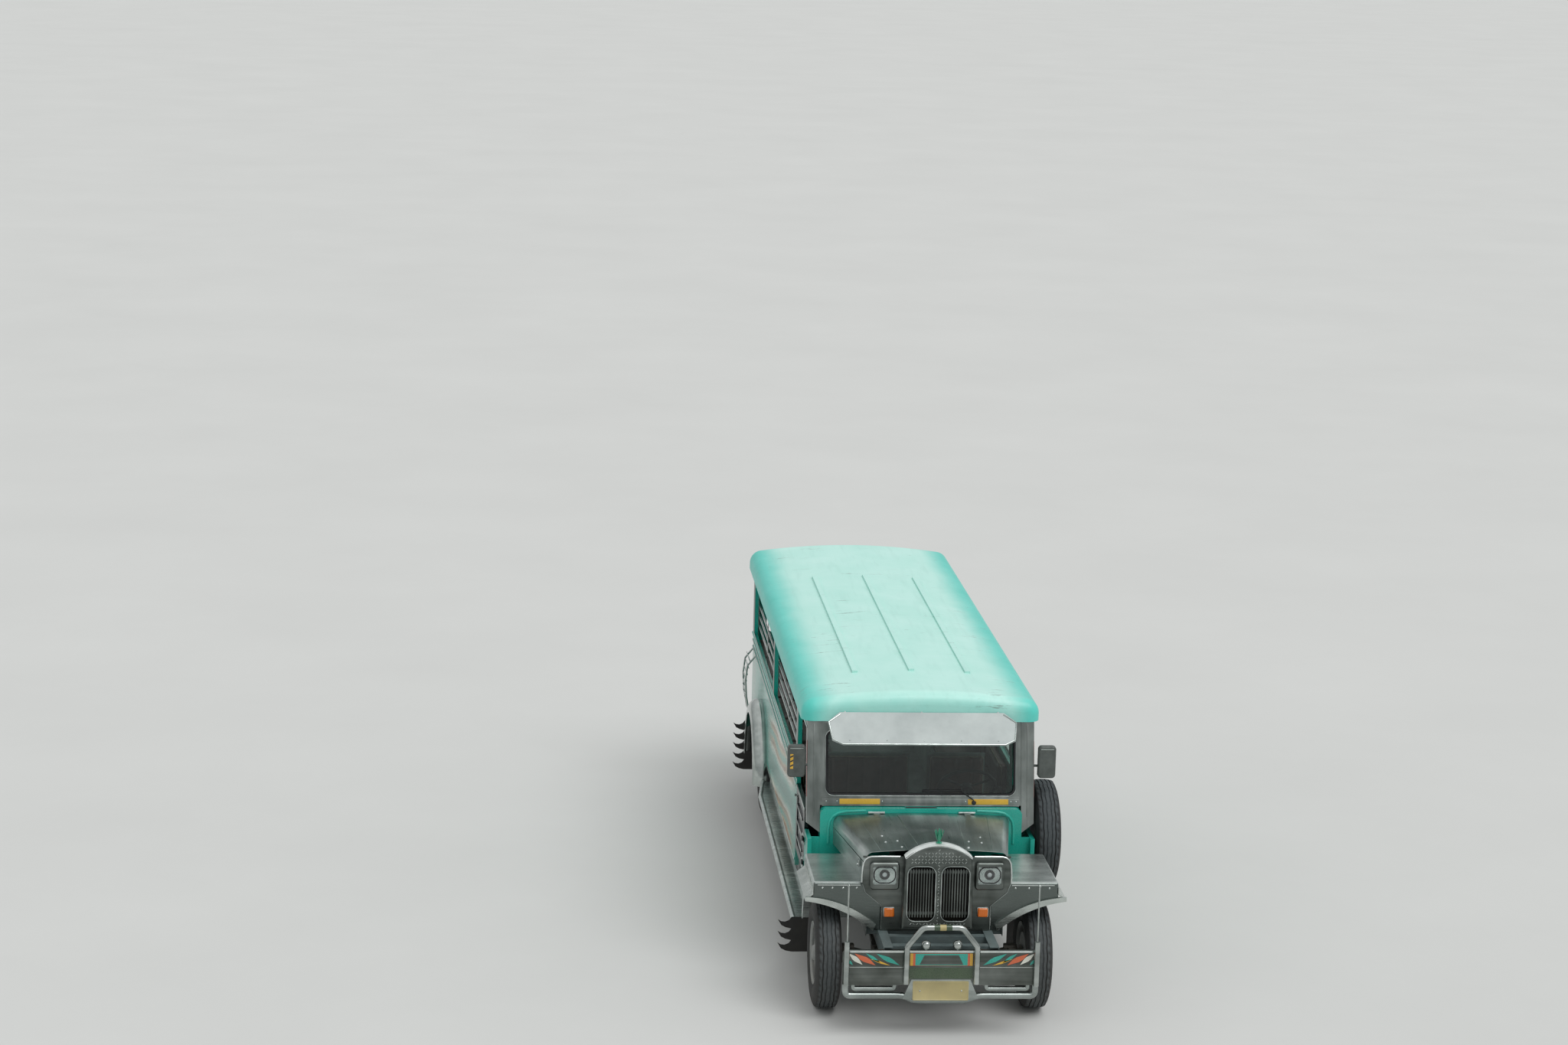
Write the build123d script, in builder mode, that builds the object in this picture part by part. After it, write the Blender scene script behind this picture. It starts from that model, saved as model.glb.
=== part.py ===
from build123d import *
import os
from math import asin, cos, radians, sin, sqrt

# A jeepney, a long shared passenger vehicle, in millimetres: +X forward, +Y to its left, +Z up.
# The origin is on the ground, under the middle of the whole vehicle.
# Lengths along the vehicle are counted from the front axle, which is at FRONT_X.

# Axles and wheels
FRONT_X = 2782.0
WHEELBASE = 4900.0
REAR_X = FRONT_X - WHEELBASE
TYRE_R = 389.0
TYRE_W = 190.0
BEAD_R = 212.0
WHEEL_Y = 745.0
KINGPIN_Y = 600.0
KINGPIN_R = 15.0
STUB_R = 20.0
HUB_R = 62.0
HUB_END_Y = 812.0
RUNNING_GAP = 0.3
HUB_BACK_Y = 672.0
STEER_ARM = 150.0
ARM_END_Y = KINGPIN_Y - 18.0
ARM_Z = TYRE_R - 30.0
TIE_ROD_GAP = 0.5
BALL_R = 18.0

# Chassis, its rails at a ride height over the axles
RIDE_H = 261.0
RAIL_Y = 370.0
RAIL_W = 65.0
RAIL_H = 120.0
RAIL_T = 6.0
RAIL_TOP_Z = TYRE_R + RIDE_H
RAIL_FOOT_Z = RAIL_TOP_Z - RAIL_H
RAIL_FRONT_X = FRONT_X + 660.0
REAR_OVERHANG = 1200.0
REAR_WALL_X = REAR_X - REAR_OVERHANG
RAIL_REAR_X = REAR_WALL_X + 40.0
ARM_H = 50.0
ARM_W = 40.0
SPRING_W = 60.0
LEAF_T = 9.0
AXLE_TUBE_R = 45.0
FRONT_SEAT_Z = TYRE_R + 15.0
REAR_SEAT_Z = TYRE_R + AXLE_TUBE_R + 6.0

# Body shell, its heights counted up from the floor and its widths from the sides
FLOOR_T = 40.0
FLOOR_Z = RAIL_TOP_Z + FLOOR_T
BODY_Y = 830.0
WALL_T = 30.0
INNER_Y = BODY_Y - WALL_T
WALL_FOOT_Z = RAIL_TOP_Z - 90.0
SILL_Z = FLOOR_Z + 620.0
HEADER_Z = SILL_Z + 490.0
ROOF_Y = BODY_Y + 43.0
ROOF_EDGE_Z = HEADER_Z + 70.0
ROOF_CROWN_Z = ROOF_EDGE_Z + 215.0
ROOF_T = 14.0
ROOF_FRONT_X = FRONT_X - 828.0
ROOF_REAR_X = REAR_WALL_X - 110.0
HEADER_X = FRONT_X - 945.0
HEADER_FOOT_Z = ROOF_EDGE_Z - 40.0
COWL_X = FRONT_X - 645.0
COWL_Y = BODY_Y - 93.0
COWL_TOP_Z = FLOOR_Z + 572.0
COWL_SIDE_Z = FLOOR_Z + 360.0
DOOR_FRONT_X = FRONT_X - 850.0
DOOR_REAR_X = FRONT_X - 1550.0
DOOR_TOP_Z = FLOOR_Z + 510.0
PANEL_GAP = 6.0
MID_POST_X = (REAR_WALL_X + DOOR_REAR_X) / 2
POST_W = 100.0
MOULDING_H = 22.0
MOULDING_T = 5.0

# Nose and wings
NOSE_X = FRONT_X + 285.0
NOSE_T = 12.0
NOSE_FOOT_Z = RAIL_TOP_Z
NOSE_TOP_Z = NOSE_FOOT_Z + 540.0
WING_TOP_Z = RAIL_TOP_Z + 350.0
WING_Y = BODY_Y + 34.0
WING_IN_Y = 480.0
WING_REAR_X = FRONT_X - 400.0
SHEET_T = 5.0
GRILLE_X = FRONT_X + 395.0
BONNET_TOP_Z = WING_TOP_Z + 216.0
BONNET_EDGE_Z = WING_TOP_Z + 130.0
BONNET_T = 3.0

# Bumper
BUMPER_X = FRONT_X + 684.0
BUMPER_Y = 687.5
BUMPER_TOP_Z = RAIL_TOP_Z - 15.0
BUMPER_FOOT_Z = BUMPER_TOP_Z - 252.0
BUMPER_T = 8.0
BUMPER_CORNER_R = 24.0

# Running boards
BOARD_Z = RAIL_TOP_Z - 210.0
BOARD_T = 30.0
BOARD_Y = (BODY_Y - 30.0, BODY_Y + 75.0)
BOARD_X = (REAR_X + 1050.0, FRONT_X - 600.0)
ARCH_R = TYRE_R + 78.0
COVER_R = ARCH_R + 123.0
BOARD_END_X = REAR_X + COVER_R + 15.0
HANGERS = (FRONT_X - 640.0, FRONT_X - 1560.0, FRONT_X - 2500.0, REAR_X + 1460.0)

os.makedirs("parts", exist_ok=True)


def side_plane(y):
    """Sketch plane across the vehicle at y: local x is X, local y is Z."""
    return Plane(origin=(0, y, 0), x_dir=(1, 0, 0), z_dir=(0, -1, 0))


def station(x):
    """Sketch plane at a station x: local x is Y, local y is Z, extruding forward."""
    return Plane(origin=(x, 0, 0), x_dir=(0, 1, 0), z_dir=(1, 0, 0))


def level(z):
    """Sketch plane at a height z."""
    return Plane.XY.offset(z)


def box_between(x, y, z):
    """A plain block from pairs of limits along X, Y and Z."""
    size = (x[1] - x[0], y[1] - y[0], z[1] - z[0])
    middle = ((x[0] + x[1]) / 2, (y[0] + y[1]) / 2, (z[0] + z[1]) / 2)
    with BuildPart() as block:
        with Locations(middle):
            Box(*size)
    return block.part


def span(side, a, b):
    """The limits a and b along Y, taken to one side of the vehicle."""
    return sorted((side * a, side * b))


def corners(x, y):
    """Corner points of a rectangle between two pairs of limits."""
    return (x[0], y[0]), (x[1], y[0]), (x[1], y[1]), (x[0], y[1])


def tube(points, radius, bend=0.0):
    """A round bar along straight runs, joined by bends of one radius."""
    with BuildPart() as bar:
        with BuildLine() as path:
            if bend:
                FilletPolyline(*points, radius=bend)
            else:
                Polyline(*points)
        with BuildSketch(Plane(origin=path.line @ 0, z_dir=path.line % 0)):
            Circle(radius)
        sweep(path=path.line)
    return bar.part


def turned(x, y, z, outline):
    """A solid turned about a line along Y: outline holds (y offset, radius) pairs."""
    with BuildPart() as solid:
        with BuildSketch(Plane(origin=(x, y, z), x_dir=(0, 1, 0), z_dir=(1, 0, 0))):
            Polygon(*outline, align=None)
        revolve(axis=Axis((x, y, z), (0, 1, 0)))
    return solid.part


def save(block, name):
    """Label one finished piece and write it."""
    block.part.label = name
    export_step(block.part, f"parts/{name}.step")


def save_all(blocks, name):
    """Label separate pieces that lie against each other as one node and write them."""
    together = Compound(label=name, children=blocks)
    export_step(together, f"parts/{name}.step")


def make_tyre(x, y, z):
    """A tyre with rounded shoulders, its beads on the rim."""
    half = TYRE_W / 2
    with BuildPart() as tyre:
        with BuildSketch(Plane(origin=(x, y, z), x_dir=(0, 1, 0), z_dir=(1, 0, 0))):
            with BuildLine():
                Line((-62, BEAD_R), (62, BEAD_R))
                ThreePointArc((62, BEAD_R), (half, 300), (half - 22, TYRE_R - 10))
                ThreePointArc((half - 22, TYRE_R - 10), (0, TYRE_R), (22 - half, TYRE_R - 10))
                ThreePointArc((22 - half, TYRE_R - 10), (-half, 300), (-62, BEAD_R))
            make_face()
        revolve(axis=Axis((x, y, z), (0, 1, 0)))
    return tyre.part


def make_rim(x, y, z, out, bore_r):
    """A pressed steel rim with hand holes; out is +1 where the dish faces +Y."""
    barrel = [
        (-84, BEAD_R + 12), (-79, BEAD_R + 12), (-64, BEAD_R), (64, BEAD_R), (79, BEAD_R + 12),
        (84, BEAD_R + 12), (84, BEAD_R + 5), (70, BEAD_R - 6), (-70, BEAD_R - 6), (-84, BEAD_R + 5),
    ]
    dish = [(18, bore_r), (34, bore_r), (34, 95), (58, 120), (58, 150), (20, 190), (20, BEAD_R - 3),
            (8, BEAD_R - 3), (8, 184), (46, 148), (46, 124), (22, 97), (18, 97)]
    with BuildPart() as rim:
        add(turned(x, y, z, [(out * w, r) for w, r in barrel]))
        add(turned(x, y, z, [(out * w, r) for w, r in dish]))
        holes = Plane(origin=(x, y, z), x_dir=(1, 0, 0), z_dir=(0, out, 0))
        with BuildSketch(holes):
            with PolarLocations(164, 8):
                Ellipse(14, 20)
        extrude(amount=70, mode=Mode.SUBTRACT)
        with BuildSketch(holes.offset(34)):
            with PolarLocations(80, 6):
                RegularPolygon(12, 6)
        extrude(amount=16)
    return rim.part


def make_hub(x, side, back_y):
    """A wheel hub: a turned drum, bored for the stub, that carries the rim's dish."""
    face = WHEEL_Y + 18.0
    outline = [(back_y, STUB_R + RUNNING_GAP), (back_y, 150), (face - 30, 150), (face - 30, HUB_R),
               (HUB_END_Y, HUB_R), (HUB_END_Y + 22, 45), (HUB_END_Y + 22, 0), (HUB_END_Y - 2, 0),
               (HUB_END_Y - 2, STUB_R + RUNNING_GAP)]
    return turned(x, 0, TYRE_R, [(side * w, r) for w, r in outline])


# Road wheels, one table: name, station, side of the vehicle
for name, x, side in (
    ("front_left", FRONT_X, 1), ("front_right", FRONT_X, -1),
    ("rear_left", REAR_X, 1), ("rear_right", REAR_X, -1),
):
    with BuildPart() as tyre:
        add(make_tyre(x, side * WHEEL_Y, TYRE_R))
    save(tyre, f"tyre_{name}")
    with BuildPart() as rim:
        add(make_rim(x, side * WHEEL_Y, TYRE_R, side, HUB_R))
        add(make_hub(x, side, HUB_BACK_Y))
    save(rim, f"rim_{name}")

# Spare wheel, standing against the left side in front of the body wall
SPARE_X = FRONT_X - 950.0
SPARE_Y = BODY_Y + 105.0
SPARE_Z = FLOOR_Z + 315.0
with BuildPart() as spare_tyre:
    add(make_tyre(SPARE_X, SPARE_Y, SPARE_Z))
save(spare_tyre, "spare_tyre")
with BuildPart() as spare_rim:
    add(make_rim(SPARE_X, SPARE_Y, SPARE_Z, 1, 55))
    add(turned(SPARE_X, 0, SPARE_Z, [(BODY_Y, 0), (BODY_Y, 70), (SPARE_Y + 18, 70), (SPARE_Y + 18, 54),
                                     (SPARE_Y + 52, 54), (SPARE_Y + 52, 0)]))
save(spare_rim, "spare_rim")

# Steering knuckles: kingpin boss, stub axle and an arm that points back
for name, side in (("left", 1), ("right", -1)):
    with BuildPart() as knuckle:
        with Locations((FRONT_X, side * KINGPIN_Y, TYRE_R)):
            Cylinder(34, 90)
        add(turned(FRONT_X, 0, TYRE_R, [(side * KINGPIN_Y, 0), (side * KINGPIN_Y, 32), (side * 640, 32),
                                        (side * 655, 60), (side * 664, 60), (side * 664, STUB_R),
                                        (side * (HUB_END_Y - 6), STUB_R), (side * (HUB_END_Y - 6), 0)]))
        with BuildSketch(level(ARM_Z)):
            with BuildLine():
                Polyline((FRONT_X, side * (KINGPIN_Y + 5)), (FRONT_X, side * (KINGPIN_Y + 34)),
                         (FRONT_X - STEER_ARM - 18, side * (ARM_END_Y + 16)),
                         (FRONT_X - STEER_ARM - 18, side * (ARM_END_Y - 16)), close=True)
            make_face()
        extrude(amount=16)
        with Locations((FRONT_X, side * KINGPIN_Y, TYRE_R)):
            Cylinder(KINGPIN_R + RUNNING_GAP, 90, mode=Mode.SUBTRACT)
    save(knuckle, f"knuckle_{name}")

# Tie rod between the arms, with a ball under each arm's end
ROD_Z = ARM_Z - TIE_ROD_GAP - BALL_R
TIE_ROD_X = FRONT_X - STEER_ARM
with BuildPart() as tie_rod:
    add(tube([(TIE_ROD_X, -ARM_END_Y, ROD_Z), (TIE_ROD_X, ARM_END_Y, ROD_Z)], 13))
    with Locations((TIE_ROD_X, ARM_END_Y, ROD_Z), (TIE_ROD_X, -ARM_END_Y, ROD_Z)):
        Sphere(BALL_R)
save(tie_rod, "tie_rod")

# Front axle: an I beam with a fork and kingpin at each end
FORK_H = 46.0
BEAM = ((-560, -17), (-470, -59), (470, -59), (560, -17), (560, 39), (440, 7), (-440, 7), (-560, 39))
with BuildPart() as front_axle:
    with BuildSketch(station(FRONT_X - 28)):
        with BuildLine():
            Polyline(*[(y, TYRE_R + dz) for y, dz in BEAM], close=True)
        make_face()
    extrude(amount=56)
    for side in (1, -1):
        for z in (TYRE_R + FORK_H, TYRE_R - FORK_H):
            lift = 9 if z > TYRE_R else -9
            with Locations((FRONT_X, side * KINGPIN_Y, z + lift)):
                Cylinder(30, 18)
            add(box_between((FRONT_X - 28, FRONT_X + 28), span(side, 540, KINGPIN_Y),
                            sorted((z, z + 2 * lift))))
        add(box_between((FRONT_X - 20, FRONT_X + 20), span(side, 536, 558),
                        (TYRE_R - FORK_H - 18, TYRE_R + FORK_H + 18)))
        with Locations((FRONT_X, side * KINGPIN_Y, TYRE_R)):
            Cylinder(KINGPIN_R, 2 * FORK_H + 36)
        add(box_between((FRONT_X - 60, FRONT_X + 60), span(side, RAIL_Y - 35, RAIL_Y + 35),
                        (TYRE_R - 4, FRONT_SEAT_Z)))
save(front_axle, "front_axle")

# Rear axle: tubes, a round differential housing and a flange for each brake
with BuildPart() as rear_axle:
    add(turned(REAR_X, 0, TYRE_R, [(-640, 0), (-640, AXLE_TUBE_R), (640, AXLE_TUBE_R), (640, 0)]))
    add(turned(REAR_X, 0, TYRE_R, [(-120, 0), (-95, 110), (-60, 150), (60, 150), (95, 110), (120, 0)]))
    with Locations(Location((REAR_X + 150, 0, TYRE_R), (0, 90, 0))):
        Cone(80, 45, 120)
    for side in (1, -1):
        brake = [(630, 0), (630, 140), (655, 140), (655, 32), (664, 32), (664, STUB_R), (HUB_END_Y - 6, STUB_R),
                 (HUB_END_Y - 6, 0)]
        add(turned(REAR_X, 0, TYRE_R, [(side * w, r) for w, r in brake]))
        add(box_between((REAR_X - 60, REAR_X + 60), span(side, RAIL_Y - 35, RAIL_Y + 35),
                        (TYRE_R + 11, REAR_SEAT_Z)))
save(rear_axle, "rear_axle")


def leaf_pack(x, y, seat_z, half_span, leaves):
    """Curved leaves stacked downward, with an eye at each end and a clamp on the axle."""
    top_z = seat_z + leaves * LEAF_T
    rise = EYE_Z - EYE_R / 6 - top_z
    top_r = (half_span ** 2 + rise ** 2) / (2 * rise)
    centre_z = top_z + top_r
    with BuildPart() as pack:
        for i in range(leaves):
            inner = top_r + i * LEAF_T
            outer = inner + LEAF_T
            reach = asin(half_span / top_r) * (1.0 - i / (leaves + 0.6))
            ends = [(x + sign * r * sin(reach), centre_z - r * cos(reach))
                    for sign, r in ((-1, inner), (1, inner), (1, outer), (-1, outer))]
            with BuildSketch(side_plane(y)):
                with BuildLine():
                    ThreePointArc(ends[0], (x, centre_z - inner), ends[1])
                    Line(ends[1], ends[2])
                    ThreePointArc(ends[2], (x, centre_z - outer), ends[3])
                    Line(ends[3], ends[0])
                make_face()
            extrude(amount=SPRING_W / 2, both=True)
        with BuildSketch(side_plane(y)):
            with Locations((x - half_span, EYE_Z), (x + half_span, EYE_Z)):
                Circle(EYE_R)
        extrude(amount=SPRING_W / 2, both=True)
        add(box_between((x - 45, x + 45), (y - 40, y + 40), (seat_z, top_z + 10)))
    return pack.part


# Leaf springs, one table: axle station, height of the seat, half span, leaves
EYE_R = 22.0
EYE_Z = RAIL_TOP_Z - RAIL_H - EYE_R - 6.0
SPRINGS = ((FRONT_X, FRONT_SEAT_Z, 480.0, 5), (REAR_X, REAR_SEAT_Z, 620.0, 4))
with BuildPart() as leaf_springs:
    for x, seat_z, half_span, leaves in SPRINGS:
        for side in (1, -1):
            add(leaf_pack(x, side * RAIL_Y, seat_z, half_span, leaves))
save(leaf_springs, "leaf_springs")

# Chassis: two channel rails, cross members, outriggers and a pair of cheeks at each spring eye
OUTRIGGERS = (*HANGERS, FRONT_X - 3020.0, REAR_X + TYRE_R + 151.0, REAR_X - TYRE_R - 211.0)
CROSS_MEMBERS = (FRONT_X + 590.0, FRONT_X + 380.0, FRONT_X + 230.0, FRONT_X - 1340.0, FRONT_X - 1900.0,
                 FRONT_X - 2800.0, REAR_X + 1100.0, REAR_X + 620.0, REAR_X - 620.0, REAR_WALL_X + 80.0)
CROSS_W = 60.0
with BuildPart() as chassis:
    for side in (1, -1):
        out_y = side * (RAIL_Y + RAIL_W / 2)
        in_y = side * (RAIL_Y - RAIL_W / 2)
        run = (RAIL_REAR_X, RAIL_FRONT_X)
        add(box_between(run, sorted((out_y, out_y - side * RAIL_T)), (RAIL_FOOT_Z, RAIL_TOP_Z)))
        add(box_between(run, sorted((out_y, in_y)), (RAIL_TOP_Z - RAIL_T, RAIL_TOP_Z)))
        add(box_between(run, sorted((out_y, in_y)), (RAIL_FOOT_Z, RAIL_FOOT_Z + RAIL_T)))
        for x, end_y in ((FRONT_X + 200, WING_IN_Y), *[(x, INNER_Y) for x in OUTRIGGERS]):
            add(box_between((x - ARM_W / 2, x + ARM_W / 2), sorted((out_y, side * end_y)),
                            (RAIL_TOP_Z - ARM_H, RAIL_TOP_Z)))
        for x, _, half_span, _ in SPRINGS:
            for eye_x in (x - half_span, x + half_span):
                for cheek in (1, -1):
                    face_y = side * RAIL_Y + cheek * (SPRING_W / 2 + RUNNING_GAP)
                    with BuildSketch(side_plane(face_y)):
                        with BuildLine():
                            Polyline((eye_x - 34, RAIL_FOOT_Z), (eye_x - 20, EYE_Z - 30),
                                     (eye_x + 20, EYE_Z - 30), (eye_x + 34, RAIL_FOOT_Z), close=True)
                        make_face()
                    extrude(amount=-8 * cheek)
    reach = RAIL_Y + RAIL_W / 2 - RAIL_T
    for x in CROSS_MEMBERS:
        add(box_between((x - CROSS_W / 2, x + CROSS_W / 2), (-reach, reach),
                        (RAIL_TOP_Z - 90, RAIL_TOP_Z - RAIL_T)))
save(chassis, "chassis_frame")

# Engine with its gearbox, one plain block at its real place
ENGINE_X = (FRONT_X - 560.0, FRONT_X + 130.0)
GEARBOX_END_X = FRONT_X - 1240.0
SHAFT_Z = RAIL_TOP_Z - 130.0
with BuildPart() as engine:
    add(box_between(ENGINE_X, (-235, 235), (RAIL_TOP_Z - 50, RAIL_TOP_Z + 410)))
    with BuildSketch(station(GEARBOX_END_X)):
        with Locations((0, SHAFT_Z)):
            Circle(88)
    extrude(amount=ENGINE_X[0] - GEARBOX_END_X + 60)
    for side in (1, -1):
        add(box_between((FRONT_X - 260, FRONT_X - 180), span(side, 200, RAIL_Y + RAIL_W / 2 - RAIL_T),
                        (RAIL_FOOT_Z + RAIL_T, RAIL_TOP_Z - RAIL_T)))
save(engine, "engine_block")

with BuildPart() as radiator:
    add(box_between((FRONT_X + 200, FRONT_X + 262), (-225, 225), (RAIL_TOP_Z - RAIL_T, RAIL_TOP_Z + 480)))
    add(box_between((FRONT_X + 192, FRONT_X + 262), (-235, 235), (RAIL_TOP_Z + 480, RAIL_TOP_Z + 522)))
save(radiator, "radiator")

# Propeller shaft, from the gearbox back to the nose of the rear axle
SHAFT_END_X = REAR_X + 210.0
JOINT_R = 44.0
with BuildPart() as shaft:
    joints = ((GEARBOX_END_X - JOINT_R, 0, SHAFT_Z), (SHAFT_END_X + JOINT_R, 0, TYRE_R))
    add(tube(joints, 32))
    with Locations(*joints):
        Sphere(JOINT_R)
    for x, z, way in ((GEARBOX_END_X, SHAFT_Z, -1), (SHAFT_END_X, TYRE_R, 1)):
        with BuildSketch(station(x)):
            with Locations((0, z)):
                Circle(30)
        extrude(amount=way * JOINT_R)
save(shaft, "propeller_shaft")

# Fuel tank below the floor, with two straps round it
TANK = (300.0, 240.0, 50.0)
TANK_AT = (-585.0, RAIL_TOP_Z - ARM_H - TANK[1] / 2)
STRAP_T = 4.0
with BuildPart() as fuel_tank:
    with BuildSketch(station(FRONT_X - 3050)):
        with Locations(TANK_AT):
            RectangleRounded(*TANK)
    extrude(amount=560)
    for x in (FRONT_X - 2930, FRONT_X - 2650):
        with BuildSketch(station(x)):
            with Locations(TANK_AT):
                RectangleRounded(TANK[0] + 2 * STRAP_T, TANK[1] + 2 * STRAP_T, TANK[2] + STRAP_T)
        extrude(amount=40)
save(fuel_tank, "fuel_tank")

# Exhaust: a down pipe, a silencer and a tail pipe that rises over the rear axle
PIPE_R = 24.0
PIPE_Y = 200.0
PIPE_Z = RAIL_TOP_Z - 170.0
with BuildPart() as exhaust:
    add(tube([(FRONT_X - 400, 235, RAIL_TOP_Z + 50), (FRONT_X - 400, 285, RAIL_TOP_Z + 50),
              (FRONT_X - 400, 285, RAIL_TOP_Z - 80), (FRONT_X - 560, PIPE_Y, PIPE_Z),
              (FRONT_X - 2100, PIPE_Y, PIPE_Z)], PIPE_R, 26))
    add(tube([(FRONT_X - 2050, PIPE_Y, PIPE_Z), (FRONT_X - 2650, PIPE_Y, PIPE_Z)], 85))
    add(tube([(FRONT_X - 2600, PIPE_Y, PIPE_Z), (REAR_X + 330, PIPE_Y, PIPE_Z),
              (REAR_X + 160, PIPE_Y, PIPE_Z + 20), (REAR_X - 500, PIPE_Y, PIPE_Z + 20),
              (REAR_WALL_X + 40, PIPE_Y, PIPE_Z - 10)], PIPE_R, 80))
save(exhaust, "exhaust_pipe")

# Floor pan with a box over each rear wheel
WHEEL_BOX_X = (REAR_X - TYRE_R - 66.0, REAR_X + TYRE_R + 66.0)
WHEEL_BOX_Y = WHEEL_Y - 155.0
WHEEL_BOX_Z = 2 * TYRE_R + 84.0
with BuildPart() as floor:
    add(box_between((REAR_WALL_X + WALL_T, FRONT_X - 700), (-INNER_Y, INNER_Y), (RAIL_TOP_Z, FLOOR_Z)))
    for side in (1, -1):
        add(box_between(WHEEL_BOX_X, span(side, WHEEL_BOX_Y, INNER_Y), (RAIL_TOP_Z, WHEEL_BOX_Z)))
        with BuildSketch(side_plane(side * (WHEEL_BOX_Y + 4))):
            Polygon((WHEEL_BOX_X[0] + 4, RAIL_TOP_Z - 1), (WHEEL_BOX_X[1] - 4, RAIL_TOP_Z - 1),
                    (WHEEL_BOX_X[1] - 4, WHEEL_BOX_Z - 4), (WHEEL_BOX_X[0] + 4, WHEEL_BOX_Z - 4), align=None)
        extrude(amount=-side * (INNER_Y - WHEEL_BOX_Y), mode=Mode.SUBTRACT)
save(floor, "floor_pan")

# Cowl: the firewall, the scuttle above it and its sides
COWL_DEPTH = 105.0
with BuildPart() as cowl:
    with BuildSketch(station(COWL_X - COWL_DEPTH)):
        Polygon(*corners((-COWL_Y, COWL_Y), (FLOOR_Z, COWL_TOP_Z)), align=None)
        fillet(vertices().group_by(Axis.Y)[-1], 45)
    extrude(amount=COWL_DEPTH)
    with BuildSketch(station(COWL_X - COWL_DEPTH)):
        with BuildLine():
            Polyline((12 - COWL_Y, FLOOR_Z), (12 - COWL_Y, COWL_TOP_Z - 14), (COWL_Y - 12, COWL_TOP_Z - 14),
                     (COWL_Y - 12, FLOOR_Z), close=True)
        make_face()
    extrude(amount=COWL_DEPTH - 12, mode=Mode.SUBTRACT)
    for side in (1, -1):
        add(box_between((DOOR_FRONT_X, FRONT_X - 600), span(side, INNER_Y, BODY_Y),
                        (WALL_FOOT_Z, COWL_SIDE_Z)))
        add(box_between((COWL_X - 15, COWL_X - 3), span(side, COWL_Y - 1, INNER_Y),
                        (RAIL_TOP_Z + 1, COWL_SIDE_Z)))
save(cowl, "cowl")

# Steering wheel and column, leaning back from the dashboard
WHEEL_LEAN = 40.0
STEER_CENTRE = (FRONT_X - 1010.0, 375.0, FLOOR_Z + 640.0)
STEER_R = 208.0
column_way = (-cos(radians(WHEEL_LEAN)), 0, sin(radians(WHEEL_LEAN)))
steer_plane = Plane(origin=STEER_CENTRE, x_dir=(0, 1, 0), z_dir=column_way)
COLUMN_R = 17.0
COLUMN_END = 440.0

# Dashboard, from the cowl back into the cab, bored for the column
with BuildPart() as dashboard:
    with BuildSketch(side_plane(0)):
        with BuildLine():
            Polyline((COWL_X - COWL_DEPTH, COWL_TOP_Z - 222), (COWL_X - COWL_DEPTH, COWL_TOP_Z),
                     (FRONT_X - 860, COWL_TOP_Z - 7), (FRONT_X - 905, COWL_TOP_Z - 62),
                     (FRONT_X - 860, COWL_TOP_Z - 222), close=True)
        make_face()
    extrude(amount=COWL_Y - 14, both=True)
    with BuildSketch(steer_plane):
        Circle(COLUMN_R + 0.3)
    extrude(amount=-COLUMN_END, mode=Mode.SUBTRACT)
save(dashboard, "dashboard")

# Windscreen, on a plane that leans back from the top of the cowl
LEAN = 12.2
SCREEN_FOOT = (FRONT_X - 712.0, 0.0, COWL_TOP_Z)
SCREEN_H = 621.0
FRAME_T = 40.0
GLASS_Y = COWL_Y - 53.0
GLASS_Z = (92.0, 545.0)
screen = Plane(origin=SCREEN_FOOT, x_dir=(0, 1, 0), z_dir=(cos(radians(LEAN)), 0, sin(radians(LEAN))))
GLASS_MIDDLE = (0, (GLASS_Z[0] + GLASS_Z[1]) / 2)
with BuildPart() as windscreen_frame:
    with BuildSketch(screen.offset(-FRAME_T)):
        Polygon((-COWL_Y, 9), (COWL_Y, 9), (COWL_Y, SCREEN_H), (-COWL_Y, SCREEN_H), align=None)
        with Locations(GLASS_MIDDLE):
            RectangleRounded(2 * GLASS_Y, GLASS_Z[1] - GLASS_Z[0], 45, mode=Mode.SUBTRACT)
    extrude(amount=FRAME_T)
    add(box_between((FRONT_X - 900, FRONT_X - 852), (-COWL_Y, COWL_Y), (HEADER_FOOT_Z, ROOF_EDGE_Z)))
save(windscreen_frame, "windscreen_frame")

with BuildPart() as windscreen:
    with BuildSketch(screen.offset(-22)):
        with Locations(GLASS_MIDDLE):
            RectangleRounded(2 * GLASS_Y, GLASS_Z[1] - GLASS_Z[0], 45)
    extrude(amount=6)
save(windscreen, "windscreen_glass")

# Door posts: flat covers beside the windscreen, with a pointed foot
with BuildPart() as door_posts:
    for side in (1, -1):
        with BuildSketch(screen.offset(-95)):
            Polygon((side * COWL_Y, -190), (side * BODY_Y, -120), (side * BODY_Y, SCREEN_H - 2),
                    (side * COWL_Y, SCREEN_H - 2), align=None)
        extrude(amount=100)
        add(box_between((HEADER_X, FRONT_X - 852), span(side, COWL_Y, BODY_Y),
                        (HEADER_FOOT_Z, ROOF_EDGE_Z)))
save(door_posts, "door_posts")

# Roof: one crowned shell with rounded ends and three long ribs
CROWN_RISE = 70.0
FLANGE_FRONT_X = FRONT_X - 935.0
FLANGE_REAR_X = REAR_WALL_X + WALL_T + 5.0
SHOULDER_Z = ROOF_CROWN_Z - CROWN_RISE
CROWN_R = (ROOF_Y ** 2 + CROWN_RISE ** 2) / (2 * CROWN_RISE)


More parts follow.
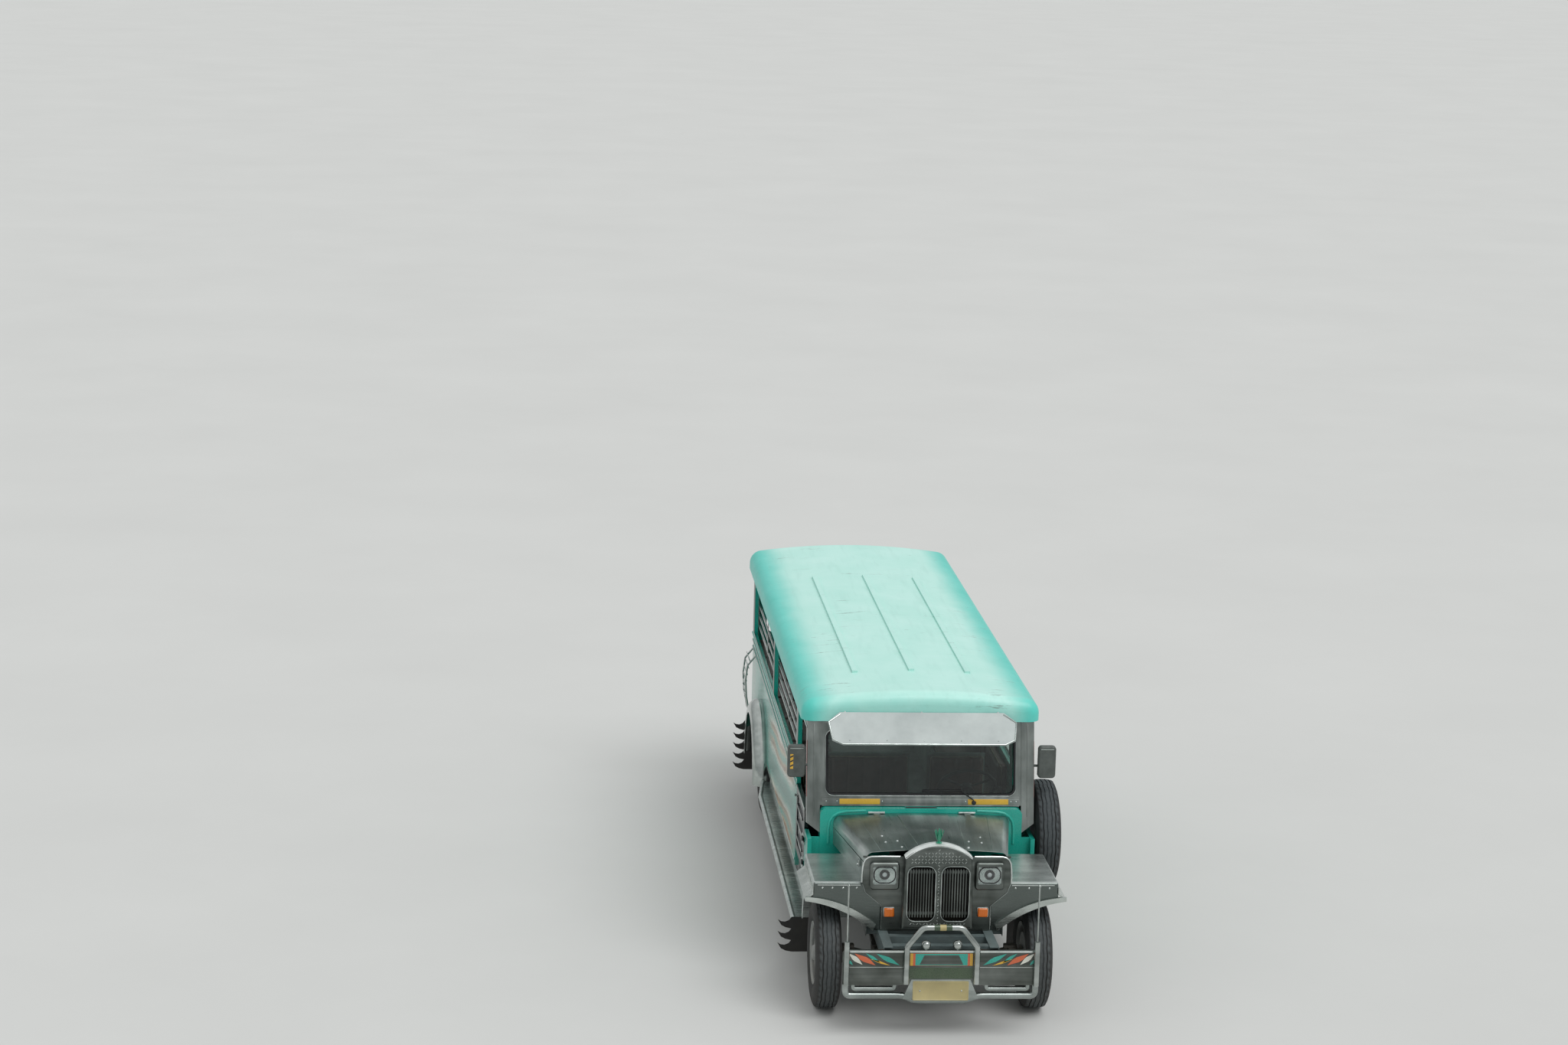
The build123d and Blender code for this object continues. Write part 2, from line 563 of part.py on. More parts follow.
def roof_block(inset, foot_z):
    """The roof's outer form, or the same form moved inwards by inset."""
    half = ROOF_Y - inset
    top = ROOF_CROWN_Z - inset
    shoulder = SHOULDER_Z - inset
    with BuildPart() as block:
        with BuildSketch(station(ROOF_REAR_X + inset)):
            with BuildLine():
                Line((-half, foot_z), (half, foot_z))
                Line((half, foot_z), (half, shoulder))
                ThreePointArc((half, shoulder), (0, top), (-half, shoulder))
                Line((-half, shoulder), (-half, foot_z))
            make_face()
            fillet(vertices().group_by(Axis.Y)[-1], 110 - inset)
        extrude(amount=ROOF_FRONT_X - ROOF_REAR_X - 2 * inset)
        fillet(block.edges().filter_by(Axis.Z), 90 - inset)
    return block.part


with BuildPart() as roof:
    add(roof_block(0, ROOF_EDGE_Z))
    add(roof_block(ROOF_T, ROOF_EDGE_Z - 10), mode=Mode.SUBTRACT)
    with BuildSketch(level(ROOF_EDGE_Z)):
        with Locations(((ROOF_FRONT_X + ROOF_REAR_X) / 2, 0)):
            RectangleRounded(ROOF_FRONT_X - ROOF_REAR_X - 2 * ROOF_T + 2, 2 * (ROOF_Y - ROOF_T) + 2, 78)
        with Locations(((FLANGE_FRONT_X + FLANGE_REAR_X) / 2, 0)):
            Rectangle(FLANGE_FRONT_X - FLANGE_REAR_X, 2 * (INNER_Y - 10), mode=Mode.SUBTRACT)
    extrude(amount=10)
    for y in (-423.0, 0.0, 423.0):
        rib_z = ROOF_CROWN_Z - CROWN_R + sqrt(CROWN_R ** 2 - y ** 2)
        rib_x = (ROOF_REAR_X + 1370, ROOF_FRONT_X - 672)
        add(box_between(rib_x, (y - 20, y + 20), (rib_z - 8, rib_z + 16)))
save(roof, "roof")

# Visor board over the windscreen, on three brackets
VISOR_HALF = ((590, 0), (668, 40), (690, 200), (600, 285))
VISOR_FOOT = (FRONT_X - 600.0, 0.0, ROOF_EDGE_Z - 119.0)
with BuildPart() as visor:
    slope = Plane(origin=VISOR_FOOT, x_dir=(0, 1, 0), z_dir=(sin(radians(40)), 0, cos(radians(40))))
    with BuildSketch(slope):
        with BuildLine():
            Polyline(*VISOR_HALF, *[(-y, z) for y, z in reversed(VISOR_HALF)], close=True)
        make_face()
        fillet(vertices(), 12)
    extrude(amount=10)
    for y in (-560.0, 0.0, 560.0):
        with BuildSketch(side_plane(y)):
            Polygon((ROOF_FRONT_X, ROOF_EDGE_Z + 15), (ROOF_FRONT_X, ROOF_EDGE_Z + 75),
                    (ROOF_FRONT_X + 200, ROOF_EDGE_Z - 90), (ROOF_FRONT_X + 170, ROOF_EDGE_Z - 90), align=None)
        extrude(amount=6, both=True)
save(visor, "visor_board")

# Body sides: one panel a side, up to the windows, with an arch for the rear wheel and raised mouldings
SKIRT_Z = WALL_FOOT_Z + 40.0
WAIST_Z = SILL_Z - 70.0
MOULDINGS = (
    ("skirt behind the wheel", REAR_WALL_X + 20, REAR_X - COVER_R - 20, SKIRT_Z),
    ("skirt before the wheel", REAR_X + COVER_R + 20, DOOR_REAR_X - 20, SKIRT_Z),
    ("waist", REAR_WALL_X + 20, DOOR_REAR_X - 20, WAIST_Z),
    ("upper waist", REAR_WALL_X + 20, DOOR_REAR_X - 20, WAIST_Z - 60),
)
with BuildPart() as side_panels:
    for side in (1, -1):
        with BuildSketch(side_plane(side * BODY_Y)):
            Polygon((REAR_WALL_X, WALL_FOOT_Z), (DOOR_REAR_X, WALL_FOOT_Z), (DOOR_REAR_X, SILL_Z),
                    (REAR_WALL_X, SILL_Z), align=None)
            with Locations((REAR_X, TYRE_R)):
                Circle(ARCH_R, mode=Mode.SUBTRACT)
        extrude(amount=side * WALL_T)
        for _, x0, x1, z in MOULDINGS:
            with BuildSketch(side_plane(side * BODY_Y)):
                with Locations(((x0 + x1) / 2, z)):
                    RectangleRounded(x1 - x0, MOULDING_H, MOULDING_H / 2 - 1)
            extrude(amount=-side * MOULDING_T)
        with BuildSketch(station(REAR_WALL_X)):
            ledge = ((BODY_Y, 0), (BODY_Y + 12, -6), (BODY_Y + 12, -16), (BODY_Y, -22))
            Polygon(*[(side * y, SILL_Z + dz) for y, dz in ledge], align=None)
        extrude(amount=DOOR_REAR_X - REAR_WALL_X)
    add(box_between((DOOR_REAR_X, DOOR_FRONT_X), (INNER_Y, BODY_Y), (WALL_FOOT_Z, DOOR_TOP_Z)))
save(side_panels, "side_panels")

# Window frames: posts between the windows and a header over them, which runs on over the doorway
POSTS = ((REAR_WALL_X, REAR_WALL_X + 150.0), (MID_POST_X - POST_W / 2, MID_POST_X + POST_W / 2),
         (DOOR_REAR_X - 130.0, DOOR_REAR_X))
window_frames = []
for side in (1, -1):
    wall_y = span(side, INNER_Y, BODY_Y)
    for x0, x1 in POSTS:
        window_frames.append(box_between((x0, x1), wall_y, (SILL_Z, HEADER_Z)))
    window_frames.append(box_between((REAR_WALL_X, HEADER_X), wall_y, (HEADER_Z, ROOF_EDGE_Z)))
save_all(window_frames, "window_frames")

# Rear wall with its doorway, two windows, a raised rim round the doorway and pressed ribs
REAR_DOOR_Y = 340.0
REAR_WINDOW_Y = BODY_Y - 260.0
RIM_W = 20.0
with BuildPart() as rear_wall:
    with BuildSketch(station(REAR_WALL_X)):
        Polygon(*corners((-INNER_Y, INNER_Y), (WALL_FOOT_Z, ROOF_EDGE_Z)), align=None)
    extrude(amount=WALL_T)
    with BuildSketch(station(REAR_WALL_X)):
        rim_y = REAR_DOOR_Y + RIM_W
        Polygon(*corners((-rim_y, rim_y), (FLOOR_Z, HEADER_Z + RIM_W)), align=None)
        for z in (SILL_Z - 190, SILL_Z - 120):
            with Locations((REAR_WINDOW_Y + 20, z), (-REAR_WINDOW_Y - 20, z)):
                RectangleRounded(380, MOULDING_H, MOULDING_H / 2 - 1)
    extrude(amount=-MOULDING_T)
    with BuildSketch(station(REAR_WALL_X - MOULDING_T)):
        Polygon(*corners((-REAR_DOOR_Y, REAR_DOOR_Y), (FLOOR_Z, HEADER_Z)), align=None)
        with Locations((REAR_WINDOW_Y, (SILL_Z + HEADER_Z) / 2), (-REAR_WINDOW_Y, (SILL_Z + HEADER_Z) / 2)):
            RectangleRounded(290, HEADER_Z - SILL_Z, 35)
    extrude(amount=WALL_T + MOULDING_T, mode=Mode.SUBTRACT)
save(rear_wall, "rear_wall")

# Bars across the side windows, on three heights, with uprights on the wall's inner face
BAR_R = 8.0
BAR_Y = INNER_Y - BAR_R
BAR_ENDS_X = (REAR_WALL_X + 140.0, DOOR_REAR_X - 120.0)
BAR_HEIGHTS = (SILL_Z + 90, SILL_Z + 180, SILL_Z + 270)
UPRIGHTS = (BAR_ENDS_X[0], (BAR_ENDS_X[0] + MID_POST_X) / 2, MID_POST_X, (MID_POST_X + BAR_ENDS_X[1]) / 2,
            BAR_ENDS_X[1])
with BuildPart() as bars:
    for side in (1, -1):
        for z in BAR_HEIGHTS:
            add(tube([(BAR_ENDS_X[0] - 10, side * BAR_Y, z), (BAR_ENDS_X[1] + 10, side * BAR_Y, z)], BAR_R))
        for x in UPRIGHTS:
            add(box_between((x - 8, x + 8), span(side, INNER_Y - 5, INNER_Y),
                            (SILL_Z - 20, HEADER_Z + 20)))
            add(box_between((x - 8, x + 8), span(side, INNER_Y - 16, INNER_Y - 5),
                            (BAR_HEIGHTS[0] - 10, BAR_HEIGHTS[-1] + 10)))
save(bars, "window_bars")

# Rear step with its hangers, on the ends of the chassis rails
STEP_Z = RAIL_TOP_Z - 210.0
STEP_T = 40.0
HANGER_Y = (RAIL_Y - 30.0, RAIL_Y + 30.0)
with BuildPart() as rear_step:
    with BuildSketch(level(STEP_Z - STEP_T)):
        with BuildLine():
            Polyline((REAR_WALL_X - 1, -600), (REAR_WALL_X - 1, 600), (REAR_WALL_X - 190, 600),
                     (REAR_WALL_X - 190, -600), close=True)
        make_face()
        fillet(vertices().group_by(Axis.X)[0], 50)
    extrude(amount=STEP_T)
    for side in (1, -1):
        hanger_y = sorted(side * y for y in HANGER_Y)
        add(box_between((RAIL_REAR_X - 9, RAIL_REAR_X), hanger_y, (STEP_Z - STEP_T, RAIL_TOP_Z - 20)))
        add(box_between((REAR_WALL_X - 100, RAIL_REAR_X), hanger_y, (STEP_Z - STEP_T, STEP_Z - 5)))
save(rear_step, "rear_step")

# Handrails under the roof and grab handles beside the rear doorway
GRAB_Y = REAR_DOOR_Y + RIM_W + 22.0
AISLE_RAIL_Y = 360.0
AISLE_RAIL_Z = ROOF_EDGE_Z - 30.0
RAIL_DROPS = 5
with BuildPart() as handrails:
    for side in (1, -1):
        y = side * GRAB_Y
        add(tube([(REAR_WALL_X, y, FLOOR_Z + 360), (REAR_WALL_X - 60, y, FLOOR_Z + 360),
                  (REAR_WALL_X - 60, y, FLOOR_Z + 960), (REAR_WALL_X, y, FLOOR_Z + 960)], 12, 30))
        y = side * AISLE_RAIL_Y
        add(tube([(REAR_WALL_X + WALL_T, y, AISLE_RAIL_Z), (FRONT_X - 1760, y, AISLE_RAIL_Z)], 15))
        inner_z = ROOF_CROWN_Z - ROOF_T - CROWN_R + sqrt(CROWN_R ** 2 - y ** 2)
        for i in range(RAIL_DROPS):
            x = REAR_WALL_X + 200 + i * (FRONT_X - 2000 - REAR_WALL_X) / (RAIL_DROPS - 1)
            add(box_between((x - 8, x + 8), (y - 8, y + 8), (AISLE_RAIL_Z, inner_z - 1)))
save(handrails, "handrails")

# Half door on the right, hinged on the cowl side, with a pressed panel and three raised strips
DOOR_HINGE_X = DOOR_FRONT_X - 4.0
DOOR_HINGE_Y = -(BODY_Y + 10.0)
DOOR_FOOT_Z = FLOOR_Z + 10.0
DOOR_X = (DOOR_REAR_X + PANEL_GAP, DOOR_FRONT_X - PANEL_GAP - 12)
DOOR_MID_X = (DOOR_X[0] + DOOR_X[1]) / 2
HINGE_HEIGHTS = (FLOOR_Z + 110.0, FLOOR_Z + 290.0)
with BuildPart() as half_door:
    add(box_between(DOOR_X, (-BODY_Y, -INNER_Y), (DOOR_FOOT_Z, DOOR_TOP_Z)))
    with BuildSketch(side_plane(-BODY_Y)):
        with Locations((DOOR_MID_X - 20, (DOOR_FOOT_Z + DOOR_TOP_Z) / 2)):
            RectangleRounded(DOOR_X[1] - DOOR_X[0] - 190, DOOR_TOP_Z - DOOR_FOOT_Z - 120, 45)
    extrude(amount=-6, mode=Mode.SUBTRACT)
    for z in (DOOR_FOOT_Z + 130, DOOR_FOOT_Z + 250, DOOR_FOOT_Z + 370):
        with BuildSketch(side_plane(-BODY_Y + 6)):
            with Locations((DOOR_MID_X - 20, z)):
                RectangleRounded(DOOR_X[1] - DOOR_X[0] - 260, MOULDING_H, MOULDING_H / 2 - 1)
        extrude(amount=6 + MOULDING_T)
    for z in HINGE_HEIGHTS:
        with Locations((DOOR_HINGE_X, DOOR_HINGE_Y, z)):
            Cylinder(9, 40)
        add(box_between((DOOR_HINGE_X - 70, DOOR_HINGE_X), (-BODY_Y - 8, -BODY_Y), (z - 18, z + 18)))
save(half_door, "half_door_right")

# Nose panel behind the headlamps, with a clear middle for the radiator
SHELL_HALF = 251.0
NOSE_STEPS = ((134, 0), (134, 180), (249, 280), (274, 350), (274, 480), (234, NOSE_TOP_Z - NOSE_FOOT_Z))
NOSE_SIDE = [(SHELL_HALF + dy, NOSE_FOOT_Z + dz) for dy, dz in NOSE_STEPS]
with BuildPart() as nose:
    with BuildSketch(station(NOSE_X)):
        with BuildLine():
            Polyline(*NOSE_SIDE, *[(-y, z) for y, z in reversed(NOSE_SIDE)], close=True)
        make_face()
        fillet(vertices(), 18)
        with Locations((0, NOSE_FOOT_Z + 285)):
            Rectangle(2 * SHELL_HALF - 72, 470, mode=Mode.SUBTRACT)
    extrude(amount=NOSE_T)
save(nose, "nose_panel")

# Grille shell: round topped, hollow, with two tall openings that each have a raised rim
SHELL_FOOT_Z = NOSE_FOOT_Z + 37.0
SHELL_SHOULDER_Z = SHELL_FOOT_Z + 518.0
SHELL_TOP_Z = SHELL_FOOT_Z + 613.0
SHELL_TAPER = 16.0
SHELL_BACK_X = NOSE_X + NOSE_T
OPENING_W = SHELL_HALF - 61.0
OPENING_H = 390.0
OPENING_R = 50.0
OPENING_Y = (SHELL_HALF - 13.0) / 2
OPENING_Z = SHELL_FOOT_Z + 263.0
OPENINGS = ((OPENING_Y, OPENING_Z), (-OPENING_Y, OPENING_Z))
GRILLE_RIM_W = 9.0
GRILLE_RIM_T = 5.0


def shell_outline(inset):
    """Front outline of the grille shell, moved inwards by inset."""
    half = SHELL_HALF - inset
    shoulder = half - SHELL_TAPER
    Polyline((-shoulder, SHELL_SHOULDER_Z), (-half, SHELL_FOOT_Z + inset), (half, SHELL_FOOT_Z + inset),
             (shoulder, SHELL_SHOULDER_Z))
    ThreePointArc((shoulder, SHELL_SHOULDER_Z), (0, SHELL_TOP_Z - inset), (-shoulder, SHELL_SHOULDER_Z))


with BuildPart() as grille_shell:
    with BuildSketch(station(SHELL_BACK_X)):
        with BuildLine():
            shell_outline(0)
        make_face()
    extrude(amount=GRILLE_X - SHELL_BACK_X)
    fillet(faces().sort_by(Axis.X)[-1].edges(), 22)
    with BuildSketch(station(SHELL_BACK_X)):
        with BuildLine():
            shell_outline(12)
        make_face()
    extrude(amount=GRILLE_X - SHELL_BACK_X - 30, mode=Mode.SUBTRACT)
    with BuildSketch(station(GRILLE_X - 8)):
        with Locations(*OPENINGS):
            RectangleRounded(OPENING_W + 2 * GRILLE_RIM_W, OPENING_H + 2 * GRILLE_RIM_W,
                             OPENING_R + GRILLE_RIM_W)
    extrude(amount=8 + GRILLE_RIM_T)
    with BuildSketch(station(SHELL_BACK_X)):
        with Locations(*OPENINGS):
            RectangleRounded(OPENING_W, OPENING_H, OPENING_R)
    extrude(amount=200, mode=Mode.SUBTRACT)
save(grille_shell, "grille_shell")

# Upright slats inside both openings, on two cross strips
SLAT_BACK_X = GRILLE_X - 30.0
SLATS = 9
SLAT_PITCH = (OPENING_W - 19.0) / SLATS
with BuildPart() as slats:
    with BuildSketch(station(SLAT_BACK_X)):
        with Locations(*OPENINGS):
            with GridLocations(SLAT_PITCH, 0, SLATS, 1):
                RectangleRounded(8, OPENING_H - 40, 3)
    extrude(amount=18)
    for z in (OPENING_Z - 150, OPENING_Z + 150):
        half = OPENING_Y + OPENING_W / 2 + 8
        add(box_between((SLAT_BACK_X - 6, SLAT_BACK_X), (-half, half), (z - 10, z + 10)))
save(slats, "grille_slats")

# Headlamps in square bezels, and small lamps below them
LAMP_Y = SHELL_HALF + 118.5
LAMP_Z = WING_TOP_Z + 55.0
BEZEL = (206.0, 196.0, 24.0)
LENS = (168.0, 132.0, 14.0)
HEADLAMPS = ((LAMP_Y, LAMP_Z), (-LAMP_Y, LAMP_Z))
LENSES = ((LAMP_Y, LAMP_Z + 8), (-LAMP_Y, LAMP_Z + 8))
MARKER_Y = SHELL_HALF + 79.0
MARKER_Z = NOSE_FOOT_Z + 138.0
TAIL_LAMP_R = 42.0
with BuildPart() as bezels:
    with BuildSketch(station(NOSE_X + NOSE_T)):
        with Locations(*HEADLAMPS):
            RectangleRounded(*BEZEL)
    extrude(amount=34)
    chamfer(faces().sort_by(Axis.X)[-2:].edges(), 8)
    with BuildSketch(station(NOSE_X + NOSE_T + 10)):
        with Locations(*LENSES):
            RectangleRounded(*LENS)
    extrude(amount=30, mode=Mode.SUBTRACT)
save(bezels, "headlamp_bezels")

# Lenses of the headlamps, the small front lamps and the tail lamps
with BuildPart() as lamps:
    with BuildSketch(station(NOSE_X + NOSE_T + 10)):
        with Locations(*LENSES):
            RectangleRounded(*LENS)
    extrude(amount=18)
    with BuildSketch(station(NOSE_X + NOSE_T)):
        with Locations((MARKER_Y, MARKER_Z), (-MARKER_Y, MARKER_Z)):
            RectangleRounded(80, 72, 12)
    extrude(amount=26)
    with BuildSketch(station(REAR_WALL_X)):
        for side in (1, -1):
            with Locations((side * (BODY_Y - 130), FLOOR_Z + 210), (side * (BODY_Y - 130), FLOOR_Z + 320)):
                Circle(TAIL_LAMP_R)
    extrude(amount=-32)
save(lamps, "lamps")

# Front wings: pressed flat tops with a rolled outer edge, an apron in front and a slope down to the board
WING_FOOT = (FRONT_X - 560.0, BOARD_Z + 30.0)
WING_BAND_Z = WING_TOP_Z - 95.0
WING_FRONT_R = 25.0
WING_SLOPE_R = 120.0
WING_EDGE_R = 12.0
LIP_HIGH = (WING_Y, WING_TOP_Z - 134)
LIP_MID = (WING_Y - 204, WING_TOP_Z - 207)
LIP_LOW = (SHELL_HALF + 189, NOSE_FOOT_Z)


def wing_form(side, inset):
    """One wing's outer form, or the same form moved inwards by inset and let down through its foot."""
    out_y = WING_Y - inset
    top_z = WING_TOP_Z - inset
    band_z = WING_BAND_Z - inset
    foot_z = WING_FOOT[1] - inset
    with BuildPart() as form:
        with BuildSketch(side_plane(side * WING_IN_Y)):
            with BuildLine():
                Polyline((NOSE_X - inset, band_z), (NOSE_X - inset, top_z), (WING_REAR_X + 0.7 * inset, top_z),
                         (WING_FOOT[0] + inset, foot_z), (WING_FOOT[0] + 45 + inset, foot_z),
                         (WING_REAR_X + 32 + inset, band_z), close=True)
            make_face()
            rear, front = vertices().group_by(Axis.Y)[-1].sort_by(Axis.X)
            fillet(front, WING_FRONT_R - inset)
            fillet(rear, WING_SLOPE_R - inset)
        extrude(amount=-side * (out_y - WING_IN_Y))
        fillet(form.faces().sort_by(Axis.Y)[-1 if side > 0 else 0].edges(), WING_EDGE_R - inset)
    return form.part


with BuildPart() as wings:
    for side in (1, -1):
        with BuildPart(mode=Mode.PRIVATE) as skin:
            add(wing_form(side, 0))
            add(wing_form(side, SHEET_T), mode=Mode.SUBTRACT)
        add(skin.part)
        with BuildSketch(station(NOSE_X - SHEET_T)):
            with BuildLine():
                ThreePointArc(*[(side * y, z) for y, z in (LIP_HIGH, LIP_MID, LIP_LOW)])
                Polyline((side * LIP_LOW[0], LIP_LOW[1]), (side * (SHELL_HALF + 141), NOSE_FOOT_Z),
                         (side * (SHELL_HALF + 141), WING_TOP_Z - WING_FRONT_R - 1),
                         (side * (WING_Y - WING_EDGE_R), WING_TOP_Z - WING_FRONT_R - 1),
                         (side * (WING_Y - WING_EDGE_R), WING_BAND_Z + WING_EDGE_R),
                         (side * WING_Y, WING_BAND_Z + WING_EDGE_R), (side * LIP_HIGH[0], LIP_HIGH[1]))
            make_face()
        extrude(amount=SHEET_T)
        add(box_between((WING_REAR_X + 10, NOSE_X - WING_FRONT_R), span(side, WING_IN_Y, WING_IN_Y + SHEET_T),
                        (RAIL_TOP_Z - ARM_H, WING_TOP_Z - 2)))
save(wings, "front_wings")

# Flared bright lips along the wings' edges
LIP_W = 46.0
FLARE = ((0, 14), (0, 54), (6, 54), (6, 10), (61, -33), (57, -39), (2, 2))
with BuildPart() as lips:
    for side in (1, -1):
        with BuildSketch(station(WING_REAR_X + 20)):
            Polygon(*[(side * (WING_Y + dy), WING_BAND_Z + dz) for dy, dz in FLARE], align=None)
        extrude(amount=NOSE_X - WING_REAR_X - 20)
        tip = (side * (WING_Y + 57), WING_BAND_Z - 39)
        low = (side * LIP_LOW[0], LIP_LOW[1])
        low_in = (side * (LIP_LOW[0] - 20), LIP_LOW[1] + LIP_W)
        with BuildSketch(station(NOSE_X)):
            with BuildLine():
                ThreePointArc(tip, (side * LIP_MID[0], LIP_MID[1]), low)
                Line(low, low_in)
                ThreePointArc(low_in, (side * (LIP_MID[0] - 10), LIP_MID[1] + LIP_W), (tip[0], tip[1] + 30))
                Line((tip[0], tip[1] + 30), tip)
            make_face()
        extrude(amount=20)
save(lips, "wing_lips")

# Sides of the engine bay, standing on the wings
BONNET_FRONT_X = FRONT_X + 270.0
BONNET_REAR_X = COWL_X + 8.0
BONNET_FRONT_HALF = SHELL_HALF + 249.0
BONNET_REAR_HALF = COWL_Y - 97.0
with BuildPart() as bay_sides:
    for side in (1, -1):
        with BuildSketch(level(WING_TOP_Z)):
            outline = ((COWL_X, BONNET_REAR_HALF), (NOSE_X, BONNET_FRONT_HALF), (NOSE_X, BONNET_FRONT_HALF - 4),
                       (COWL_X, BONNET_REAR_HALF - 4))
            Polygon(*[(x, side * y) for x, y in outline], align=None)
        extrude(amount=BONNET_EDGE_Z - PANEL_GAP - WING_TOP_Z)
save(bay_sides, "bonnet_sides")


def bonnet_form(inset, drop):
    """The bonnet's form between its rear and front edges, moved inwards by inset."""
    with BuildPart() as form:
        for x, half, top in ((BONNET_REAR_X, BONNET_REAR_HALF, BONNET_TOP_Z),
                             (BONNET_FRONT_X, BONNET_FRONT_HALF, BONNET_TOP_Z)):
            w = half - inset
            z = top - inset
            with BuildSketch(station(x)):
                with BuildLine():
                    Polyline((-w, z - 50), (-w, BONNET_EDGE_Z - drop), (w, BONNET_EDGE_Z - drop), (w, z - 50))
                    ThreePointArc((w, z - 50), (w - 15, z - 15), (w - 50, z))
                    ThreePointArc((w - 50, z), (0, z + 18), (50 - w, z))
                    ThreePointArc((50 - w, z), (15 - w, z - 15), (-w, z - 50))
                make_face()
        loft(ruled=True)
    return form.part


# Bonnet, hinged along its rear edge, with a raised middle panel that narrows forward
HINGE_Z = BONNET_TOP_Z + 24.0
HINGE_X = COWL_X + 15.0
CREASE = ((BONNET_REAR_X + 60, 190.0), (BONNET_FRONT_X - 15, 120.0))
with BuildPart() as bonnet:
    add(bonnet_form(0, 0))
    with BuildPart(mode=Mode.PRIVATE) as crease:
        for x, half in CREASE:
            with BuildSketch(station(x)):
                Polygon((-half, BONNET_TOP_Z + 8), (half, BONNET_TOP_Z + 8), (half - 6, BONNET_TOP_Z + 23),
                        (6 - half, BONNET_TOP_Z + 23), align=None)
        loft(ruled=True)
    add(crease.part)
    add(bonnet_form(BONNET_T, 5), mode=Mode.SUBTRACT)
    for y in (-330.0, 330.0):
        with Locations(Location((HINGE_X, y, HINGE_Z), (90, 0, 0))):
            Cylinder(8, 60)
        with BuildSketch(side_plane(y)):
            Polygon((HINGE_X - 4, HINGE_Z - 6), (HINGE_X + 4, HINGE_Z - 18), (HINGE_X + 90, HINGE_Z - 18),
                    (HINGE_X + 90, HINGE_Z - 12), (HINGE_X + 6, HINGE_Z - 2), align=None)
        extrude(amount=22, both=True)
save(bonnet, "bonnet")

# Fixed halves of the bonnet and door hinges
with BuildPart() as hinges:
    for y in (-330.0, 330.0):
        for end in (-45.3, 45.3):
            with Locations(Location((HINGE_X, y + end, HINGE_Z), (90, 0, 0))):
                Cylinder(8, 30)
            add(box_between((COWL_X, HINGE_X), (y + end - 15, y + end + 15), (HINGE_Z - 5, HINGE_Z + 5)))
    for z in HINGE_HEIGHTS:
        for end in (-30.3, 30.3):
            with Locations((DOOR_HINGE_X, DOOR_HINGE_Y, z + end)):
                Cylinder(9, 20)
            add(box_between((DOOR_HINGE_X, DOOR_HINGE_X + 50), (-BODY_Y - 8, -BODY_Y),
                            (z + end - 10, z + end + 10)))
save(hinges, "hinges")

# Bumper: a folded plate with rounded corners, on the rails' front ends
with BuildPart() as bumper:
    with BuildSketch(station(BUMPER_X - BUMPER_T)):
        with Locations((0, (BUMPER_FOOT_Z + BUMPER_TOP_Z) / 2)):
            RectangleRounded(2 * BUMPER_Y, BUMPER_TOP_Z - BUMPER_FOOT_Z, BUMPER_CORNER_R)
    extrude(amount=BUMPER_T)
    flange = BUMPER_Y - BUMPER_CORNER_R
    for z, depth in ((BUMPER_FOOT_Z, 60), (BUMPER_TOP_Z - BUMPER_T, 22)):
        add(box_between((BUMPER_X - depth, BUMPER_X), (-flange, flange), (z, z + BUMPER_T)))
    for side in (1, -1):
        add(box_between((RAIL_FRONT_X, BUMPER_X), span(side, RAIL_Y - RAIL_W / 2, RAIL_Y + RAIL_W / 2),
                        (RAIL_FOOT_Z, BUMPER_TOP_Z)))
save(bumper, "bumper")

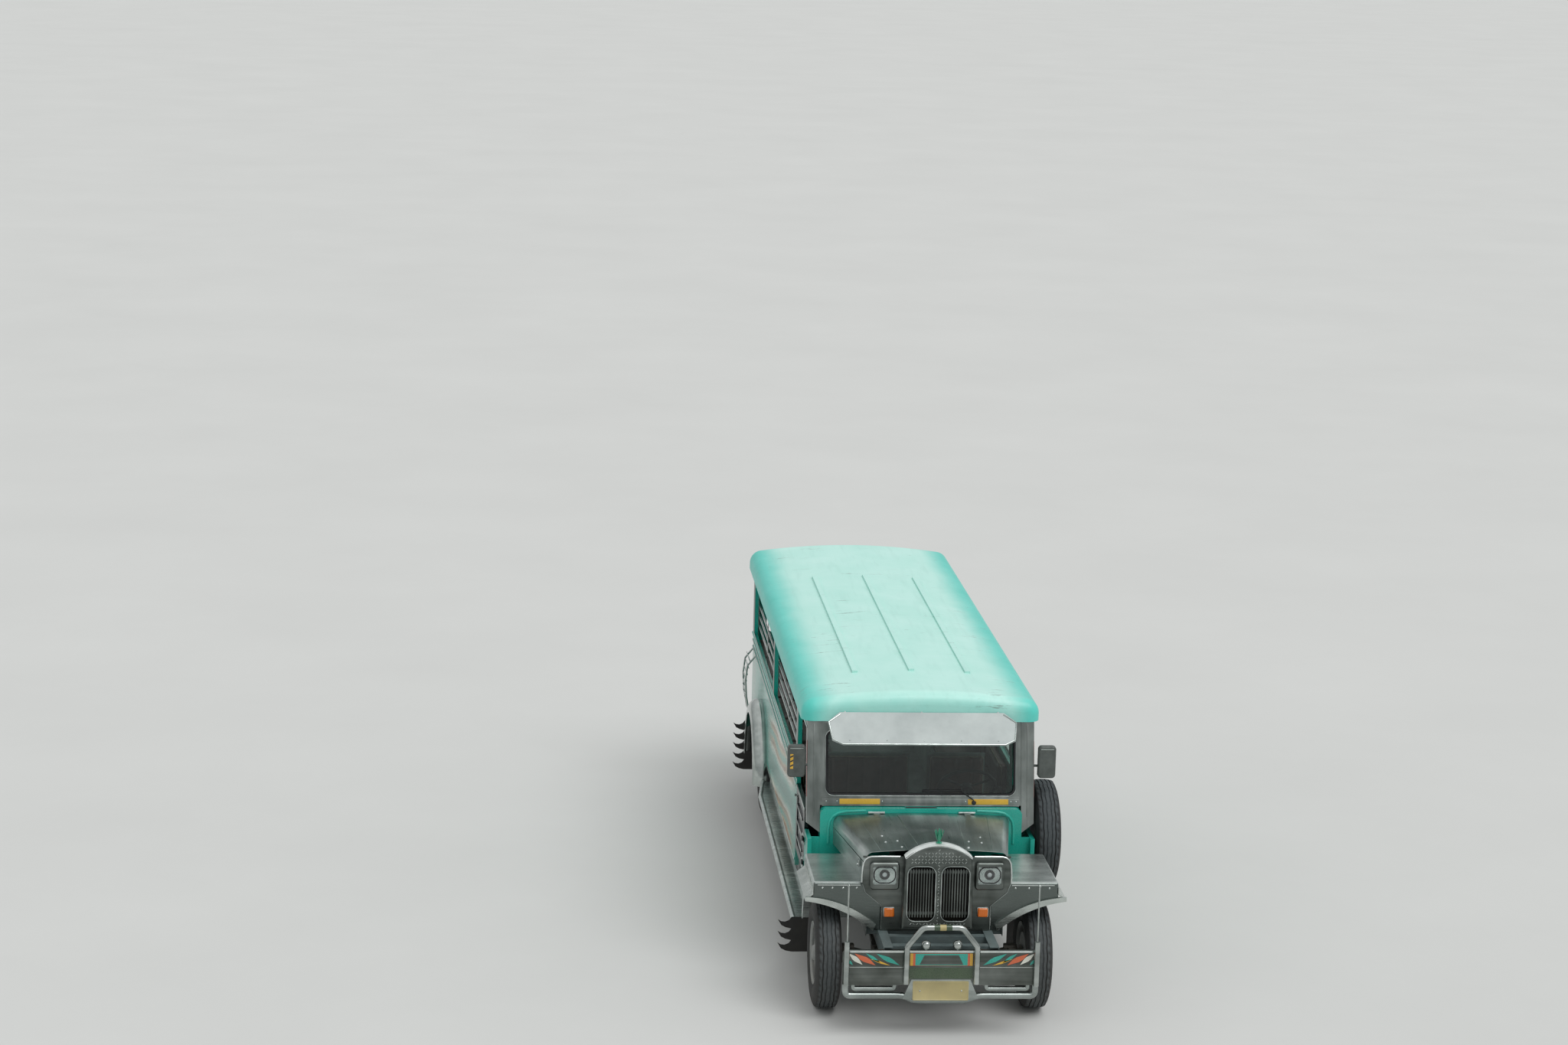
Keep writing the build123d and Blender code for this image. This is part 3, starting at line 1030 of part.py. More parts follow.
# Bright tubes: a hoop in front of the bumper, guards below it, two balls and two corner poles
HOOP_R = 21.0
HOOP_Y = 245.0
HOOP_TOP_Z = BUMPER_TOP_Z + 170.0
GUARD_R = 17.0
GUARD_Y = 660.0
GUARD_Z = BUMPER_FOOT_Z - 76.0
HOOP_X = BUMPER_X + HOOP_R
GUARD_X = BUMPER_X - 22.0
BALL_X = BUMPER_X - 12.0
TOW_BALL_R = 34.0
POLE_X = BUMPER_X + 20.0
POLE_Y = 660.0
SLEEVE_R = 19.0
SLEEVE_H = 320.0
ROD_R = 6.0
ROD_H = 402.0
FINIAL_R = 11.0
with BuildPart() as tubes:
    hoop = ((-HOOP_Y, BUMPER_FOOT_Z + 17), (-HOOP_Y, HOOP_TOP_Z - 140), (-135, HOOP_TOP_Z), (135, HOOP_TOP_Z),
            (HOOP_Y, HOOP_TOP_Z - 140), (HOOP_Y, BUMPER_FOOT_Z + 17))
    add(tube([(HOOP_X, y, z) for y, z in hoop], HOOP_R, 55))
    for y in (-HOOP_Y, HOOP_Y):
        for z in (BUMPER_FOOT_Z + 67, BUMPER_FOOT_Z + 177):
            add(box_between((BUMPER_X, HOOP_X), (y - 12, y + 12), (z - 14, z + 14)))
    guard = ((-GUARD_Y, BUMPER_FOOT_Z), (-GUARD_Y, GUARD_Z), (-260, GUARD_Z), (-180, GUARD_Z - 39),
             (180, GUARD_Z - 39), (260, GUARD_Z), (GUARD_Y, GUARD_Z), (GUARD_Y, BUMPER_FOOT_Z))
    add(tube([(GUARD_X, y, z) for y, z in guard], GUARD_R, 40))
    loop = ((GUARD_Y - 50, BUMPER_FOOT_Z), (GUARD_Y - 50, GUARD_Z + 41), (320, GUARD_Z + 41),
            (320, BUMPER_FOOT_Z))
    for side in (1, -1):
        add(tube([(GUARD_X, side * y, z) for y, z in loop], 14, 20))
    for y in (-110.0, 110.0):
        with Locations((BALL_X, y, BUMPER_TOP_Z + TOW_BALL_R + 2)):
            Sphere(TOW_BALL_R)
        with BuildSketch(level(BUMPER_TOP_Z)):
            with Locations((BALL_X, y)):
                Circle(9)
        extrude(amount=12)
    for side in (1, -1):
        y = side * POLE_Y
        with BuildSketch(level(BUMPER_FOOT_Z)):
            with Locations((POLE_X, y)):
                Circle(SLEEVE_R)
        extrude(amount=SLEEVE_H)
        with BuildSketch(level(BUMPER_FOOT_Z + SLEEVE_H)):
            with Locations((POLE_X, y)):
                Circle(ROD_R)
        extrude(amount=ROD_H)
        with Locations((POLE_X, y, BUMPER_FOOT_Z + SLEEVE_H + ROD_H)):
            Sphere(FINIAL_R)
        add(box_between((BUMPER_X, POLE_X), (y - 10, y + 10), (BUMPER_FOOT_Z + 47, BUMPER_FOOT_Z + 197)))
save(tubes, "bumper_tubes")

# Plain number plate on its bracket, which hangs from the bumper's lower part
PLATE_Z = BUMPER_FOOT_Z - 38.0
PLATE_BOLT_Y = 145.0
PLATE_BOLT_R = 3.5
with BuildPart() as plate:
    with BuildSketch(station(BUMPER_X)):
        Polygon(*[(y, PLATE_Z + dz) for y, dz in ((-205, 80), (205, 80), (265, -60), (-265, -60))], align=None)
    extrude(amount=4)
    add(box_between((BUMPER_X + 4, BUMPER_X + 6), (-195, 195), (PLATE_Z - 71, PLATE_Z + 69)))
    with BuildSketch(station(BUMPER_X - 1)):
        with Locations((-PLATE_BOLT_Y, PLATE_Z), (PLATE_BOLT_Y, PLATE_Z)):
            Circle(PLATE_BOLT_R)
    extrude(amount=8, mode=Mode.SUBTRACT)
save(plate, "number_plate")

# Running boards: a cross-ribbed step that narrows behind, a round outer edge, and hangers from the outriggers
EDGE_R = 20.0
EDGE_Y = BOARD_Y[1] + 7.0
TREAD_PITCH = 60.0
with BuildPart() as boards:
    for side in (1, -1):
        with BuildSketch(level(BOARD_Z - BOARD_T)):
            outline = ((BOARD_END_X, BOARD_Y[0]), (BOARD_X[1], BOARD_Y[0]), (BOARD_X[1], BOARD_Y[1]),
                       (BOARD_X[0], BOARD_Y[1]), (BOARD_END_X, BOARD_Y[1] - 55))
            Polygon(*[(x, side * y) for x, y in outline], align=None)
        extrude(amount=BOARD_T)
        add(box_between((BOARD_END_X, BOARD_X[1]), span(side, BOARD_Y[0] - 4, BOARD_Y[0]),
                        (BOARD_Z - BOARD_T, BOARD_Z + 45)))
        add(tube([(BOARD_END_X, side * (EDGE_Y - 55), BOARD_Z - 8), (BOARD_X[0], side * EDGE_Y, BOARD_Z - 8),
                  (BOARD_X[1], side * EDGE_Y, BOARD_Z - 8)], EDGE_R, 300))
        ribs = int((BOARD_X[1] - BOARD_X[0] - 40) / TREAD_PITCH)
        with BuildSketch(level(BOARD_Z)):
            with Locations(((BOARD_X[0] + BOARD_X[1]) / 2, side * (BOARD_Y[0] + 44))):
                with GridLocations(TREAD_PITCH, 0, ribs, 1):
                    Rectangle(14, 64)
        extrude(amount=4)
        for x in HANGERS:
            half = ARM_W / 2
            add(box_between((x - half, x + half), span(side, BOARD_Y[0] - 60, BOARD_Y[0] - 4),
                            (BOARD_Z - BOARD_T, RAIL_TOP_Z - ARM_H)))
            add(box_between((x - half, x + half), span(side, BOARD_Y[0] - 60, BOARD_Y[0] + 80),
                            (BOARD_Z - BOARD_T - 20, BOARD_Z - BOARD_T)))
save(boards, "running_boards")

# Bright covers over the rear wheel arches: a rounded flare turned about the wheel's axis
COVER_W = 112.0
COVER_T = 5.0
with BuildPart() as covers:
    for side in (1, -1):
        with BuildSketch(Plane(origin=(REAR_X, 0, TYRE_R), x_dir=(1, 0, 0), z_dir=(0, 0, 1))):
            with BuildLine():
                foot, rim = side * BODY_Y, side * (BODY_Y + COVER_W)
                Line((COVER_R - COVER_T, foot), (COVER_R, foot))
                ThreePointArc((COVER_R, foot), (COVER_R - 14, side * (BODY_Y + 78)), (ARCH_R + 50, rim))
                Line((ARCH_R + 50, rim), (ARCH_R + 8, rim))
                Line((ARCH_R + 8, rim), (ARCH_R + 8, rim - side * COVER_T))
                Line((ARCH_R + 8, rim - side * COVER_T), (ARCH_R + 48, rim - side * COVER_T))
                ThreePointArc((ARCH_R + 48, rim - side * COVER_T), (COVER_R - 20, side * (BODY_Y + 74)),
                              (COVER_R - COVER_T, foot))
            make_face()
        revolve(axis=Axis((REAR_X, 0, TYRE_R), (0, -1, 0)), revolution_arc=180)
save(covers, "rear_arch_covers")

# Mud flaps behind the wheels, with three rounded teeth on the outer edge
FLAP_T = 6.0
FLAP_DROP = 260.0
FLAP_Y = (BODY_Y - 180.0, BODY_Y + 145.0)
TOOTH_Y = BODY_Y + 200.0
TEETH = 3
FLAPS = ((BOARD_X[1] + FLAP_T, BOARD_Z + 20.0, 0.0), (OUTRIGGERS[-1] - ARM_W / 2, BOARD_Z + 30.0, 175.0))
with BuildPart() as flaps:
    for side in (1, -1):
        for x, top, neck in FLAPS:
            foot = top - FLAP_DROP
            outline = [(FLAP_Y[1], top), (FLAP_Y[0], top), (FLAP_Y[0], foot), (FLAP_Y[1], foot)]
            if neck:
                outline[1:2] = [(BOARD_Y[0] - 5, top), (BOARD_Y[0] - 5, top + neck), (FLAP_Y[0], top + neck)]
            with BuildSketch(station(x)):
                with BuildLine():
                    Polyline(*[(side * y, z) for y, z in outline])
                    step = FLAP_DROP / TEETH
                    for i in range(TEETH):
                        z = foot + i * step
                        ThreePointArc((side * FLAP_Y[1], z), (side * TOOTH_Y, z + 0.4 * step),
                                      (side * FLAP_Y[1], z + 0.8 * step))
                        Line((side * FLAP_Y[1], z + 0.8 * step), (side * FLAP_Y[1], z + step))
                make_face()
            extrude(amount=-FLAP_T)
save(flaps, "mud_flaps")

# Mirrors on arms from the door posts
MIRROR_AT = (FRONT_X - 745.0, BODY_Y + 85.0, ROOF_EDGE_Z - 270.0)


def mirror(side):
    """One mirror: a rounded shell on a bent arm."""
    x, y, z = MIRROR_AT[0], side * MIRROR_AT[1], MIRROR_AT[2]
    with BuildPart() as shell:
        with BuildSketch(station(x)):
            with Locations((y, z)):
                RectangleRounded(130, 240, 26)
        extrude(amount=42)
        fillet(shell.faces().sort_by(Axis.X)[-1].edges(), 14)
        add(tube([(x - 20, side * BODY_Y, z - 40), (x - 20, y, z - 40), (x + 10, y, z - 40)], 9, 14))
    return shell.part


with BuildPart() as mirrors:
    add(mirror(1))
    add(mirror(-1))
save(mirrors, "mirrors")

# Seat frames: side benches in the back, two box seats in front
BENCH_X = (REAR_WALL_X + 150.0, FRONT_X - 1800.0)
BENCH_Y = (WHEEL_BOX_Y - 190.0, BODY_Y - 40.0)
BENCH_Z = FLOOR_Z + 310.0
SEAT_X = (FRONT_X - 1620.0, FRONT_X - 1150.0)
SEAT_Z = FLOOR_Z + 240.0
SEAT_BACK_Z = SEAT_Z + 310.0
SEATS = ((375.0, 460.0), (-330.0, 720.0))
with BuildPart() as seat_frames:
    for side in (1, -1):
        add(box_between(BENCH_X, span(side, BENCH_Y[0], BENCH_Y[1]), (BENCH_Z - 20, BENCH_Z)))
        add(box_between(BENCH_X, span(side, BENCH_Y[0] + 20, BENCH_Y[0] + 26), (FLOOR_Z, BENCH_Z - 20)))
    for y, width in SEATS:
        with BuildSketch(level(FLOOR_Z)):
            with Locations(((SEAT_X[0] + SEAT_X[1]) / 2, y)):
                Rectangle(SEAT_X[1] - SEAT_X[0] - 60, width - 80)
                Rectangle(SEAT_X[1] - SEAT_X[0] - 66, width - 86, mode=Mode.SUBTRACT)
        extrude(amount=SEAT_Z - 12 - FLOOR_Z)
        add(box_between(SEAT_X, (y - width / 2 + 10, y + width / 2 - 10), (SEAT_Z - 12, SEAT_Z)))
        add(box_between((SEAT_X[0] - 20, SEAT_X[0]), (y - width / 2 + 10, y + width / 2 - 10),
                        (SEAT_Z - 12, SEAT_BACK_Z + 180)))
save(seat_frames, "seat_frames")

# Cushions of the side benches, seat and back
with BuildPart() as bench_cushions:
    for side in (1, -1):
        with BuildSketch(level(BENCH_Z)):
            with Locations(((BENCH_X[0] + BENCH_X[1]) / 2, side * (BENCH_Y[0] + BENCH_Y[1]) / 2)):
                RectangleRounded(BENCH_X[1] - BENCH_X[0] - 10, BENCH_Y[1] - BENCH_Y[0], 30)
        extrude(amount=80)
        add(box_between((BENCH_X[0] + 5, BENCH_X[1] - 5), span(side, BAR_Y - BAR_R - 60, INNER_Y),
                        (BENCH_Z + 90, SILL_Z - 25)))
save(bench_cushions, "bench_cushions")

with BuildPart() as seat_cushions:
    for y, width in SEATS:
        with BuildSketch(level(SEAT_Z)):
            with Locations(((SEAT_X[0] + SEAT_X[1]) / 2, y)):
                RectangleRounded(SEAT_X[1] - SEAT_X[0], width, 40)
        extrude(amount=110)
        with BuildSketch(station(SEAT_X[0])):
            with Locations((y, SEAT_BACK_Z)):
                RectangleRounded(width, 390, 40)
        extrude(amount=95)
save(seat_cushions, "front_seat_cushions")

with BuildPart() as steering_wheel:
    with Locations(steer_plane.location):
        Torus(STEER_R, 13)
    with BuildSketch(steer_plane.offset(-30)):
        Circle(42)
    extrude(amount=40)
    for turn in (90, 210, 330):
        x, y = STEER_R * cos(radians(turn)), STEER_R * sin(radians(turn))
        start = steer_plane.from_local_coords(Vector(0.12 * x, 0.12 * y, -8))
        end = steer_plane.from_local_coords(Vector(x, y, 0))
        add(tube([start, end], 9))
save(steering_wheel, "steering_wheel")

with BuildPart() as steering_column:
    with BuildSketch(steer_plane.offset(-31)):
        Circle(COLUMN_R)
    extrude(amount=31 - COLUMN_END)
save(steering_column, "steering_column")
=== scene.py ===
# %% [markdown]
# # A jeepney
# A jeepney is a long shared passenger vehicle, built by hand from folded stainless sheet and painted panels.
# The frame is the imported CAD model: everything in it is in metres, with +X forward, +Y to the
# vehicle's left and +Z up. We load it first, and measure the box of a part wherever its size is needed.

# %% Load the frame
import cmath
import math

import bmesh
import bpy
from mathutils import Matrix, Vector
from mathutils.bvhtree import BVHTree


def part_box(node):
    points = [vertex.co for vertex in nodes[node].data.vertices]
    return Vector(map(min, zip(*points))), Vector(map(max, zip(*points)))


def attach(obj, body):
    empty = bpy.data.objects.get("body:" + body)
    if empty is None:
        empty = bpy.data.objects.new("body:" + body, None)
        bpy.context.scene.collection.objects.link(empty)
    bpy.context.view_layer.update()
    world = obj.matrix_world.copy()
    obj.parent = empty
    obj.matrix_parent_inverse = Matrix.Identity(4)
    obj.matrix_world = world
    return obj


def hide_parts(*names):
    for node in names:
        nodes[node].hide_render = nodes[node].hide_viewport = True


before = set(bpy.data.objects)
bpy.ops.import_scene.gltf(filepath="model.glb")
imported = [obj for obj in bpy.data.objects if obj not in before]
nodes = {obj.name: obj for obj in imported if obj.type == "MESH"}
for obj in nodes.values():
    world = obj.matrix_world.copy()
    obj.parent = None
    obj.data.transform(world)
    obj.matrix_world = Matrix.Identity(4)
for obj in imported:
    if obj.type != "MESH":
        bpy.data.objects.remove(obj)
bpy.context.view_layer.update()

# %% [markdown]
# ## The camera
# The photograph was taken from high up, as from a footbridge: about eight metres up, twenty-two in
# front of the bumper and three to the vehicle's right. A long lens flattens the view. The middle of
# the view isn't quite the middle of the frame, so the lens is shifted a little instead of being turned.

# %% Camera
IMAGE_W, IMAGE_H = 2048, 1365
FOCAL_PX = 4410.66
AXIS_PX = (907.46, 665.40)
SENSOR_MM = 36.0
STAND = (25.652, -3.095, 8.069)
YAW, PITCH, ROLL = -0.0595, 0.1930, -0.0204

forward = Vector((-math.cos(YAW) * math.cos(PITCH), -math.sin(YAW) * math.cos(PITCH), -math.sin(PITCH)))
level_right = forward.cross(Vector((0, 0, 1))).normalized()
level_up = level_right.cross(forward)
right = math.cos(ROLL) * level_right - math.sin(ROLL) * level_up
up = math.sin(ROLL) * level_right + math.cos(ROLL) * level_up

camera = bpy.data.objects.new("camera", bpy.data.cameras.new("camera"))
bpy.context.scene.collection.objects.link(camera)
camera.matrix_world = Matrix.Translation(STAND) @ Matrix((right, up, -forward)).transposed().to_4x4()
camera.data.sensor_width = SENSOR_MM
camera.data.sensor_fit = "HORIZONTAL"
camera.data.lens = FOCAL_PX * SENSOR_MM / IMAGE_W
camera.data.shift_x = (IMAGE_W / 2 - AXIS_PX[0]) / IMAGE_W
camera.data.shift_y = (AXIS_PX[1] - IMAGE_H / 2) / IMAGE_W
camera.data.clip_end = 1000.0
bpy.context.scene.camera = camera
shift = [round(value, 4) for value in (camera.data.shift_x, camera.data.shift_y)]
print("lens", round(camera.data.lens, 2), "mm, shift", shift)

# %% [markdown]
# ## Colours and nodes
# Colours are written as sRGB hex values, as a paint chart gives them, and one function turns them
# to the linear values that the renderer works with. A second function adds one node, with its
# settings, and links or sets its inputs. All finishes below are made with these two.

# %% Colour and node helpers


def linear(colour):
    """An sRGB hex colour as linear red, green, blue and alpha."""
    channels = [int(colour[i:i + 2], 16) / 255 for i in (1, 3, 5)]
    return (*(c / 12.92 if c <= 0.04045 else ((c + 0.055) / 1.055) ** 2.4 for c in channels), 1.0)


def add_node(tree, kind, inputs=None, stops=None, **settings):
    """Add one node, set its properties, set or link its inputs, and place its ramp's stops."""
    node = tree.nodes.new("ShaderNode" + kind)
    for name, value in settings.items():
        setattr(node, name, value)
    for name, value in (inputs or {}).items():
        if isinstance(value, bpy.types.NodeSocket):
            tree.links.new(value, node.inputs[name])
        else:
            node.inputs[name].default_value = value
    if stops:
        ramp = node.color_ramp
        while len(ramp.elements) < len(stops):
            ramp.elements.new(1.0)
        for element, (position, colour) in zip(ramp.elements, stops):
            element.position = position
            element.color = linear(colour) if isinstance(colour, str) else (colour, colour, colour, 1)
    return node


def new_finish(name, metallic=0.0, roughness=0.5, **sockets):
    """A material with its shader, and the coordinates that its patterns read."""
    material = bpy.data.materials.new(name)
    material.use_nodes = True
    tree = material.node_tree
    shader = tree.nodes["Principled BSDF"]
    shader.inputs["Metallic"].default_value = metallic
    shader.inputs["Roughness"].default_value = roughness
    for socket, value in sockets.items():
        shader.inputs[socket.replace("_", " ")].default_value = value
    place = add_node(tree, "TexCoord").outputs["Object"]
    return material, tree, shader, place


def per_mm(size):
    """The scale of a pattern whose features are this many millimetres across."""
    return 1000.0 / size


print("sample", [round(c, 3) for c in linear("#b6e1d8")])

# %% [markdown]
# ## Plain working finishes
# Most hidden parts wear one of a few workshop finishes: chassis black brushed on by hand, cast
# iron, rolled plate, moulded rubber, black plastic. What the eye reads is the same in each: colour
# that drifts in patches, road dust that settles low down, and a fine grain that breaks the gloss.
# Three functions make these from real sizes in millimetres, and a table says how the finishes differ.

# %% Working finishes
DUST = "#8d8577"
DUST_PATCH_MM = 90


def drifting(tree, place, patch_mm, dark, light):
    """Colour that drifts between two shades, in patches of a real size."""
    noise = add_node(tree, "TexNoise", {"Vector": place, "Scale": per_mm(patch_mm), "Detail": 5.0,
                                        "Roughness": 0.6})
    ramp = add_node(tree, "ValToRGB", {"Fac": noise.outputs["Fac"]}, [(0.3, dark), (0.7, light)])
    return ramp.outputs["Color"]


def dusty(tree, place, colour, amount, low_z, high_z):
    """Road dust over a colour: full at one height, gone at another, and broken up by noise."""
    height = add_node(tree, "SeparateXYZ", {"Vector": place}).outputs["Z"]
    fade = add_node(tree, "MapRange", {"Value": height, "From Min": low_z, "From Max": high_z,
                                       "To Min": amount, "To Max": 0.0})
    noise = add_node(tree, "TexNoise", {"Vector": place, "Scale": per_mm(DUST_PATCH_MM), "Detail": 8.0,
                                        "Roughness": 0.7})
    share = add_node(tree, "Math", {0: fade.outputs["Result"], 1: noise.outputs["Fac"]},
                     operation="MULTIPLY")
    return add_node(tree, "Mix", {"Factor": share.outputs[0], "A": colour, "B": linear(DUST)},
                    data_type="RGBA").outputs[2]


def rough_and_bumpy(tree, shader, place, grain_mm, rough, height_mm):
    """Roughness that varies with a fine grain, and the same grain as bump."""
    grain = add_node(tree, "TexNoise", {"Vector": place, "Scale": per_mm(grain_mm), "Detail": 4.0})
    gloss = add_node(tree, "MapRange", {"Value": grain.outputs["Fac"], "From Min": 0.3, "From Max": 0.7,
                                        "To Min": rough[0], "To Max": rough[1]})
    bump = add_node(tree, "Bump", {"Height": grain.outputs["Fac"], "Strength": 0.5,
                                   "Distance": height_mm / 1000})
    tree.links.new(gloss.outputs["Result"], shader.inputs["Roughness"])
    tree.links.new(bump.outputs["Normal"], shader.inputs["Normal"])


print("dust, drift and grain ready")

# %% [markdown]
# The table gives, for each working finish, its two shades, how much of a metal it is, how rough it
# is at its smoothest and dullest, the size of its patches and of its grain, the height of the
# grain, and how much dust lies on it.

# %% The table of working finishes
WORKING = {
    "chassis_black_enamel": ("#1d2022", "#2b2e2f", 0.0, (0.45, 0.75), 160, 3.0, 0.10, 0.9),
    "rail_grey_enamel": ("#3f5154", "#5a6c6e", 0.0, (0.35, 0.60), 120, 2.5, 0.08, 0.5),
    "rough_cast_iron": ("#2a2a29", "#3d3b38", 0.6, (0.55, 0.80), 60, 1.2, 0.25, 0.8),
    "rolled_floor_plate": ("#6b6e6d", "#858887", 0.9, (0.40, 0.65), 140, 1.5, 0.10, 0.3),
    "silver_wheel_enamel": ("#7c8283", "#9aa0a0", 0.2, (0.35, 0.55), 90, 1.0, 0.05, 0.8),
    "heat_stained_steel": ("#4b3d33", "#77706a", 0.8, (0.45, 0.75), 70, 0.8, 0.06, 0.6),
    "moulded_black_rubber": ("#141617", "#1e2022", 0.0, (0.60, 0.85), 80, 0.9, 0.10, 0.15),
    "moulded_black_plastic": ("#1b1c1d", "#262728", 0.0, (0.40, 0.60), 60, 0.6, 0.08, 0.1),
    "mirror_back_enamel": ("#454a47", "#5a605d", 0.1, (0.35, 0.50), 70, 0.8, 0.05, 0.2),
    "door_lining_board": ("#6f7d79", "#86938f", 0.0, (0.50, 0.70), 120, 0.8, 0.06, 0.2),
}
DUST_LOW_Z, DUST_HIGH_Z = 0.15, 1.10
finishes = {}
for name, (dark, light, metallic, rough, patch_mm, grain_mm, height_mm, dust) in WORKING.items():
    material, tree, shader, place = new_finish(name, metallic)
    colour = drifting(tree, place, patch_mm, dark, light)
    colour = dusty(tree, place, colour, dust, DUST_LOW_Z, DUST_HIGH_Z)
    tree.links.new(colour, shader.inputs["Base Color"])
    rough_and_bumpy(tree, shader, place, grain_mm, rough, height_mm)
    finishes[name] = material
print(len(finishes), "working finishes")

# %% [markdown]
# ## Stainless sheet
# The front, the bonnet, the wings and the trims are stainless sheet, cut and folded by hand and
# rubbed down with abrasive. The rubbing leaves hairlines in one direction, about half a
# millimetre apart, which stretch the highlights across them. Between the hairlines the sheet is
# slightly wavy, because it is thin, and that wave is what makes the reflections wander.
# A metal keeps the default IOR: its colour sets what it reflects.

# %% Stainless finishes
HAIRLINE_MM = 0.5
HAIRLINE_DRAWN_MM = 4.0  # drawn coarser, since half a millimetre is far below one pixel
SMEAR_MM, SHADE_PATCH_MM, WAVE_LENGTH_MM = 70, 240, 130
SHEET_DUST_Z = (0.3, 1.4)
# the darker colour of the wings' front fold and the width it blends over: a painted reflection of the road
PAINTED_SHADE_BLEND_M, PAINTED_ROAD_REFLECTION = 0.014, "#676e6b"


def stainless(name, dark, light, rough, along, wave_mm, dust, painted_shade_from_x=None):
    """Rubbed stainless sheet. along is the axis of its hairlines; past the x given last, its colour turns
    darker, a painted reflection of the road.
    """
    material, tree, shader, place = new_finish(name, metallic=1.0)
    stretch = [1.0, 1.0, 1.0]
    stretch[along] = 0.04
    lines = add_node(tree, "Mapping", {"Vector": place, "Scale": stretch}).outputs["Vector"]
    hair = add_node(tree, "TexNoise", {"Vector": lines, "Scale": per_mm(HAIRLINE_DRAWN_MM), "Detail": 3.0,
                                       "Roughness": 0.7})
    smear = add_node(tree, "TexNoise", {"Vector": lines, "Scale": per_mm(SMEAR_MM), "Detail": 6.0})
    patch = add_node(tree, "TexNoise", {"Vector": place, "Scale": per_mm(SHADE_PATCH_MM), "Detail": 3.0})
    blend = add_node(tree, "Math", {0: smear.outputs["Fac"], 1: patch.outputs["Fac"]}, operation="MULTIPLY")
    shade = add_node(tree, "ValToRGB", {"Fac": blend.outputs[0]}, [(0.14, dark), (0.38, light)])
    colour = dusty(tree, place, shade.outputs["Color"], dust, *SHEET_DUST_Z)
    # past the given x the colour turns darker: a painted reflection of the road on a forward face
    if painted_shade_from_x is not None:
        axes = add_node(tree, "SeparateXYZ", {"Vector": place})
        past = add_node(tree, "MapRange", {"Value": axes.outputs["X"], "From Min": painted_shade_from_x - PAINTED_SHADE_BLEND_M,
                                           "From Max": painted_shade_from_x}, interpolation_type="SMOOTHSTEP")
        colour = add_node(tree, "Mix", {"Factor": past.outputs["Result"], "A": colour,
                                        "B": linear(PAINTED_ROAD_REFLECTION)}, data_type="RGBA").outputs[2]
    tree.links.new(colour, shader.inputs["Base Color"])
    gloss = add_node(tree, "MapRange", {"Value": hair.outputs["Fac"], "From Min": 0.3, "From Max": 0.7,
                                        "To Min": rough[0], "To Max": rough[1]})
    tree.links.new(gloss.outputs["Result"], shader.inputs["Roughness"])
    wave = add_node(tree, "TexNoise", {"Vector": place, "Scale": per_mm(WAVE_LENGTH_MM), "Detail": 1.0})
    hollow = add_node(tree, "Bump", {"Height": wave.outputs["Fac"], "Strength": 0.6,
                                     "Distance": wave_mm / 1000 * 4})
    fine = add_node(tree, "Bump", {"Height": hair.outputs["Fac"], "Strength": 0.25,
                                   "Distance": HAIRLINE_MM / 2000, "Normal": hollow.outputs["Normal"]})
    tree.links.new(fine.outputs["Normal"], shader.inputs["Normal"])
    shader.inputs["Anisotropic"].default_value = 0.4
    return material


print("hairlines", HAIRLINE_MM, "mm apart are drawn", HAIRLINE_DRAWN_MM, "mm apart")

# %% [markdown]
# The sheets differ in how bright they are, how far they were polished and which way they were rubbed.
# The nose sheet's dark shades are a painted reflection of the road, which its forward faces would show.
# The table gives each its dark and its light shade, its roughness where it is smoothest and dullest,
# the axis of its hairlines (0, 1 or 2 for X, Y or Z), the height of its waves in millimetres and its
# dust. The front fold of the wings faces forward, and its colour turns darker there as a painted reflection
# of the road.

# %% The table of stainless finishes
STAINLESS = {
    "bonnet_stainless_sheet": ("#9aa2a0", "#cbd2cf", (0.26, 0.44), 0, 0.6, 0.04),
    "wing_stainless_sheet": ("#acb4b2", "#d6ddda", (0.22, 0.40), 1, 0.6, 0.15),
    # the nose sheet's dark shades are a painted reflection of the road
    "nose_stainless_painted_reflection": ("#4c524f", "#7b817e", (0.26, 0.44), 1, 0.6, 0.15),
    "post_stainless_sheet": ("#757b78", "#9ea4a1", (0.28, 0.45), 2, 0.6, 0.15),
    "trim_polished_stainless": ("#9aa29f", "#c9cfcc", (0.12, 0.24), 0, 0.2, 0.15),
    "hammered_stainless": ("#a9b1ad", "#d2d8d4", (0.18, 0.34), 1, 1.6, 0.15),
    "tube_polished_stainless": ("#939a97", "#c3c9c6", (0.14, 0.28), 1, 0.1, 0.15),
    "slat_stainless_sheet": ("#4a4f4d", "#737976", (0.24, 0.40), 2, 0.2, 0.15),
    "guard_tube_stainless": ("#8d9592", "#bcc3c0", (0.22, 0.36), 1, 0.1, 0.05),
    "nose_edge_stainless": ("#7f8684", "#b0b7b4", (0.18, 0.32), 0, 0.1, 0.15),
    "bright_band_stainless": ("#c3cac7", "#e6ebe9", (0.16, 0.30), 0, 0.1, 0.15),
    # the shell band's very pale shades are a painted sheen for the sky it reflects; its roughness is its
    # brushing
    "brushed_band_painted_sheen": ("#dde2e0", "#f2f5f3", (0.55, 0.68), 0, 0.1, 0.0),
    "dark_polished_door": ("#22262a", "#3c4244", (0.10, 0.20), 0, 0.3, 0.15),
}
# from here forward the wings are painted darker, as a painted reflection of the road
PAINTED_SHADE_FROM_X = {"wing_stainless_sheet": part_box("front_wings")[1].x - 0.004}
for name, look in STAINLESS.items():
    finishes[name] = stainless(name, *look, painted_shade_from_x=PAINTED_SHADE_FROM_X.get(name))
print(len(STAINLESS), "stainless finishes")

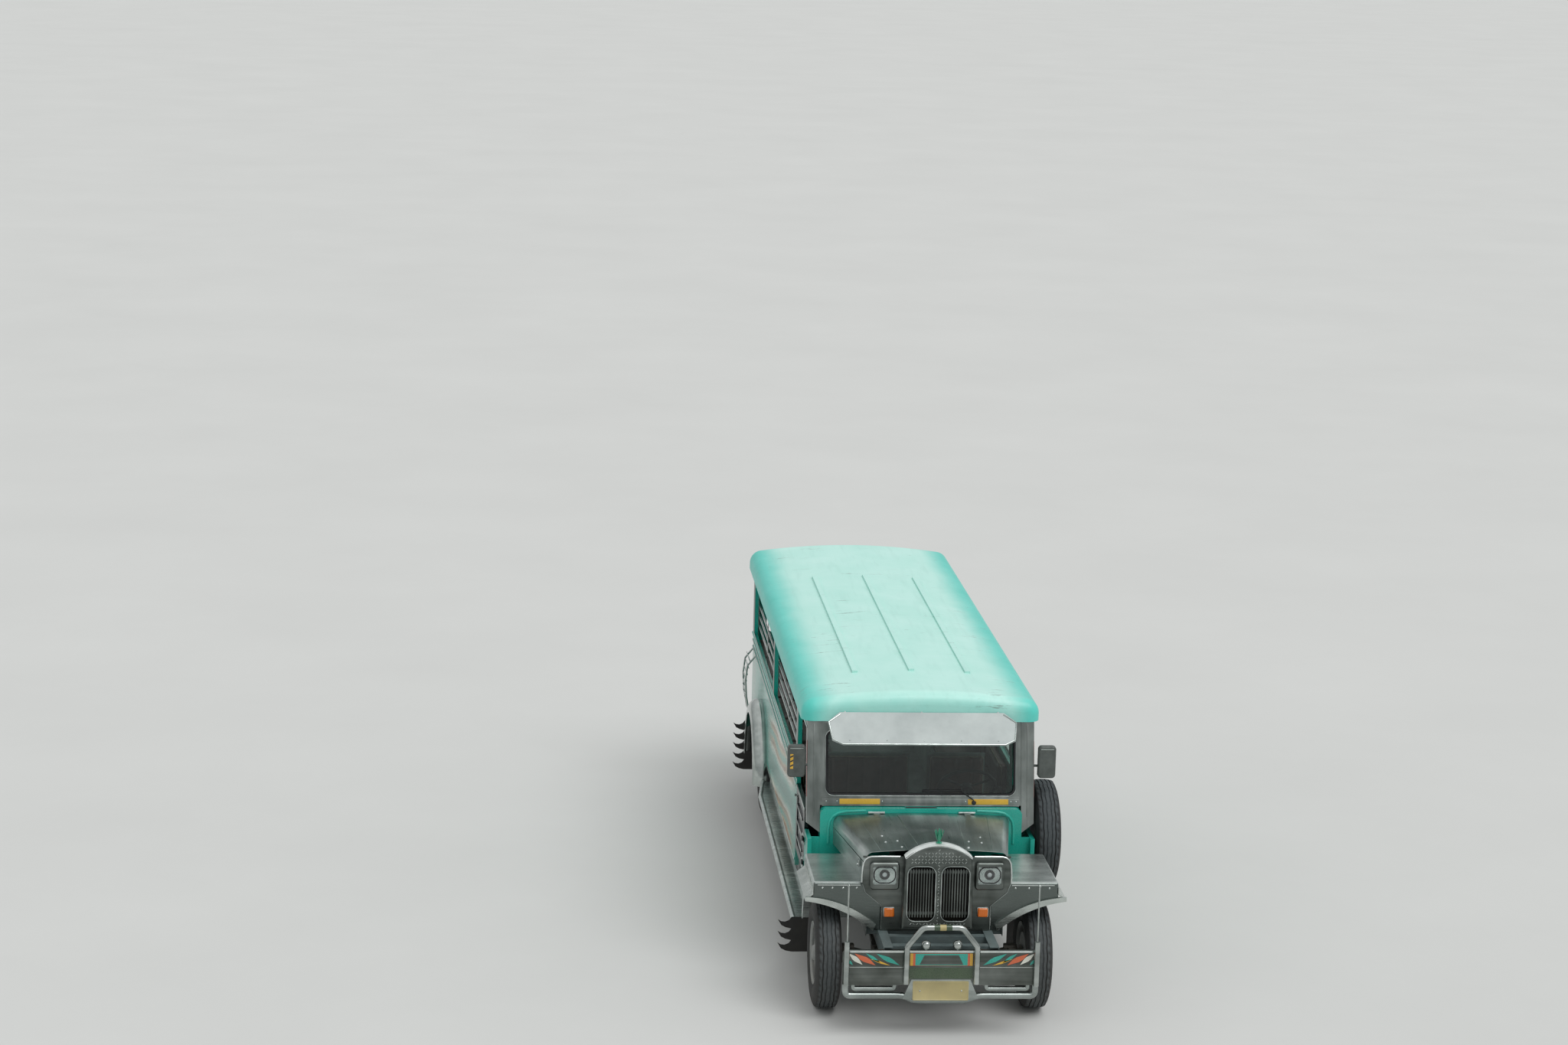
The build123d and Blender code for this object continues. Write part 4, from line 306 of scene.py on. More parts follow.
# %% [markdown]
# ## Enamel on the roof, the cowl and the body
# The panels are sprayed with cellulose enamel. The roof was sprayed twice: turquoise all over, and
# then a pale mint fanned out from the middle, so the turquoise is left as a soft border. Years of
# sun made it chalky on top. The border is worked out from the distance to the roof's edges, not
# painted by hand, so that it follows the roof from every side.

# %% Roof enamel
roof_low, roof_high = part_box("roof")
roof_middle, roof_reach = (roof_low + roof_high) / 2, (roof_high - roof_low) / 2
SIDE_BORDER = (0.30, 0.05)  # where the turquoise starts and where it is full, in metres inside the edge
END_BORDER = (0.06, -0.10)
DRIFT_M = 0.08

material, tree, shader, place = new_finish("roof_sprayed_enamel", roughness=0.4, Coat_Weight=0.15)
axes = add_node(tree, "SeparateXYZ", {"Vector": place})
cloud = add_node(tree, "TexNoise", {"Vector": place, "Scale": per_mm(320), "Detail": 3.0}).outputs["Fac"]
drift = add_node(tree, "Math", {0: cloud, 1: DRIFT_M, 2: -DRIFT_M / 2}, operation="MULTIPLY_ADD").outputs[0]
shares = []
for axis, middle, reach, (start, full) in (("Y", roof_middle.y, roof_reach.y, SIDE_BORDER),
                                           ("X", roof_middle.x, roof_reach.x, END_BORDER)):
    centred = add_node(tree, "Math", {0: axes.outputs[axis], 1: middle}, operation="SUBTRACT").outputs[0]
    away = add_node(tree, "Math", {0: centred}, operation="ABSOLUTE").outputs[0]
    blurred = add_node(tree, "Math", {0: away, 1: drift}, operation="ADD").outputs[0]
    share = add_node(tree, "MapRange", {"Value": blurred, "From Min": reach - start,
                                        "From Max": reach - full}, interpolation_type="SMOOTHSTEP")
    shares.append(share.outputs["Result"])
border = add_node(tree, "Math", {0: shares[0], 1: shares[1]}, operation="MAXIMUM").outputs[0]
chalk = drifting(tree, place, 420, "#b2e5da", "#bfebe2")
fresh = drifting(tree, place, 260, "#4ac6b9", "#5ccfc3")
paint = add_node(tree, "Mix", {"Factor": border, "A": chalk, "B": fresh}, data_type="RGBA").outputs[2]
print("roof enamel border from", SIDE_BORDER[0], "to", SIDE_BORDER[1], "m inside the long edges")

# %% [markdown]
# Branches and ladders left scuffs on the roof, a few thin dark lines, mostly across it, and dirt
# lies along the ribs where rain dries. Both are noise cut at a threshold, stretched in one
# direction, and both also make the paint duller.

# %% Scuffs and rain dirt on the roof
ORANGE_PEEL_MM, PEEL_HEIGHT_MM = 6.0, 0.15
across = add_node(tree, "Mapping", {"Vector": place, "Scale": (1.0, 0.13, 1.0), "Rotation": (0, 0, 0.25)})
scuffs = add_node(tree, "TexNoise", {"Vector": across.outputs["Vector"], "Scale": per_mm(60), "Detail": 6.0,
                                     "Roughness": 0.75})
zones = add_node(tree, "TexNoise", {"Vector": place, "Scale": per_mm(620), "Detail": 2.0})
scuff_line = add_node(tree, "ValToRGB", {"Fac": scuffs.outputs["Fac"]}, [(0.60, 0.0), (0.66, 1.0)])
scuff_zone = add_node(tree, "ValToRGB", {"Fac": zones.outputs["Fac"]}, [(0.53, 0.0), (0.60, 0.75)])
scuff = add_node(tree, "Math", {0: scuff_line.outputs["Color"], 1: scuff_zone.outputs["Color"]},
                 operation="MULTIPLY").outputs[0]
along = add_node(tree, "Mapping", {"Vector": place, "Scale": (0.12, 1.0, 1.0)})
rain = add_node(tree, "TexNoise", {"Vector": along.outputs["Vector"], "Scale": per_mm(55), "Detail": 5.0})
rain_share = add_node(tree, "ValToRGB", {"Fac": rain.outputs["Fac"]}, [(0.52, 0.0), (0.90, 0.25)])
for share, dirt in ((rain_share.outputs["Color"], "#7fb5aa"), (scuff, "#6f7f78")):
    paint = add_node(tree, "Mix", {"Factor": share, "A": paint, "B": linear(dirt)},
                     data_type="RGBA").outputs[2]
tree.links.new(paint, shader.inputs["Base Color"])
rough_and_bumpy(tree, shader, place, ORANGE_PEEL_MM, (0.38, 0.55), 0.12)
finishes["roof_sprayed_enamel"] = material
print("roof enamel:", len(tree.nodes), "nodes")

# %% [markdown]
# The cowl, the rear wall and the window frames are the plain turquoise, glossier because they are
# sheltered. It has the orange peel of a spray gun, lumps a few millimetres across, and road dirt near
# the floor. The signs and stripes are the same kind of enamel in other colours. The table gives each
# its two shades, its dust, its roughness where it is smoothest and dullest, and its clear coat.

# %% Body and sign enamels
GLOSSY, CHALKY, SATIN = (0.22, 0.36), (0.35, 0.50), (0.30, 0.42)
ENAMELS = {
    "turquoise_body_enamel": ("#069c8b", "#12b3a1", 0.2, GLOSSY, 0.5),
    "cream_plate_enamel": ("#a89a63", "#c4b67c", 0.5, CHALKY, 0.2),
    "yellow_strip_enamel": ("#c79a22", "#dcae35", 0.1, GLOSSY, 0.5),
    "marker_orange_enamel": ("#b8502a", "#d2683a", 0.1, GLOSSY, 0.5),
    "flame_white_enamel": ("#c9cbbf", "#dfe1d6", 0.2, GLOSSY, 0.5),
    "sign_green_enamel": ("#1d3a20", "#2b4b2a", 0.2, GLOSSY, 0.5),
    "line_black_enamel": ("#141617", "#1e2021", 0.1, GLOSSY, 0.5),
    "ornament_green_resin": ("#1c7a5c", "#2f9a78", 0.0, GLOSSY, 0.5),
    "teal_line_enamel": ("#0f8f80", "#22a796", 0.1, GLOSSY, 0.5),
    "red_strip_enamel": ("#8e2a1e", "#a93a2b", 0.1, GLOSSY, 0.5),
    "visor_silver_enamel": ("#a4acab", "#bcc4c2", 0.0, SATIN, 0.2),
}
for name, (dark, light, dust, rough, coat) in ENAMELS.items():
    material, tree, shader, place = new_finish(name, Coat_Weight=coat, Coat_Roughness=0.12)
    colour = drifting(tree, place, 300, dark, light)
    tree.links.new(dusty(tree, place, colour, dust, 0.4, 1.5), shader.inputs["Base Color"])
    rough_and_bumpy(tree, shader, place, ORANGE_PEEL_MM, rough, PEEL_HEIGHT_MM)
    finishes[name] = material
print(len(ENAMELS), "enamels")

# %% [markdown]
# ## Glass, lamps and rubber
# The windscreen is one flat sheet of laminated glass. Real glass has an IOR near 1.52 and hardly any
# colour; it looks dark because the cabin behind it is. Here it gets a faint green-grey that darkens the
# cabin seen through it, a painted shade, and a slight roughness for its film of dust. Lamp lenses are
# moulded, with fine ribs that spread the beam, and these ribs are what makes a lamp glitter. A wave
# texture draws them, about twice as wide as real ones so that they show. The table gives two shades,
# the roughness, the height of the ribs in millimetres, and how clear the moulding is.

# %% Glass and lamp finishes
GLASS_IOR = 1.52
LENS_RIB_MM = 17.76
WAVE_STRIPE_MM = 1000 * math.tau / 20  # how far apart a wave texture's stripes are at a scale of 1
CLEAR = {
    # the glass's green-grey tint is a painted shade for the dark cabin behind it
    "laminated_glass": ("#9fb0aa", "#adbeb8", 0.03, 0.0, 1.0),
    "moulded_lamp_glass": ("#eef4f3", "#fcffff", 0.02, 0.12, 1.0),
    "amber_lens_acrylic": ("#f07c12", "#fe8a20", 0.12, 0.30, 0.35),
    "red_lens_acrylic": ("#b3120c", "#c1201a", 0.12, 0.30, 0.35),
}
for name, (dark, light, rough, rib_height_mm, clear) in CLEAR.items():
    material, tree, shader, place = new_finish(name, roughness=rough, Transmission_Weight=clear,
                                               IOR=GLASS_IOR)
    tree.links.new(drifting(tree, place, 180, dark, light), shader.inputs["Base Color"])
    if rib_height_mm:
        ribs = add_node(tree, "TexWave", {"Vector": place, "Scale": WAVE_STRIPE_MM / LENS_RIB_MM},
                        bands_direction="Y", wave_profile="SIN")
        bump = add_node(tree, "Bump", {"Height": ribs.outputs["Fac"], "Strength": 0.8,
                                       "Distance": rib_height_mm / 1000})
        tree.links.new(bump.outputs["Normal"], shader.inputs["Normal"])
    finishes[name] = material
print(len(CLEAR), "clear finishes")

# %% [markdown]
# Mirror glass is silvered behind, so it is a metal with almost no roughness. A bulb's glass is frosted
# and bright. Both need only a slight drift of their shade.

# %% Mirror and bulb finishes
PLAIN = (
    ("silvered_mirror_glass", 60, "#c5cccb", "#dde2e1", {"metallic": 1.0, "roughness": 0.03}),
    ("lit_bulb_glass", 8, "#dfe6e8", "#f4f7f7", {"roughness": 0.15, "Coat_Weight": 1.0}),
)
for name, patch_mm, dark, light, look in PLAIN:
    material, tree, shader, place = new_finish(name, **look)
    tree.links.new(drifting(tree, place, patch_mm, dark, light), shader.inputs["Base Color"])
    finishes[name] = material
print("mirror and bulb ready")

# %% [markdown]
# The seats are covered in vinyl: cloth coated with soft plastic, with a printed leather grain of small
# pebbles about two millimetres across, drawn at four so that it shows. The covers crease where people
# sit, so a larger slow noise bends the surface too. The piping is the same stuff, paler and drawn tight.

# %% Seat vinyls
GRAIN_DRAWN_MM, GRAIN_HEIGHT_M, CREASE_APART_MM = 4.0, 0.0003, 70
VINYLS = (("sewn_seat_vinyl", "#3a2420", "#4e332c", 1.6), ("piping_vinyl", "#8a7d68", "#a3967e", 0.2))
for name, dark, light, crease_mm in VINYLS:
    material, tree, shader, place = new_finish(name, roughness=0.45, Coat_Weight=0.1)
    tree.links.new(drifting(tree, place, 90, dark, light), shader.inputs["Base Color"])
    pebbles = add_node(tree, "TexVoronoi", {"Vector": place, "Scale": per_mm(GRAIN_DRAWN_MM)},
                       feature="SMOOTH_F1").outputs["Distance"]
    creases = add_node(tree, "TexNoise", {"Vector": place, "Scale": per_mm(CREASE_APART_MM), "Detail": 3.0})
    slow = add_node(tree, "Bump", {"Height": creases.outputs["Fac"], "Strength": 0.6,
                                   "Distance": crease_mm / 1000 * 4})
    fine = add_node(tree, "Bump", {"Height": pebbles, "Strength": 0.35, "Distance": GRAIN_HEIGHT_M,
                                   "Normal": slow.outputs["Normal"]})
    tree.links.new(fine.outputs["Normal"], shader.inputs["Normal"])
    gloss = add_node(tree, "MapRange", {"Value": pebbles, "From Min": 0.0, "From Max": 0.8,
                                        "To Min": 0.36, "To Max": 0.55})
    tree.links.new(gloss.outputs["Result"], shader.inputs["Roughness"])
    finishes[name] = material
print("seat vinyl grain drawn at", GRAIN_DRAWN_MM, "mm")

# %% [markdown]
# Tyre rubber is black filled with soot, so it is never pure black: dust and light make it a dark
# blue-grey, and the tread that meets the road is scuffed paler than the shoulders. The scuffing is
# placed by the distance from the axle, which the material can't know for five wheels at once, so
# each tyre carries its own attribute, called tread, from 0 on the side wall to 1 on the tread.

# %% Tyre rubber
material, tree, shader, place = new_finish("scuffed_tyre_rubber", roughness=0.75)
worn = add_node(tree, "Attribute", attribute_name="tread").outputs["Fac"]
wall = drifting(tree, place, 60, "#15181a", "#1e2224")
tread_colour = drifting(tree, place, 25, "#33393c", "#464d4f")
colour = add_node(tree, "Mix", {"Factor": worn, "A": wall, "B": tread_colour}, data_type="RGBA").outputs[2]
tree.links.new(dusty(tree, place, colour, 0.15, 0.1, 1.3), shader.inputs["Base Color"])
rough_and_bumpy(tree, shader, place, 1.5, (0.62, 0.85), 0.2)
finishes["scuffed_tyre_rubber"] = material
print("tyre rubber ready")

# %% [markdown]
# ## Painted sides
# Jeepney sides carry airbrushed pictures. A picture belongs to its painter, so this vehicle gets a
# plain design of its own in the same colours: bands of cloud that blow backwards in white, sea
# green and brown over the turquoise. It is a wave texture, bent by noise, with a ramp of colours,
# and it fades out towards the ends of the panel as airbrushed paint does.

# %% Airbrushed side enamel
side_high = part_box("side_panels")[1]
CLOUD_BAND_MM = 828.6
FADES = (("X", side_high.x - 0.70, side_high.x - 1.25),  # behind the door
         ("X", -1.60, -0.90),  # before the rear arch
         ("Z", 1.25, 1.14))  # below the window trim
CLOUD_COLOURS = [(0.06, "#1c8a7d"), (0.30, "#5fb5a6"), (0.50, "#b9cfc2"), (0.64, "#dfe2d4"),
                 (0.76, "#a98a62"), (0.84, "#8a5f3c"), (0.93, "#c2a877"), (0.99, "#4fa595")]
material, tree, shader, place = new_finish("airbrushed_side_enamel", Coat_Weight=0.5, Coat_Roughness=0.1)
base = drifting(tree, place, 300, "#0b8f80", "#23a898")
slanted = add_node(tree, "Mapping", {"Vector": place, "Rotation": (0, 0.35, 0), "Scale": (0.55, 1.0, 1.9)})
bend = add_node(tree, "TexNoise", {"Vector": slanted.outputs["Vector"], "Scale": per_mm(650), "Detail": 5.0})
bent = add_node(tree, "Mix", {"Factor": 0.35, "A": slanted.outputs["Vector"], "B": bend.outputs["Color"]},
                data_type="RGBA", blend_type="ADD").outputs[2]
clouds = add_node(tree, "TexWave", {"Vector": bent, "Scale": WAVE_STRIPE_MM / CLOUD_BAND_MM,
                                    "Distortion": 3.0, "Detail": 3.0}, bands_direction="Z")
picture = add_node(tree, "ValToRGB", {"Fac": clouds.outputs["Fac"]}, CLOUD_COLOURS).outputs["Color"]
axes = add_node(tree, "SeparateXYZ", {"Vector": place})
shares = [add_node(tree, "MapRange", {"Value": axes.outputs[axis], "From Min": start, "From Max": end},
                   interpolation_type="SMOOTHSTEP").outputs["Result"] for axis, start, end in FADES]
area = shares[0]
for share in shares[1:]:
    area = add_node(tree, "Math", {0: area, 1: share}, operation="MULTIPLY").outputs[0]
paint = add_node(tree, "Mix", {"Factor": area, "A": base, "B": picture}, data_type="RGBA").outputs[2]
tree.links.new(dusty(tree, place, paint, 0.5, 0.5, 1.3), shader.inputs["Base Color"])
rough_and_bumpy(tree, shader, place, ORANGE_PEEL_MM, (0.20, 0.34), PEEL_HEIGHT_MM)
finishes["airbrushed_side_enamel"] = material
print("side enamel:", len(tree.nodes), "nodes")

# %% [markdown]
# ## Finishes for the CAD nodes
# Each node of the frame keeps its mesh and gets the finish of the real part. The table groups the
# nodes by finish, so a missing node shows up at once.

# %% Put the finishes on the nodes
WHEELS = ("front_left", "front_right", "rear_left", "rear_right")
NODE_FINISH = {
    "roof_sprayed_enamel": ["roof"],
    "turquoise_body_enamel": ["cowl", "rear_wall", "window_frames"],
    "airbrushed_side_enamel": ["side_panels"],
    "bonnet_stainless_sheet": ["bonnet", "bonnet_sides", "hinges"],
    "wing_stainless_sheet": ["front_wings", "running_boards"],
    "nose_stainless_painted_reflection": ["nose_panel", "grille_shell", "headlamp_bezels", "bumper"],
    "post_stainless_sheet": ["windscreen_frame", "door_posts"],
    "trim_polished_stainless": ["rear_arch_covers"],
    "slat_stainless_sheet": ["grille_slats"],
    "visor_silver_enamel": ["visor_board"],
    "hammered_stainless": ["wing_lips"],
    "tube_polished_stainless": ["bumper_tubes", "handrails", "window_bars"],
    "dark_polished_door": ["half_door_right"],
    "laminated_glass": ["windscreen_glass"],
    "moulded_lamp_glass": ["lamps"],
    "mirror_back_enamel": ["mirrors"],
    "rail_grey_enamel": ["chassis_frame"],
    "guard_tube_stainless": ["number_plate"],
    "chassis_black_enamel": ["front_axle", "rear_axle", "knuckle_left", "knuckle_right", "leaf_springs",
                             "propeller_shaft", "fuel_tank", "tie_rod"],
    "rough_cast_iron": ["engine_block", "radiator"],
    "heat_stained_steel": ["exhaust_pipe"],
    "rolled_floor_plate": ["floor_pan", "rear_step"],
    "moulded_black_rubber": ["mud_flaps"],
    "moulded_black_plastic": ["dashboard", "steering_wheel", "steering_column"],
    "door_lining_board": ["seat_frames", "bench_cushions", "front_seat_cushions"],
    "silver_wheel_enamel": ["spare_rim", *("rim_" + wheel for wheel in WHEELS)],
    "scuffed_tyre_rubber": ["spare_tyre", *("tyre_" + wheel for wheel in WHEELS)],
}
for finish, names in NODE_FINISH.items():
    for name in names:
        nodes[name].data.materials.clear()
        nodes[name].data.materials.append(finishes[finish])
print("without a finish:", sorted(set(nodes) - {name for names in NODE_FINISH.values() for name in names}))

# %% [markdown]
# ## How the fittings are modelled
# The fittings share a few helpers. A bar is a block with broken edges. A tube is bridged from rings
# along a line. A layered form is bridged from outlines at rising heights, which gives plates, domed
# lenses and bowls, and a turned form is spun from a profile, like work on a lathe. Each is built
# straight in the vehicle's frame, so that its object sits at the origin, as the CAD nodes do.

# %% Places, bars and tubes


def placed(origin, across, upward):
    """The matrix that lays local X along across and local Y along upward, with local Z out of the face."""
    across, upward = Vector(across).normalized(), Vector(upward).normalized()
    turn = Matrix((across, upward, across.cross(upward))).transposed().to_4x4()
    return Matrix.Translation(origin) @ turn


FRONT_FACE = ((0, 1, 0), (0, 0, 1))
REAR_FACE = ((0, -1, 0), (0, 0, 1))
TOP_FACE = ((1, 0, 0), (0, 1, 0))
SIDE_FACE = {-1: ((1, 0, 0), (0, 0, 1)), 1: ((-1, 0, 0), (0, 0, 1))}


def bar(shape, first, last, soften_mm=1.0, place=Matrix()):
    """A bar between two opposite corners, with its edges rounded."""
    low, high = (Vector(map(pick, first, last)) for pick in (min, max))
    box = place @ Matrix.Translation((low + high) / 2) @ Matrix.Diagonal((*(high - low), 1.0))
    made = bmesh.ops.create_cube(shape, size=1.0, matrix=box)
    edges = {edge for corner in made["verts"] for edge in corner.link_edges}
    bmesh.ops.bevel(shape, geom=list(edges), offset=soften_mm / 1000, affect="EDGES", segments=2,
                    profile=0.5, material=-1)


def tube(shape, points, radius, sides=12, closed=False):
    """A round tube that follows a line of points."""
    count = len(points)
    rings = []
    for i, point in enumerate(points):
        last = points[i - 1] if i or closed else point
        following = points[(i + 1) % count] if i + 1 < count or closed else point
        turn = (Vector(following) - Vector(last)).to_track_quat("Z", "Y").to_matrix().to_4x4()
        ends = not closed and i in (0, count - 1)
        ring = bmesh.ops.create_circle(shape, cap_ends=ends, segments=sides, radius=radius,
                                       matrix=Matrix.Translation(point) @ turn)["verts"]
        rings.append({edge for corner in ring for edge in corner.link_edges})
    for i in range(count if closed else count - 1):
        bmesh.ops.bridge_loops(shape, edges=list(rings[i] | rings[(i + 1) % count]))


print("bars and tubes ready")

# %% [markdown]
# A flat part is an outline at two heights. Most outlines here are rectangles with rounded corners, so
# such a form is written as a list of sections, and a beading is a tube round one such rectangle.

# %% Layered, turned and riveted forms


def layered(shape, layers, place=Matrix(), caps=(True, True)):
    """A form bridged from outlines at rising heights, closed at its first and last if caps says so."""
    rings = []
    for outline, height in layers:
        corners = [shape.verts.new(place @ Vector((x, y, height))) for x, y in outline]
        rings.append([shape.edges.new(pair) for pair in zip(corners, corners[1:] + corners[:1])])
    for lower, upper in zip(rings, rings[1:]):
        bmesh.ops.bridge_loops(shape, edges=lower + upper)
    for wanted, ring in zip(caps, (rings[0], rings[-1])):
        if wanted:
            bmesh.ops.contextual_create(shape, geom=ring)


def turned(shape, profile, place=Matrix(), steps=32):
    """A profile of radius and height pairs, turned about the local Z axis."""
    before = set(shape.verts)
    line = [shape.verts.new((radius, 0, height)) for radius, height in profile]
    edges = [shape.edges.new(pair) for pair in zip(line, line[1:])]
    bmesh.ops.spin(shape, geom=line + edges, cent=(0, 0, 0), axis=(0, 0, 1), angle=math.tau, steps=steps,
                   use_merge=True)
    made = [corner for corner in shape.verts if corner not in before]
    bmesh.ops.transform(shape, matrix=place, verts=made)


def rounded_outline(half_x, half_y, radius, centre=(0, 0), steps=5):
    """Points round a rectangle with rounded corners."""
    points = []
    for turn, (side_x, side_y) in enumerate(((1, 1), (-1, 1), (-1, -1), (1, -1))):
        for step in range(steps + 1):
            angle = math.radians(90 * (turn + step / steps))
            points.append((centre[0] + side_x * (half_x - radius) + radius * math.cos(angle),
                           centre[1] + side_y * (half_y - radius) + radius * math.sin(angle)))
    return points


def plate(shape, outline, thickness_mm, place=Matrix()):
    """A flat plate cut from an outline, standing out of its face by its thickness."""
    layered(shape, [(outline, 0.0), (outline, thickness_mm / 1000)], place)


def rounded_form(shape, sections, place=Matrix(), caps=(True, True)):
    """A layered form of rounded rectangles: half width, half height, corner and height of each."""
    layered(shape, [(rounded_outline(*section[:3]), section[3]) for section in sections], place, caps)


def beading(shape, place, rectangle, out, radius, sides=8, centre=(0, 0), steps=5):
    """A tube round a rounded rectangle, which is its half width, half height and corner."""
    loop = rounded_outline(*rectangle, centre, steps)
    tube(shape, [place @ Vector((x, y, out)) for x, y in loop], radius, sides, closed=True)


def rivets(shape, points, direction, radius_mm, steps=10):
    """A low round head at each point, facing one way."""
    r = radius_mm / 1000
    turn = Vector(direction).to_track_quat("Z", "Y").to_matrix().to_4x4()
    for point in points:
        profile = [(0, -0.1 * r), (r, -0.1 * r), (0.94 * r, 0.25 * r), (0.6 * r, 0.55 * r), (0, 0.68 * r)]
        turned(shape, profile, Matrix.Translation(point) @ turn, steps)


print("layered and turned forms ready")

# %% [markdown]
# A finished shape becomes an object in one place. Its doubles are merged and its faces turned outwards,
# it is shaded smooth but for edges sharper than 35 degrees, and it is told which body it rides on.

# %% Keep a piece, and measure the frame
SHARP_DEGREES = 35


def keep(shape, name, finish, body="vehicle"):
    """Turn a finished shape into a piece that rides on a body and wears a finish."""
    bmesh.ops.remove_doubles(shape, verts=shape.verts, dist=0.00002)
    bmesh.ops.recalc_face_normals(shape, faces=shape.faces)
    mesh = bpy.data.meshes.new(name)
    shape.to_mesh(mesh)
    shape.free()
    mesh.shade_smooth()
    mesh.set_sharp_from_angle(angle=math.radians(SHARP_DEGREES))
    mesh.materials.append(finishes[finish])
    piece = bpy.data.objects.new(name, mesh)
    bpy.context.scene.collection.objects.link(piece)
    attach(piece, body)
    return piece


front_tyre_low, front_tyre_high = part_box("tyre_front_left")
rear_tyre_low, rear_tyre_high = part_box("tyre_rear_left")
FRONT_X = (front_tyre_low.x + front_tyre_high.x) / 2
REAR_X = (rear_tyre_low.x + rear_tyre_high.x) / 2
BODY_Y = -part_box("cowl")[0].y
WALL_REAR_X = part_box("window_frames")[0].x
NOSE_FACE_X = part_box("nose_panel")[1].x
print("front axle at", round(FRONT_X, 3), "rear axle at", round(REAR_X, 3), "m")

# %% [markdown]
# ## Tyres
# A bus tyre has a few broad ribs round it, divided by zigzag grooves that let water out, and notches
# across its shoulders. The CAD tyre is a plain rounded form. Its profile is drawn again with the
# grooves in it and spun once round; then the tread's points are moved sideways in a zigzag and
# every third step of the shoulder is sunk. The belly of the side wall is an arc through three points.

# %% Tyres
TYRE_STEPS = 120
ZIGZAGS = 20
ZIGZAG_M, NOTCH_M = 0.0030, 0.0045
TREAD_HALF, TREAD_R = 0.055, 0.377  # points nearer the middle and further out than these zigzag
NOTCH_Y, NOTCH_R = 0.060, 0.365  # points further from the middle and further out than these are notched
SCUFFED_R = 0.3805
TREAD_MM = ((0, 389.0), (12, 388.8), (14, 381.5), (19, 381.3), (21, 388.2), (39, 386.2), (41, 379.0),
            (47, 378.4), (49, 384.7), (62, 382.2))
SHOULDER, BELLY, BEAD = (0.073, 0.379), (0.0948, 0.300), (0.062, 0.2124)


def arc_through(start, middle, end, steps):
    """Points on the arc through three points, from start to end."""
    a, b, c = (complex(*point) for point in (start, middle, end))
    turn = (c - a) / (b - a)
    centre = a + (b - a) * (turn - abs(turn) ** 2) / (2j * turn.imag)
    part, whole = (cmath.phase((point - centre) / (a - centre)) for point in (b, c))
    if part * whole < 0:
        whole += math.copysign(math.tau, part)
    points = [centre + (a - centre) * cmath.exp(1j * whole * i / steps) for i in range(steps + 1)]
    return [(point.real, point.imag) for point in points]


half_profile = [(y / 1000, r / 1000) for y, r in TREAD_MM] + arc_through(SHOULDER, BELLY, BEAD, 10)
tyre_profile = [(r, -y) for y, r in reversed(half_profile)] + [(r, y) for y, r in half_profile[1:]]
tyre_profile.append(tyre_profile[0])
TYRES = [("tyre_" + wheel, "ribbed_tyre_" + wheel, "wheel_" + wheel) for wheel in WHEELS]
TYRES.append(("spare_tyre", "ribbed_tyre_spare", "vehicle"))
for node, name, body in TYRES:
    low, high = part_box(node)
    axle = (low + high) / 2
    shape = bmesh.new()
    turned(shape, tyre_profile, steps=TYRE_STEPS)
    bmesh.ops.remove_doubles(shape, verts=shape.verts, dist=0.00001)
    for corner in shape.verts:
        radius = math.hypot(corner.co.x, corner.co.y)
        step = round(math.atan2(corner.co.y, corner.co.x) / math.tau * TYRE_STEPS)
        if radius > TREAD_R and abs(corner.co.z) < TREAD_HALF:
            turn = step / TYRE_STEPS * math.tau * ZIGZAGS
            corner.co.z += ZIGZAG_M * 2 / math.pi * math.asin(math.sin(turn))
        elif step % 3 == 0 and abs(corner.co.z) > NOTCH_Y and radius > NOTCH_R:
            corner.co.xy *= 1 - NOTCH_M / radius
    bmesh.ops.transform(shape, matrix=placed(axle, (0, 0, 1), (1, 0, 0)), verts=shape.verts)
    tyre = keep(shape, name, "scuffed_tyre_rubber", body)
    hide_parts(node)
    worn = tyre.data.attributes.new("tread", "FLOAT", "POINT")
    for corner, value in zip(tyre.data.vertices, worn.data):
        value.value = 1.0 if math.hypot(corner.co.x - axle.x, corner.co.z - axle.z) > SCUFFED_R else 0.0
print(len(TYRES), "tyres,", len(tyre.data.polygons), "faces each")

# %% [markdown]
# ## Windscreen
# The glass is held by a black rubber that is pushed over the edge of the opening, and a bright cord is
# pressed into the rubber. Both are tubes round the opening's outline. The windscreen leans back, so
# its fittings are placed on a plane of its own, which starts at the foot of the frame.

# %% Windscreen rubber and cord
LEAN = math.radians(12.2)
GLASS_HALF, GLASS_FOOT, GLASS_HEAD, GLASS_CORNER = 0.684, 0.092, 0.545, 0.045
screen_foot = Vector((FRONT_X - 0.712, 0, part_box("cowl")[1].z))
screen = placed(screen_foot, (0, 1, 0), (-math.sin(LEAN), 0, math.cos(LEAN)))
glass_middle = (0, (GLASS_FOOT + GLASS_HEAD) / 2)
SEALS = (  # name, finish, slot, then how far outside the glass, how far out of its face, and the radius
    ("windscreen_rubber", "moulded_black_rubber", "rubber", 0.004, 0.001, 0.010),
    ("windscreen_cord", "trim_polished_stainless", "bright_steel", 0.013, 0.004, 0.0032),
)
for name, finish, slot, grow, out, radius in SEALS:
    shape = bmesh.new()
    rectangle = (GLASS_HALF + grow, (GLASS_HEAD - GLASS_FOOT) / 2 + grow, GLASS_CORNER + grow)
    beading(shape, screen, rectangle, out, radius, sides=10, centre=glass_middle)
    keep(shape, name, finish)
print("windscreen plane starts at", [round(value, 3) for value in screen_foot])

# %% [markdown]
# The wiper rests along the foot of the glass. Three flat rails cover the foot of the frame and one its
# head. Two blank yellow plates, which name a route on the real one, stand on the widest rail, and small
# domed screws hold it.

